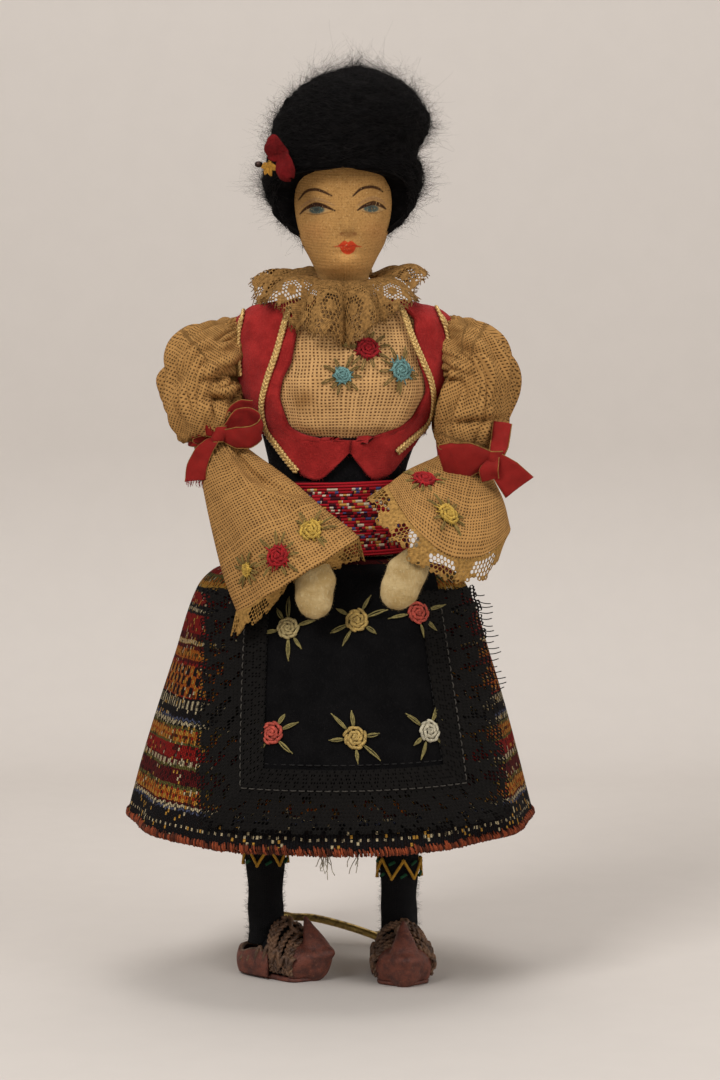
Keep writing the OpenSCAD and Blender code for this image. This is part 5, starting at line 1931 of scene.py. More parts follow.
    def tress(self, a: Any, z: Any, share: Any = 1.0) -> Points:
        """Points of the hair's outside, or of a share of the way out from the head.

        Args:
            a: angles round it, from the front.
            z: heights.
            share: share of the way out.

        Returns:
            The points.
        """
        f = self.figure
        a, z, share = np.broadcast_arrays(a, z, share)
        c = cosines(a)
        deep = np.where(c > 0, f.row(self.hair_rows, z, 2), f.row(self.hair_rows, z, 3))
        wide = f.row(self.hair_rows, z, 1)
        dent = (np.exp(-((z - 221 - 1.5 * sines(a)) / 3.0) ** 2)
                * mix(0.02, 0.05, np.clip(sines(a), 0, 1)) * np.abs(sines(a)))
        swept = f.lean + lookup(z, [(200, -0.4), (219, 0.0), (230, 2.3), (244, 3.6)])
        return join(swept + wide * (1 - dent) * share * sines(a), -deep * share * c, z)

    @staticmethod
    def tuck(z: Any) -> Points:
        """Share by which the hair's lower edge turns in under itself."""
        return 0.19 * (1 - smooth(197.5, 206, z)) ** 2

    def face_gap(self, z: Any) -> Points:
        """Angle from the middle of the face to the hair's edge at a height."""
        return lookup(z, [(199, 74), (205, 71), (210, 64), (213, 56),
                          (215, 45), (216, 31), (216.6, 13), (217, 0), (217.3, -2), (244, -2)])

    def hair(self) -> None:
        """A dark pad with thousands of fine hairs combed over it, and loose ones round it."""
        finish = Mohair("mohair").make()
        # The pad's finish is darker than the hairs': painted shade within the mass of hair.
        shaded_pad = Mohair("shaded_hair_pad", (0.0024, 0.0021, 0.0021), 0.03).make()
        z = np.concatenate([np.linspace(199.6, 217, 40), np.linspace(217.6, 244, 46)])[:, None]
        gap = self.face_gap(z)
        a = gap + (360 - 2 * gap) * np.linspace(0, 1, 121)
        grid = self.tress(a, z, 0.955 - self.tuck(z))
        grid = grid + normals(grid) * (0.5 * ripple(grid, 5, 22) * (1 - smooth(238, 244, z)))[..., None]
        under = join(self.figure.lean + (grid[..., 0] - self.figure.lean) * 0.5,
                     grid[..., 1] * 0.5, np.minimum(grid[..., 2], 230))
        stuff = Stuff()
        stuff.grid(grid)
        stuff.grid(under[:, ::-1])
        m, n = grid.shape[:2]
        rim = np.concatenate([np.arange(n), np.arange(1, m) * n + n - 1,
                              (m - 1) * n + np.arange(n - 2, -1, -1), np.arange(m - 2, 0, -1) * n])
        row, col = np.divmod(rim, n)
        far = m * n + row * n + (n - 1 - col)
        stuff.faces(join(np.roll(rim, -1), rim, far, np.roll(far, -1)))
        pad = dress(stuff.build("hair_pad", shaded_pad), self.body_name, "hair", "hair")

        def comb(count: int, long: float, lift: float, curl: float, radius: float, seed: int) -> Stuff:
            """Hairs that start on the pad and run round it.

            Args:
                count: number of hairs.
                long: mean length.
                lift: how far their tips stand off.
                curl: size of their waves.
                radius: radius at the root.
                seed: picks the hairs.

            Returns:
                The hairs.
            """
            rng = np.random.default_rng(seed)
            z0 = 200 + 43.6 * rng.uniform(size=count) ** 0.9
            gap = self.face_gap(z0)
            a0 = gap + (360 - 2 * gap) * rng.uniform(size=count)
            steps = np.linspace(0, 1, 7)
            size = long * rng.uniform(0.5, 1.4, count)
            lay = rng.choice((-1, 1), count) * rng.normal(1.25, 0.3, count)
            reach = np.maximum(self.figure.row(self.hair_rows, z0, 1), 5)
            rise = np.cos(lay) * np.where(z0 < 207, -1.2, 0.8)
            z = np.clip(z0[:, None] + (size * rise)[:, None] * steps, 196.8, 243.9)
            a = a0[:, None] + np.degrees(size[:, None] * steps * np.sin(lay)[:, None] / reach[:, None])
            edge = self.face_gap(z) - 4 * np.abs(np.sin(7 * a0))[:, None]
            turned = a % 360
            a = np.where((edge > 0) & ((turned < edge) | (turned > 360 - edge)),
                         np.where(turned < 180, edge, 360 - edge), a)
            share = (0.95 + (lift * rng.uniform(0, 1, count))[:, None] * steps
                     + 0.012 * rng.normal(size=count)[:, None])
            path = self.tress(a, z, share - self.tuck(z))
            path[..., 2] += (share - 0.95) * 20 * smooth(232, 244, z)
            way = rng.normal(size=(count, 1, 3))
            wave = np.sin(steps * rng.uniform(3, 7, (count, 1)) + rng.uniform(0, 6, (count, 1)))[..., None]
            path += curl * (way * wave) * steps[:, None]
            hairs = Stuff()
            hairs.threads(path, radius * (1 - 0.7 * steps), 3)
            return hairs

        layers = (("hair_inner", 2800, 13, 0.03, 0.35, 0.08, 35),
                  ("hair_outer", 4400, 10, 0.06, 0.7, 0.05, 39),
                  ("hair_loose", 4000, 7, 0.2, 1.7, 0.028, 56), ("hair_wild", 2400, 6, 0.34, 2.4, 0.024, 57))
        for name, *values in layers:
            dress(comb(*values).build(name, finish), self.body_name, "hair")

    def flower(self) -> None:
        """Felt petals, a knotted yellow heart and the dark pin head beside it."""
        felt = Felt("petal_felt", (0.14, 0.007, 0.008), (0.06, 0.004, 0.004),
                    (0.20, 0.015, 0.013), 0.4, 0.0).make()
        low, high = (np.array(c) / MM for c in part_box("flower_petals"))
        at = np.array((-12.2, (low[1] + high[1]) / 2 - 0.6, 219.8))
        work = frame_at((-sines(40), -cosines(40), 0.1))
        stuff, hairs = Stuff(), Stuff()
        u, v = np.meshgrid(np.linspace(-1, 1, 21), np.linspace(0, 1, 26))
        for angle, long, wide, curl in ((165, 4.4, 1.9, 0.4), (134, 6.0, 2.6, 1.2), (-56, 7.4, 2.6, 1.3)):
            half = wide * lookup(v, [(0, 0.75), (0.35, 1), (0.7, 0.95), (0.9, 0.66), (1, 0.12)])
            x, y = v * long, u * half
            uneven = 0.25 * ripple(join(x, y), 4, angle + 200)
            out = 0.9 + curl * np.sin(v * math.pi * 0.8) - 0.35 * curl * u ** 2 + uneven
            across = x * cosines(angle) - y * sines(angle)
            up = x * sines(angle) + y * cosines(angle)
            grid = at + across[..., None] * work[0] + up[..., None] * work[1] + out[..., None] * work[2]
            stuff.grid(grid, maps=cloth_map(grid))
            fuzz(hairs, *pick(grid, normals(grid), 260, 64 + angle), 0.7, 0.025, 65, 1.2)
        dress(hairs.build("petal_fibres", felt), self.body_name, "petal_felt")
        piece = thicken(stuff.build("felt_petals", felt), 0.8)
        dress(piece, self.body_name, "petal_felt", "flower_petals")
        cut(piece, 16, 12, Hold.FOLDED, area=120)
        low, high = (np.array(c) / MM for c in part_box("flower_centre"))
        heart = Stuff()
        middle = (low + high) / 2 + work[2] * 0.9 - work[1] * 1.4 - work[0] * 1.0
        spot = Needlework(heart, middle, work[2], 7)
        spot.knots(1.5, (0.50, 0.24, 0.03), 26)
        for angle in (190, 235, 280, 330):
            spot.leaf(0.6, 2.6, 1.3, angle, (0.52, 0.25, 0.03), 4)
        piece = heart.build("flower_heart", Thread("flower_yarn").make())
        dress(piece, self.body_name, "flower_yarn", "flower_centre")
        low, high = (np.array(c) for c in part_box("hair_pin"))
        bpy.ops.object.select_all(action="DESELECT")
        middle = (low[0] - 0.001, low[1] + 0.001, high[2] - 0.0036)
        bpy.ops.mesh.primitive_uv_sphere_add(segments=24, ring_count=16, radius=1.05 * MM, location=middle)
        pin = bpy.context.object
        bpy.ops.object.transform_apply(location=True, rotation=True, scale=True)
        bpy.ops.object.mode_set(mode="EDIT")
        bpy.ops.mesh.select_all(action="SELECT")
        bpy.ops.transform.resize(value=(1, 1, 0.82), center_override=middle)
        bpy.ops.object.mode_set(mode="OBJECT")
        bpy.ops.object.shade_smooth()
        pin.name = "pin_head"
        pin.data.materials.append(Wire("pin_metal", (0.05, 0.03, 0.025), (0.02, 0.012, 0.01)).make())
        dress(pin, self.body_name, "pin_metal", "hair_pin")


@dataclass(frozen=True)
class ArmPlan:
    """What differs between the arms; the elbow is given from the shoulder and the bow from its knot."""

    elbow: Spot
    reach: Spot
    fore_long: float
    fall: Spot
    sleeve_long: float
    across: Spot
    cuff: Rows
    lace_way: Rows
    lace_long: float
    knot: Spot
    bow: tuple[tuple[Rows, tuple[float, ...], Spot], ...]
    flowers: tuple[tuple[float, float, float, Colour, int], ...]
    hand: Spot
    wrist: float


BLOOM_RED: Colour = (0.38, 0.009, 0.012)
BLOOM_YELLOW: Colour = (0.58, 0.36, 0.06)
BOW_FRONT: Spot = (0, -0.3, 0.95)
PLANS = {
    Side.RIGHT: ArmPlan(
        elbow=(-0.3, -8.5, -27.5), reach=(30.5, -30.5, -25.5), fore_long=44.0,
        fall=(23.5, -27.5, -30.0), sleeve_long=44.0, across=(0.85, 0, 0.53),
        cuff=((7, -36, 121), (-1, -41, 116.2), (-9, -42, 111), (-17, -38, 105.8),
              (-24.2, -30, 101.3), (-19, -25, 107.5), (-9.5, -25, 114.5), (1, -29, 120.5)),
        lace_way=((0.2, 0.3, -0.9), (0, 0.7, -0.4), (0, 0.9, -0.3), (-0.1, 0.3, -0.8),
                  (-0.2, 0.1, -1), (0, -0.1, -1), (0, -0.1, -1), (0.1, 0.1, -1)),
        lace_long=116.0, knot=(2.4, -8.0, 0.4),
        bow=((((0.3, 0, 0), (4, 1.0, 3.6), (8.4, 1.2, 4.0), (11.6, -0.4, 1.6),
               (8.8, -2.6, -0.8), (4.4, -2.4, -1.2), (0.4, -0.4, -0.6)),
              (3.0, 5.6, 6.0, 5.6, 6.0, 5.8, 3.2), BOW_FRONT),
             (((0, 0, 0.2), (-2.4, -1.6, 1.4), (-5.0, -1.6, 1.8), (-7.4, 0.2, 0.6),
               (-4.8, 1.2, -0.6), (-0.5, 0.6, -0.4)),
              (3.0, 4.8, 5.4, 5.0, 4.6, 3.0), BOW_FRONT),
             (((-0.4, -0.5, -0.6), (-3.4, -1.2, -3.6), (-5.6, -0.8, -8.0), (-6.3, -0.6, -12.4)),
              (3.2, 5.4, 5.8, 5.6), (0.9, -0.2, 0.1)),
             (((0.2, -0.2, 0.6), (2.0, 1.2, 4.2), (5.2, 1.6, 6.6), (8.8, 1.4, 6.8)),
              (3.0, 4.6, 4.8, 4.2), BOW_FRONT)),
        flowers=((-13.3, 116.8, 3.4, BLOOM_RED, 81), (-5.1, 122.8, 3.4, BLOOM_YELLOW, 82),
                 (-21.4, 113.0, 2.1, BLOOM_YELLOW, 83)),
        hand=(1.2, -4.0, -20.0), wrist=0.6),
    Side.LEFT: ArmPlan(
        elbow=(-3.2, -8.5, -32.0), reach=(-12.2, -31.5, -18.1), fore_long=36.5,
        fall=(-5.5, -24.5, -14.5), sleeve_long=30.0, across=(0.97, 0, -0.2),
        cuff=((46.6, -22, 122.8), (39.5, -36, 116.8), (29, -42.5, 117.6), (21.2, -42, 124.2),
              (15.2, -33, 134.2), (21, -26, 133), (31, -21, 128), (41, -18, 126)),
        lace_way=((-0.2, 1, -0.3), (0, 0.3, -1), (-0.3, 0, -1), (-0.85, -0.1, -0.6),
                  (-0.85, -0.1, -0.5), (-0.4, 0.2, -0.5), (0, 0.2, -0.8), (0, 0.5, -0.6)),
        lace_long=110.0, knot=(8.4, -12.6, -1.6),
        bow=((((0.4, 0, 0), (-5, -1.9, 0.2), (-10, -2.8, -1), (-14, -1.4, -2.2),
               (-10, 1.2, -2.4), (-5, 1.4, -1.6), (0, 0.6, -0.4)),
              (3.6, 8.6, 11.4, 11.8, 11.4, 8.6, 3.6), (-0.30, -0.35, 0.88)),
             (((0, -0.6, 0), (1.2, 1.6, 3.6), (2.2, 4.6, 9.6)),
              (3.6, 4.8, 5.0), (0.97, -0.1, -0.15)),
             (((0.2, -0.8, 0), (2.8, -1.4, -3.2), (6.4, -0.8, -7.4)),
              (4.0, 7.4, 9.0), (0.8, 0, 0.6)),
             (((-0.4, -0.9, -0.2), (-1.6, -2.2, -2.6), (-1.2, -1.6, -5.4)),
              (3.4, 5.2, 4.6), (0.9, -0.3, 0.2))),
        flowers=((24.3, 135.4, 3.6, BLOOM_RED, 84), (30.1, 127.0, 3.6, BLOOM_YELLOW, 85)),
        hand=(-8.0, -5.0, -14.0), wrist=0.2),
}


@dataclass
class Arm:
    """One arm: a puffed upper sleeve, a ribbon bow, a wide lower sleeve with lace, and a felt hand."""

    figure: Figure
    side: Side
    puff_rows: Rows = ((0, 4.7, 4.7), (0.05, 5.0, 5.4), (0.12, 7.0, 9.4), (0.25, 9.0, 12.4),
                       (0.4, 9.8, 13.4), (0.57, 9.8, 12.6), (0.7, 9.5, 9.8), (0.79, 9.2, 6.6),
                       (0.87, 8.7, 4.8), (1, 7.4, 3.6))

    def __post_init__(self) -> None:
        """Set the joints and directions of this side."""
        self.plan = PLANS[self.side]
        self.word = self.side.word
        self.upper = f"{self.word}_upper_arm"
        self.fore = f"{self.word}_forearm"
        self.pivot = np.array([self.figure.lean + self.side.value * 34.7, 0, 167.0])
        self.elbow = self.pivot + self.plan.elbow
        self.reach = unit(self.plan.reach)
        self.fall = unit(self.plan.fall)
        side = np.array(self.plan.across)
        self.across = unit(side - self.fall * (side @ self.fall))
        self.through = np.cross(self.fall, self.across)
        self.ring = np.array([self.elbow[0], -6.1, self.elbow[2] + 7.4])

    def build(self, gauze: Finish, ribbon: Finish, floss: Finish,
              lace_thread: Finish, felt: Finish, linen: Finish) -> None:
        """Make every piece.

        Args:
            gauze: finish of the sleeves.
            ribbon: finish of the bow.
            floss: embroidery thread.
            lace_thread: finish of the cuff.
            felt: finish of the hand.
            linen: finish of the stuffed arm.
        """
        self.stuffing(linen)
        self.puff(gauze)
        self.bow(ribbon, floss)
        self.bell(gauze, floss, lace_thread)
        self.hand(felt)

    def stuffing(self, linen: Finish) -> None:
        """The stuffed upper arm and forearm inside the sleeves.

        Args:
            linen: finish of the stuffing.
        """
        upper = [self.pivot + (0, 0, 3.0), self.pivot, mix(self.pivot, self.elbow, 0.5),
                 self.elbow + (0, 0, 1.8)]
        fore = [self.elbow + self.reach * far for far in (6, 9, 12, self.plan.fore_long)]
        for kind, body, path, radii in (("upper", self.upper, upper, (2.2, 3.2, 2.3, 1.6)),
                                        ("fore", self.fore, fore, (1.6, 4.0, 3.0, 2.4))):
            stuff = Stuff()
            stuff.threads(curve(path, 30), evenly(radii, 30), 20, up=(1, 0, 0))
            piece = stuff.build(f"{self.word}_stuffed_{kind}", linen)
            dress(piece, body, "body_cloth", body)

    def puff_grid(self) -> Points:
        """Points of the puffed sleeve, from the ribbon up to the armhole."""
        s = self.side.value
        a = around(140)
        f = np.linspace(0, 1, 100)[:, None]
        lean = self.figure.lean - 0.9 * (1 + s)
        path = curve([self.ring, self.ring + (s * 1.4, 1.2, 5), (lean + s * 37.6, -1.6, 159.5),
                      (lean + s * 35.2, -0.4, 166), (lean + s * 28, 0, 168.6), (lean + s * 21, 0, 169.6)],
                     100)
        along = unit(np.gradient(path, axis=0))
        inner = unit(np.cross((0, -1, 0), along))
        wide, deep = self.figure.row(self.puff_rows, f, 1), self.figure.row(self.puff_rows, f, 2)
        grid = (path[:, None] + (wide * sines(a))[..., None] * inner[:, None]
                + (deep * cosines(a))[..., None] * np.array((0, -1.0, 0)))
        out = normals(grid, True)
        turn = a + 25 * ripple(join(a / 40, f * 3), 2.5, 40 + s)
        low = hump(f, 0.05, 0.11)
        high = hump(f, 0.8, 0.13)
        pleat = ((np.abs(sines(9 * turn)) - 0.6) * low * 1.9
                 + (np.abs(sines(10 * turn + 40)) - 0.6) * high * 0.9)
        slack = ripple(join(a / 57 * 10, f * 24 + a / 15), 8.0, 44 + s)
        crease = ripple(join(a / 57 * 14, f * 12), 5.0, 47 + s)
        folds = ((1.0 * slack - 1.4 * np.abs(crease) + 0.7) * smooth(0.08, 0.26, f)
                 * (1 - smooth(0.68, 0.88, f)))
        grid = grid + out * (pleat + folds)[..., None]
        sag = hump(f, 0.14, 0.08) * (1.2 + 1.2 * np.abs(sines(2.5 * turn)))
        grid[..., 2] -= sag * smooth(0.02, 0.1, f)
        x, z = grid[..., 0], grid[..., 2]
        if self.side is Side.RIGHT:
            pinch = np.exp(-((z - 161.8 - 0.12 * (x + 29)) / 0.9) ** 2) + hump(z, 156.4, 1.0)
            pinch = pinch * np.exp(-((x + 29.6) / 4.2) ** 4)
        else:
            pinch = np.exp(-((z - 150.8 - 0.1 * (x - 40)) / 0.9) ** 2) * np.exp(-((x - 39.5) / 8) ** 4)
        grid[..., 1] += 3.2 * pinch * smooth(3, 8, -grid[..., 1])
        return grid

    def bag_map(self, grid: Points) -> Points:
        """Map of a bag of cloth, whose threads run straight up and down its front and round its sides.

        Args:
            grid: rows and columns of points.

        Returns:
            Map coordinates, with one more column.
        """
        low, high = grid.min((0, 1)), grid.max((0, 1))
        half = (high - low) / 2
        x, y, z = np.moveaxis((np.concatenate([grid, grid[:, :1]], 1) - low - half) / half, -1, 0)
        u = np.unwrap(np.arctan2(x, -y), axis=1) * (half[0] + half[1]) / 2
        v = half[2] * np.arcsin(np.clip(z, -1, 1))
        c, s = cosines(20), self.side.value * sines(20)
        return join(c * u + s * v, c * v - s * u)

    def puff(self, gauze: Finish) -> None:
        """The puffed upper sleeve, gathered at both ends.

        Args:
            gauze: finish of the sleeve.
        """
        grid = self.puff_grid()
        piece = cloth(f"{self.word}_puffed_sleeve", gauze, grid, GAUZE_THICK, self.bag_map(grid), True)
        dress(piece, self.upper, "gauze", f"{self.word}_puff_sleeve")
        cut(piece, 92, 44, Hold.GATHERED)

    def bow(self, ribbon: Finish, floss: Finish) -> None:
        """A ribbon tied round the sleeve: a band, a knot, loops and ends with gilt edges.

        Args:
            ribbon: finish of the ribbon.
            floss: thread of the edges.
        """
        knot = self.ring + self.plan.knot
        stuff, edges = Stuff(), Stuff()

        def strip(path: Points, wide: Sequence[float], over: Spot, n: int = 44) -> None:
            """Lay ribbon along a path, with its width along a direction.

            Args:
                path: points along its middle.
                wide: widths along it.
                over: direction of its width.
                n: number of rows.
            """
            p, w, o = curve(path, n), evenly(wide, n)[:, None], unit(over)
            k = np.linspace(-0.5, 0.5, 9)
            cup = unit(np.cross(np.gradient(p, axis=0), o))[:, None]
            grid = p[:, None] + o * (w * k)[..., None] + cup * (0.5 * (k ** 2) * w * 0.6)[..., None]
            grid = grid + cup * (0.16 * ripple(grid, 3.2, 70))[..., None]
            stuff.grid(grid, maps=cloth_map(grid))
            for c in (0, -1):
                edges.threads(grid[:, c], 0.14, 5, (0.36, 0.17, 0.04))

        a = np.linspace(-180, 180, 40)
        x, y, z = self.ring
        strip(join(x + 6.0 * sines(a), y - 6.0 * cosines(a), z - 0.4 + 0.4 * sines(a * 2)),
              (4.6,), (0, 0, 1), 60)
        for path, wide, over in self.plan.bow:
            strip(knot + np.array(path), wide, over)
        ring = join(1.9 * sines(a), -1.5 * cosines(a) - 0.4, 0)
        strip(knot + ring[::-1] + (0, 0, -0.1), (4.2,), (0.2, 0, 1), 40)
        piece = thicken(stuff.build(f"{self.word}_ribbon_bow", ribbon), LACE_THICK)
        self.hang(piece, "ribbon", f"{self.word}_bow")
        cut(piece, 10, 120, Hold.FOLDED, area=600)
        if self.side is Side.RIGHT:
            rng = np.random.default_rng(77)
            n = 26
            end = knot + (-6.3, -0.6, -12.4)
            foot = end + join(np.linspace(-2.5, 2.5, n), rng.normal(0, 0.1, n), 0.3 + rng.normal(0, 0.1, n))
            tip = foot + join(rng.normal(-0.2, 0.4, n), rng.normal(0, 0.3, n), -rng.uniform(0.8, 2.2, n))
            frayed = np.stack([foot, mix(foot, tip, 0.5) + rng.normal(0, 0.12, (n, 3)), tip], 1)
            edges.threads(frayed, 0.07, 4, (0.32, 0.015, 0.02))
        self.hang(edges.build(f"{self.word}_bow_edges", floss), "ribbon")

    def hang(self, piece: Piece, slot: str, *nodes: str) -> None:
        """Bake a piece over the elbow into place on no body, and hide the solids that it stands for.

        Args:
            piece: the finished object.
            slot: the record's material slot.
            nodes: the CAD nodes that it replaces.
        """
        end = self.elbow + self.fall * 9.0
        tuple(end * MM)
        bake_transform(piece)
        dress(piece, "", slot, *nodes)

    def bell_at(self, a: Any, f: Any) -> Points:
        """Points of the wide lower sleeve.

        Args:
            a: angles round it.
            f: shares of the way from the ribbon (0) to the cuff (1) and on over the lace.

        Returns:
            The points.
        """
        a, f = np.broadcast_arrays(np.asarray(a, float), np.asarray(f, float))
        s = self.side.value
        top = self.ring + join(4.8 * cosines(a), -4.8 * sines(a), -0.8)
        share = lookup(f, [(0, 0), (0.05, 0.03), (0.14, 0.16),
                           (0.3, 0.36), (0.5, 0.56), (0.75, 0.79), (1, 1), (1.3, 1.3)])
        out = self.across * cosines(a)[..., None] * 0.6 + self.through * sines(a)[..., None]
        turn = a + 18 * ripple(join(a / 40, f * 2), 3.0, 50 + s)
        gather = np.exp(-(f / 0.14) ** 2) * (np.abs(sines(8 * turn)) - 0.6) * 1.4
        folds = 0.55 * sines(4 * turn + 40) + 0.5 * ripple(join(a / 14, f * 9), 6.5, 54 + s)
        folds = folds * smooth(0.1, 0.7, f)
        back = 2.2 * (1 + s) * np.clip(-sines(a), 0, 1)
        full = (2.4 + back) * np.sin(np.clip(f, 0, 1) * math.pi) ** 0.8
        return mix(top, loop(self.plan.cuff, a), share[..., None]) + out * (gather + folds + full)[..., None]

    def bell(self, gauze: Finish, floss: Finish, lace_thread: Finish) -> None:
        """The wide lower sleeve, its flowers and its lace.

        Args:
            gauze: finish of the sleeve.
            floss: thread of the flowers.
            lace_thread: finish of the lace.
        """
        s = self.side.value
        n = 126
        turn = 1 if np.dot(np.cross(self.across, self.through), self.fall) < 0 else -1
        a = turn * 360 * np.arange(n) / n - 90
        f = np.linspace(1, 0, 84)[:, None]
        grid = self.bell_at(a, f)
        if self.side is Side.RIGHT:
            line = curve([(-25.4, 142.3), (-22.6, 138.6), (-18.5, 135.6), (-13.5, 133.6), (-8.5, 132.6)], 40)
            away = np.hypot(grid[..., None, 0] - line[:, 0], grid[..., None, 2] - line[:, 1]).min(-1)
            below = grid[..., 2] - np.interp(grid[..., 0], line[:, 0], line[:, 1]) < 0
            dent = 2.4 * np.exp(-(away / 1.1) ** 2) - 0.9 * below * hump(away, 2.2, 1.2)
            grid = grid - self.through * (dent * smooth(0.1, 0.6, sines(a)))[..., None]
        sleeve = cloth(f"{self.word}_wide_sleeve", gauze, grid, GAUZE_THICK, cloth_map(grid, True), True)
        out = normals(grid, True)
        flowers = Stuff()
        for x, z, size, colour, seed in self.plan.flowers:
            needle(flowers, grid, out, x, z, seed).blossom(size, colour, (0.28, 0.19, 0.05))
        blooms = flowers.build(f"{self.word}_sleeve_flowers", floss)
        long, wide = self.plan.lace_long, 6.6

        def edge(u: Points, v: Points) -> Points:
            """Points of the lace below the cuff.

            Args:
                u: distances along the lace.
                v: distances across it.

            Returns:
                The points.
            """
            angle = turn * u / long * 360 - 90
            t = np.clip(v / wide, 0, 1)[:, None]
            way = unit(loop(self.plan.lace_way, angle))
            short = 1 - (0.6 * np.exp(-((angle % 360 - 80) / 32) ** 4) if s < 0 else 0.0)
            wave = 0.5 * np.sin(u * 1.05) + 0.7 * ripple(u[:, None], 9, 58 + s)
            p = self.bell_at(angle, np.full(angle.shape, 0.985))
            return p + way * (v * short)[:, None] + self.through * (wave * t[:, 0] ** 1.2 - 0.25)[:, None]

        def hole(u: Points, v: Points) -> Points:
            """Patches of open net between cloth work."""
            patch = np.hypot(((u + 3) % 13.0) - 6.5, (v - 3.4) * 1.7)
            return np.where(v > wide - 1.5, 0.55 * (np.sin(u * 2.2) > 0.2),
                            np.where(patch < 4.4, 0.86, 0.14))

        lace_stuff = Stuff()
        lace(lace_stuff, edge, long, wide, 1.25, hole, scallops(wide, 0.9, 6.5),
             True, (0.46, 0.25, 0.07), 90 + s)
        cuff = thicken(lace_stuff.build(f"{self.word}_lace_cuff", lace_thread), LACE_THICK)
        self.hang(sleeve, "gauze", f"{self.word}_bell_sleeve")
        self.hang(blooms, "gauze")
        self.hang(cuff, "cuff_lace", f"{self.word}_cuff_lace")
        high = self.plan.sleeve_long + 6
        cut(sleeve, long, high, Hold.GATHERED, area=(30 + long) / 2 * high)
        cut(cuff, long, 10, Hold.GATHERED, area=long * 5)

    def hand(self, felt: Finish) -> None:
        """A felt mitten with a short thumb and a fuzz.

        Args:
            felt: finish of the hand.
        """
        d = unit(self.plan.hand)
        w = unit(np.cross((0, -1, 0), d))
        t = np.cross(d, w)
        start = self.elbow + self.reach * (self.plan.fore_long + self.plan.wrist)
        f = np.linspace(0, 1, 60)[:, None]
        a = around(48)
        half = lookup(f, [(0, 2.6), (0.12, 3.9), (0.35, 4.7),
                          (0.65, 4.9), (0.85, 4.0), (0.96, 2.2), (1, 0.4)])
        thick = lookup(f, [(0, 1.6), (0.12, 2.1), (0.35, 2.35),
                           (0.65, 2.3), (0.85, 1.8), (0.96, 1.0), (1, 0.2)])
        x, y = np.sign(cosines(a)) * np.abs(cosines(a)) ** 0.85, sines(a)
        thumb = 1.0 * hump(f, 0.4, 0.16) * np.maximum(0, -self.side.value * x)
        grid = (start + d * (f * 16.6)[..., None] + w * ((half + thumb) * x)[..., None]
                + t * (thick * y)[..., None])
        grid = grid + 0.08 * ripple(grid, 6, 95)[..., None] * (w + t)
        grid = grid[:, ::-1] if np.dot(np.cross(w, t), d) < 0 else grid
        hairs = Stuff()
        fuzz(hairs, *pick(grid, normals(grid, True), 1500, 96), 0.55, 0.02, 97, 1.0)
        dress(hairs.build(f"{self.word}_hand_fuzz", felt), self.fore, "hand_felt")
        stuff = Stuff()
        stuff.grid(grid, True, ends=True)
        piece = stuff.build(f"{self.word}_felt_hand", felt)
        dress(piece, self.fore, "hand_felt", f"{self.word}_hand")


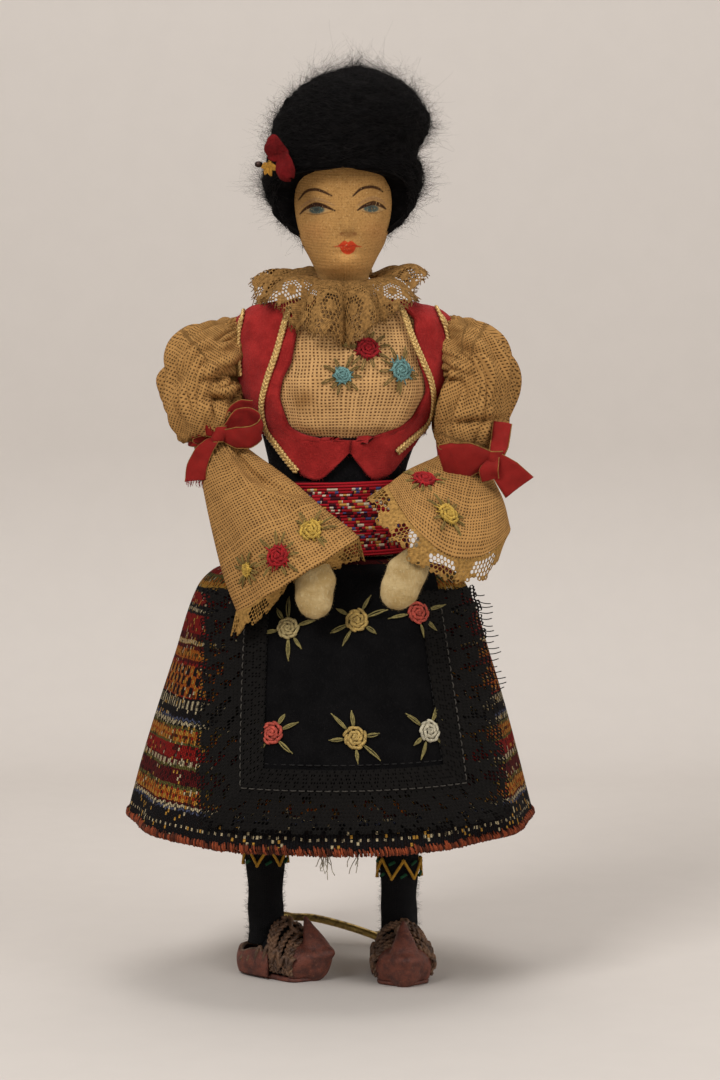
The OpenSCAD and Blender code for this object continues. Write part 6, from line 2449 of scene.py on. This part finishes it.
@dataclass
class Skirts:
    """Everything below the waist that hangs: petticoat, woven skirt, hem, apron and the wire stand."""

    figure: Figure
    body_name: str = "trunk"
    fold_deep: float = 1.6
    folds: int = 12
    apron_low: float = 57.5
    apron_long: float = 57.0
    apron_wide: float = 60.0
    apron_top: float = 50.0
    border: float = 15.0
    lap: float = 6.5
    wire: float = 2.2

    def build(self) -> None:
        """Make every piece, inside first."""
        self.petticoat()
        self.skirt()
        self.hem()
        self.apron()
        self.border_lace()
        self.stand()

    def fold(self, a: Any, z: Any) -> Points:
        """How far the skirt folds in at a place.

        Args:
            a: angles round it, from the front.
            z: heights.

        Returns:
            Distances, inwards below 0.
        """
        f = self.figure
        share = (f.waist_z - z) / f.skirt_long
        clear = np.sqrt(np.clip(1 - np.maximum(0, cosines(a - f.twist)), 0, 1))
        return -self.fold_deep * share * clear * (0.5 - 0.5 * cosines(self.folds * a))

    def wool(self, a: Any, z: Any, off: Any = 0.0) -> Points:
        """Points of the skirt with its folds and unevenness.

        Args:
            a: angles round it, from the front.
            z: heights.
            off: distance outside it.

        Returns:
            The points.
        """
        a, z = np.broadcast_arrays(a, z)
        uneven = 0.5 * ripple(join(sines(a) * 9, cosines(a) * 9, z / 9), 6.0, 101)
        share = (self.figure.waist_z - z) / self.figure.skirt_long
        return self.figure.cone(a, z, off - 0.9 + self.fold(a, z) + uneven * share)

    def petticoat(self) -> None:
        """The white petticoat and its loose threads under the hem."""
        f = self.figure
        finish = Cotton("petticoat_cotton", (0.62, 0.58, 0.50)).make()
        z = np.linspace(48, 113, 40)[:, None]
        share = (f.waist_z - z) / f.skirt_long
        grid = f.cone(around(140), z, -3.1 - 1.7 * share)
        piece = cloth("white_petticoat", finish, grid, 0.5, level_map(grid, True), True)
        dress(piece, self.body_name, "petticoat", "petticoat")
        cut(piece, 310, 70, Hold.HUNG, area=16500)
        rng = np.random.default_rng(110)
        ends = Stuff()
        for a, n in ((-2.6, 10), (-1, 5), (7.2, 8), (160, 3)):
            top = f.cone(a + rng.normal(0, 0.8, n), np.full(n, 49.0), -4.2)
            drop = rng.uniform(6, 11.5, n)
            t = np.linspace(0, 1, 12)
            sway = np.cumsum(rng.normal(0, 0.35, (n, 12, 3)), 1) * t[:, None]
            path = top[:, None] + join(0, 0, -t) * drop[:, None, None] + sway
            ends.threads(path, 0.11, 4, np.array((0.60, 0.54, 0.42)) * rng.uniform(0.75, 1.05, (n, 1)))
        dress(ends.build("petticoat_threads", Thread("petticoat_thread").make()),
              self.body_name, "petticoat")

    def skirt(self) -> None:
        """The woven wool skirt."""
        f = self.figure
        n = 300
        z = np.concatenate([np.linspace(44.6, 105, 64), np.linspace(105.6, 114.5, 18)])[:, None]
        grid = self.wool(around(n), z)
        maps = join(np.linspace(-167, 167, n + 1), (z - f.hem_z) * 1.02)
        piece = cloth("wool_skirt", Striped("skirt_wool").make(), grid, 1.3, maps, True)
        dress(piece, self.body_name, "skirt_wool", "skirt")
        cut(piece, 345, 76, Hold.GATHERED, area=19500)

    def hem(self) -> None:
        """Overcast stitches of rust wool round the hem."""
        n = 640
        rng = np.random.default_rng(120)
        a = around(n) + rng.normal(0, 0.12, n)
        tall = rng.uniform(0.65, 1.3, n)
        steps = ((1.6, 0.15, 0.0), (1.0, 0.3, 0.25), (0.35, 0.3, 0.5),
                 (-0.15, -0.45, 0.65), (0.3, -1.4, 0.8), (1.2, -1.6, 1.0))
        low = self.figure.hem_z
        path = np.stack([self.wool(a + slant * 0.8, low + up * tall + rng.normal(0, 0.1, n), off)
                         for up, off, slant in steps], 1)
        shade = np.where(rng.random((n, 1)) < 0.3, 0.3, 1) * rng.uniform(0.5, 1.5, (n, 1))
        tint = np.array((0.22, 0.042, 0.013)) * shade
        stuff = Stuff()
        stuff.threads(path, 0.3 * np.array([0.6, 1, 1, 1, 0.9, 0.6]), 6, tint)
        piece = stuff.build("overcast_hem", Thread("hem_wool", rough=0.9, twist=0.8).make())
        dress(piece, self.body_name, "binding", "hem_binding")

    def half(self, z: Any) -> Points:
        """Half the apron's width at a height."""
        share = np.clip((z - self.apron_low) / self.apron_long, 0, 1) ** 1.2
        return mix(self.apron_wide, self.apron_top, share) / 2

    def apron(self) -> None:
        """The black felt apron with its stitched lines and six roses."""
        f = self.figure
        felt = Felt("apron_felt", (0.0045, 0.0042, 0.0044), (0.0028, 0.0026, 0.0028),
                    (0.011, 0.010, 0.010), 0.4, 0.0, 0.05)
        z = np.concatenate([np.linspace(self.apron_low, 105, 70), np.linspace(105.5, 113, 16)])[:, None]
        x = np.linspace(-1, 1, 110) * self.half(z)
        wave = 0.25 * ripple(join(x / 3, z / 3), 5, 130)
        grid = f.front(x, z, 0.45 + wave)
        out = normals(grid)
        piece = cloth("felt_apron", felt.make(), grid, 1.0, cloth_map(grid))
        dress(piece, self.body_name, "apron_felt", "apron")
        floss = Thread("apron_floss", rough=0.55, spread=0.55).make()
        work = Stuff()
        leaf = (0.31, 0.25, 0.085)
        cream, yellow = (0.52, 0.40, 0.18), (0.54, 0.36, 0.11)
        coral, white = (0.50, 0.08, 0.052), (0.56, 0.50, 0.36)
        spots = ((-11.3, 97.2, cream), (6.5, 99.0, yellow), (22.4, 100.8, coral),
                 (-14.9, 70.9, coral), (6.0, 70.5, yellow), (25.3, 70.7, white))
        for seed, (px, pz, colour) in enumerate(spots):
            spot = needle(work, grid, out, px, pz, 140 + seed)
            spot.rose(3.1, colour)
            spot.heap(2.6, colour, 12)
            for k in range(6):
                turn = 60 * k + 18 + 18 * math.sin(3 * seed + 2 * k)
                spot.leaf(2.9, 4.6 + 1.3 * math.sin(seed + 2 * k), 0.8, turn, leaf, 3)
        roses = dress(work.build("apron_roses", floss), self.body_name, "apron_felt")
        lines = Stuff()
        for inset, low, off, tint in ((6.5, self.apron_low + 7.4, 0.55, (0.014, 0.013, 0.013)),
                                      (0.6, self.apron_low + 1.6, 1.6, (0.075, 0.066, 0.055))):
            up = np.linspace(low, 103, 120)
            path = [f.front(-(self.half(up[::-1]) - inset), up[::-1], off),
                    f.front(np.linspace(-1, 1, 140) * (self.half(low) - inset), np.full(140, low), off),
                    f.front(self.half(up) - inset, up, off)]
            path = np.concatenate(path)
            lines.threads(stitches(path, unit(path * (1, 1, 0)), 1.5, 0.7, 0.3), 0.16, 5, tint)
        dress(lines.build("apron_stitches", floss), self.body_name, "apron_felt")
        cut(piece, 66, 62, Hold.HUNG, 3900)

    def border_lace(self) -> None:
        """Black net lace round three sides of the apron, over the skirt."""
        f = self.figure
        top, side, foot = f.waist_z - 8.0, 64.0, 76.0
        long = 2 * side + foot

        def surface(u: Points, v: Points) -> Points:
            """Points of the border at distances along and across it, from the felt outwards.

            Args:
                u: distances along.
                v: distances across.

            Returns:
                The points.
            """
            out = v - self.lap
            low = self.apron_low - out
            down = mix(top, low, np.clip(u / side, 0, 1))
            up = mix(low, top, np.clip((u - side - foot) / side, 0, 1))
            near, far = np.where(out > 0, 1.15, 1.0) * out, np.where(out > 0, 1.45, 1.0) * out
            left = f.front(-(self.half(down) + near), down, 1.0)
            across = mix(-(self.half(low) + near), self.half(low) + far, np.clip((u - side) / foot, 0, 1))
            middle = f.front(across, low, 1.0)
            right = f.front(self.half(up) + far, up, 1.0)
            p = np.where((u <= side)[:, None], left, np.where((u <= side + foot)[:, None], middle, right))
            return p + unit(p * (1, 1, 0)) * (0.22 * np.sin(u * 0.9) * np.clip(out / 8, 0, 1))[:, None]

        def hole(u: Points, v: Points) -> Points:
            """Sprays of cloth work on a net that is worn open towards its outer edge.

            Args:
                u: distances along the lace.
                v: distances across it.

            Returns:
                Size of the hole in each mesh, 0 for none.
            """
            spray = ripple(join(u, v), 3.4, 151) + 0.6 * ripple(join(u, v), 1.7, 152)
            share = np.where(u < side, 0.75, np.where(u > side + foot, 0.9, 0.3))
            net = np.where(spray > 0.8 - 1.4 * share * smooth(self.lap, self.border - 1, v), 0.74, 0.16)
            lattice = np.minimum(np.abs((u + v) % 3.2 - 1.6), np.abs((u - v) % 3.2 - 1.6))
            net = np.where(v < self.lap, np.where(lattice < 0.45, 0.0, 0.5), net)
            return np.where((v > self.border - 1.2) & ((u < side) | (u > side + foot)), 0.72, net)

        stuff = Stuff()
        lace(stuff, surface, long, self.border, 1.0, hole, scallops(self.border, 1.0, 4), False,
             (0.0064, 0.0059, 0.0058), 150)
        thread = Thread("black_lace", rough=0.95, sheen=0.0, spread=0.4, gloss=0.08).make()
        piece = thicken(stuff.build("net_lace", thread), 0.3)
        dress(piece, self.body_name, "apron_lace", "apron_lace")
        cut(piece, 220, 17, Hold.HUNG, area=3500)
        loops = Stuff()
        rng = np.random.default_rng(153)
        t = np.linspace(0, 1, 6)[:, None]
        for u in np.arange(side + foot + 34, long - 2, 1.7):
            root = surface(np.array([u]), np.array([self.border - 0.6]))[0]
            tip = root + unit((1.0, -0.15, rng.normal(0.05, 0.14))) * rng.uniform(2.6, 4.2)
            loops.threads(mix(root, tip, t) + (0, 0, -0.3) * np.sin(t * math.pi),
                          0.13, 4, (0.009, 0.008, 0.008))
        dress(loops.build("lace_picots", thread), self.body_name, "apron_lace")

    def stand(self) -> None:
        """The bent brass wire that the doll stands with, made as a tube along a curve."""
        r = self.wire / 2
        x, y = 18.2, 44.0
        points = ((x - 6, y - 3, r), (x - 1, y, r), (x + 5, y - 3, r),
                  (x + 6, y - 10, r), (x, y - 15, r), (x - 8, y - 11.5, 3.4), (2.4, y - 8, 5.2),
                  (-6, y - 6, 6.8), (-13, y - 6.5, 7.4), (-17.5, y - 9, 10.4), (-19.2, y - 11, 24),
                  (-x, y - 18, 64), (-x + 4, y - 25, 88), (-x + 6.5, 13.7, 103), (-x + 7.5, 10.2, 111))
        path = curve(points, 220)
        path[:, 2] = np.maximum(path[:, 2], r)
        stuff = Stuff()
        stuff.threads(path, r, 20)
        brass = Wire("stand_brass", (0.42, 0.29, 0.09), (0.09, 0.06, 0.03)).make()
        dress(stuff.build("brass_stand", brass), self.body_name, "stand_wire", "stand_wire")


@dataclass
class Leg:
    """One leg: stuffing, a knitted stocking and a folk shoe with a turned-up toe."""

    figure: Figure
    side: Side
    sole_long: float = 29.0
    sole_wide: float = 14.0
    sole_thick: float = 1.2
    heel: float = 6.5

    def __post_init__(self) -> None:
        """Set the place and the turn of this side's foot."""
        self.word = self.side.word
        self.body_name = f"{self.word}_leg"
        self.x = self.side.value * 18.2
        self.turn = 57.0 if self.side is Side.RIGHT else 4.0

    def build(self, linen: Finish, knit: Finish, leather: Finish,
              strap: Finish, yarn: Finish) -> None:
        """Make every piece.

        Args:
            linen: finish of the stuffed leg.
            knit: finish of the stocking.
            leather: finish of the shoe.
            strap: finish of the thongs.
            yarn: thread for the stocking's pattern.
        """
        self.stocking(linen, knit, yarn)
        self.shoe(knit, leather, strap)

    def stocking(self, linen: Finish, knit: Finish, yarn: Finish) -> None:
        """The stuffed leg and the stocking on it, with its fuzz and yellow zigzag.

        Args:
            linen: finish of the stuffing.
            knit: finish of the knitting.
            yarn: thread of the pattern.
        """
        core = Stuff()
        bone = curve([(self.x, 0, z) for z in (9.2, 40, 80, 104.8)], 40)
        core.threads(bone, np.interp(np.linspace(0, 1, 40), (0, 0.9, 0.97, 1), (3.7, 4.6, 3.6, 1.2)),
                     24, up=(1, 0, 0))
        piece = core.build(f"{self.word}_stuffed_leg", linen)
        dress(piece, self.body_name, "body_cloth", f"{self.word}_leg")
        a = around(60)
        z = np.linspace(8.6, 55, 80)[:, None]
        r = lookup(z, [(8.6, 4.9), (14, 4.75), (24, 4.9), (38, 5.5), (55, 5.8)])
        bag = 0.22 * ripple(join(sines(a) * 4, cosines(a) * 4, z / 2.2), 5, 160 + self.side.value)
        grid = join(self.x + (r + bag) * sines(a), -(r + bag) * cosines(a), z)
        piece = cloth(f"{self.word}_knit_stocking", knit, grid, 0.8, level_map(grid, True), True)
        dress(piece, self.body_name, "knit", f"{self.word}_stocking")
        cut(piece, 35, 47, Hold.STRETCHED)
        hairs = Stuff()
        fuzz(hairs, *pick(grid, normals(grid, True), 3000, 170 + self.side.value), 1.5, 0.028, 172, 1.0)
        dress(hairs.build(f"{self.word}_stocking_fuzz", knit), self.body_name, "knit")
        pattern = Stuff()
        turns = np.arange(0, 361, 30) + 10
        high, low = (35.6, 30.4) if self.side is Side.RIGHT else (31.8, 26.8)
        heights = np.where(np.arange(len(turns)) % 2 == 0, high, low)

        def yarns(angle: Points, level: Points, out: float, radius: float, tint: Colour) -> None:
            """Lay yarn on the stocking."""
            pattern.threads(join(self.x + out * sines(angle), -out * cosines(angle), level), radius, 6, tint)

        t = np.linspace(-0.06, 1.06, 12)
        for k in range(len(turns) - 1):
            yarns(mix(turns[k], turns[k + 1], t), mix(heights[k], heights[k + 1], t),
                  6.0 + 0.25 * (k % 2), 0.4, (0.55, 0.28, 0.03))
        t = np.linspace(-8, 8, 8)
        for k, angle in enumerate(turns[:-1]):
            level = low + 0.8 if k % 2 == 0 else high - 0.8
            yarns(angle + t, level + 0.06 * t, 6.0, 0.42, (0.01, 0.075, 0.03))
        dress(pattern.build(f"{self.word}_stocking_pattern", yarn), self.body_name, "knit")

    def foot_place(self, p: Points) -> Points:
        """Points of the foot's own frame, set under the leg and turned."""
        c, s = cosines(self.turn), sines(self.turn)
        return join(self.x + p[..., 0] * c - p[..., 1] * s, p[..., 0] * s + p[..., 1] * c, p[..., 2])

    def half(self, u: Any) -> Points:
        """Half width of the sole from the heel (0) to the toe (1)."""
        return (self.sole_wide * lookup(u, [(0, 0.06), (0.03, 0.22), (0.1, 0.35), (0.3, 0.43), (0.5, 0.47),
                                            (0.65, 0.5), (0.8, 0.45), (0.92, 0.3), (0.98, 0.14), (1, 0.05)]))

    def rise(self, u: Any) -> Points:
        """Height of the upper from the heel to the toe."""
        return lookup(u, [(0, 5.4), (0.2, 7.5), (0.36, 12.8),
                          (0.44, 13.4), (0.55, 11.6), (0.66, 9.2), (0.8, 8.6), (0.92, 8.2), (1, 7.2)])

    def scoop(self, u: Any, z: Any) -> Points:
        """How far the toe's ground edge lies behind its top, as at the bow of a boat."""
        return 0.2 * self.sole_long * smooth(0.6, 1, u) * np.clip(1 - np.asarray(z) / 7.7, 0, 1)

    def arch(self, u: Any, a: Any, off: Any = 0.0) -> Points:
        """Points over the foot at u, from one side of the sole (0) to the other (180).

        Args:
            u: shares of the way from the heel to the toe.
            a: angles over the foot.
            off: distance outside it.

        Returns:
            Points in the foot's own frame.
        """
        u, a, off = np.broadcast_arrays(u, a, off)
        c, s = cosines(a), np.clip(sines(a), 0, 1)
        wide = np.maximum(0.3, self.half(u) + 1.2 * np.minimum(1, 2.2 * s) * (1 - smooth(0.8, 1, u)) + off)
        x = -wide * np.sign(c) * np.abs(c) ** 0.75
        z = self.sole_thick + (self.rise(u) + off) * s ** 0.9
        return join(x, self.heel - self.sole_long * u + self.scoop(u, z), z)

    def shoe(self, knit: Finish, leather: Finish, strap: Finish) -> None:
        """The foot, the sole, the toe with its beak, the thongs and the heel piece.

        Args:
            knit: finish of the knitting.
            leather: finish of the leather.
            strap: finish of the thongs.
        """
        foot = Stuff()
        u = np.linspace(0.86, 0.03, 40)[:, None]
        a = np.linspace(0, 180, 41)
        ring = self.foot_place(self.arch(u, a, -1.1))
        foot.grid(ring, True, ends=True)
        piece = foot.build(f"{self.word}_knit_foot", knit)
        dress(piece, self.body_name, "knit", f"{self.word}_foot")
        sole = Stuff()
        v = 0.5 - 0.5 * np.cos(np.linspace(0, math.pi, 40))
        y = self.heel - self.sole_long * v + self.scoop(v, self.sole_thick)
        line = np.concatenate([join(self.half(v), y), join(-self.half(v), y)[-2:0:-1]])[::-1]
        steps = ((0.07, 0.0), (0.015, 0.15), (0.0, 0.6), (0.02, self.sole_thick),
                 (0.12, self.sole_thick + 0.25))
        rings = [np.concatenate([line * (1 - k), np.full((len(line), 1), h)], 1) for k, h in steps]
        sole.grid(self.foot_place(np.array(rings)), True, ends=True)
        piece = sole.build(f"{self.word}_leather_sole", leather)
        dress(piece, self.body_name, "sole_leather", f"{self.word}_sole")
        self.toe(leather)
        self.thongs(strap)
        self.counter(leather, strap)

    def toe(self, leather: Finish) -> None:
        """The scooped toe and its turned-up beak, melted into one skin.

        Args:
            leather: finish of the leather.
        """
        stuff = Stuff()
        u = np.linspace(1.0, 0.66, 26)[:, None]
        a = np.linspace(0, 180, 37)
        outer, inner = self.arch(u, a, 0.1), self.arch(u, a, -1.1)
        ring = np.concatenate([outer, inner[:, ::-1]], 1)
        stuff.grid(self.foot_place(ring), True, ends=True)
        y = self.heel - self.sole_long
        beak = curve([(0, y + 8.4, 1.8), (0, y + 6.8, 4.2), (0, y + 5.8, 7.5),
                      (0, y + 7.0, 11.0), (0, y + 8.4, 14.0), (0, y + 9.6, 17.0)], 30)
        steps, places = np.linspace(0, 1, 30), (0, 0.18, 0.38, 0.6, 0.8, 1)
        half = np.interp(steps, places, (3.8, 4.8, 4.5, 3.2, 1.8, 0.45))[:, None]
        thick = np.interp(steps, places, (3.9, 4.5, 4.4, 2.7, 1.4, 0.4))[:, None]
        t = unit(np.gradient(beak, axis=0))
        back = np.cross(t, (1, 0, 0))
        ring = np.linspace(0, 360, 24, endpoint=False)
        skin = (beak[:, None] + (half * cosines(ring))[..., None] * np.array((1.0, 0, 0))
                + (thick * sines(ring))[..., None] * back[:, None])
        stuff.grid(self.foot_place(skin), True, ends=True)
        piece = stuff.build(f"{self.word}_leather_toe", leather)
        apply(piece, "REMESH", mode="VOXEL", voxel_size=0.33 * MM, use_smooth_shade=True)
        apply(piece, "SMOOTH", factor=0.6, iterations=4)
        dress(piece, self.body_name, "shoe_leather", f"{self.word}_toe_cap")

    def thongs(self, strap: Finish) -> None:
        """Plaited thongs over the instep, each with a rounded edge, and the lacing that holds them.

        Args:
            strap: finish of the thongs.
        """
        stuff = Stuff()
        a = np.linspace(4, 176, 60)
        rng = np.random.default_rng(180 + self.side.value)
        for k, u in enumerate((0.42, 0.485, 0.55, 0.615, 0.675)):
            line = self.arch(u + 0.012 * np.sin(np.radians(a) * 3 + 2 * k), a, -0.55 + rng.uniform(0, 0.25))
            out = unit(self.arch(u, a, 1.0) - self.arch(u, a, 0.0))
            path = self.foot_place(line)
            plait(stuff, path, unit(self.foot_place(line + out) - path), 2.1, 1.1, 4.2, (1, 1, 1))
        piece = stuff.build(f"{self.word}_thongs", strap)
        dress(piece, self.body_name, "strap_leather", f"{self.word}_straps")
        cord = Stuff()
        for s in (1, -1):
            u = np.linspace(0.1, 0.74, 150)
            angle = 24 + 9 * np.sin(u * 62)
            p = self.arch(u, angle if s > 0 else 180 - angle, 0.75 + 0.3 * np.cos(u * 62))
            cord.threads(self.foot_place(p), 0.55, 7, up=(0, 0, 1))
        over = self.arch(np.linspace(0.4, 0.72, 40), 90 + 6 * np.sin(np.linspace(0, 9, 40)), 1.0)
        cord.threads(self.foot_place(over), 0.6, 7, up=(1, 0, 0))
        dress(cord.build(f"{self.word}_lacing", strap), self.body_name, "strap_leather")

    def counter(self, leather: Finish, strap: Finish) -> None:
        """The low heel piece and its rolled edge.

        Args:
            leather: finish of the leather.
            strap: finish of the thongs.
        """
        t = np.linspace(-1, 1, 70)
        u = 0.43 * np.abs(t) ** 1.6
        x = -np.sign(t) * (self.half(u) + 0.55 * smooth(0, 0.2, u))
        y = self.heel - self.sole_long * u + 0.2
        z = np.linspace(0, 1, 14)[:, None]
        tall = 5.6 + 0.5 * np.cos(t * 9) + 1.2 * smooth(0.5, 1, np.abs(t))
        bulge = 1 + 0.09 * np.sin(z * math.pi)
        grid = join(x * bulge, (y - 0.5) * bulge + 0.5, self.sole_thick * 0.8 + z * tall)
        piece = cloth(f"{self.word}_heel_piece", leather, self.foot_place(grid[:, ::-1]),
                      0.9, cloth_map(grid))
        dress(piece, self.body_name, "shoe_leather", f"{self.word}_counter")
        roll = Stuff()
        roll.threads(self.foot_place(grid[-1]), 0.6, 8, up=(0, 0, 1))
        dress(roll.build(f"{self.word}_heel_roll", strap), self.body_name, "strap_leather")


def main() -> None:
    """Load the frame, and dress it."""
    logging.basicConfig(level=logging.INFO, format="%(message)s")
    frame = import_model()
    Studio().build()
    figure = Figure()
    Torso(figure).build(frame["nodes"])
    Head(figure).build()
    gauze = Gauze("sleeve_gauze").make()
    ribbon = Cotton("ribbon_silk", (0.23, 0.008, 0.007), 0.3).make()
    floss = Thread("sleeve_floss", spread=0.5).make()
    cuff = Thread("cuff_lace", rough=0.95, spread=0.5, twist=0.9, sheen=0.0, gloss=0.06).make()
    felt = Felt("hand_felt", (0.44, 0.32, 0.155), (0.31, 0.205, 0.08), (0.52, 0.42, 0.24), 0.5).make()
    linen = Cotton("limb_linen", (0.55, 0.42, 0.26)).make()
    for side in Side:
        Arm(figure, side).build(gauze, ribbon, floss, cuff, felt, linen)
    Skirts(figure).build()
    knit = Knit("stocking_knit").make()
    leather = Leather("shoe_leather", (0.135, 0.034, 0.018),
                      (0.06, 0.016, 0.010), (0.22, 0.08, 0.044)).make()
    strap = Leather("strap_leather", (0.155, 0.078, 0.040), (0.05, 0.024, 0.013), (0.27, 0.15, 0.075)).make()
    yarn = Thread("stocking_yarn", rough=0.85).make()
    for side in Side:
        Leg(figure, side).build(linen, knit, leather, strap, yarn)


if __name__ == "__main__":
    main()
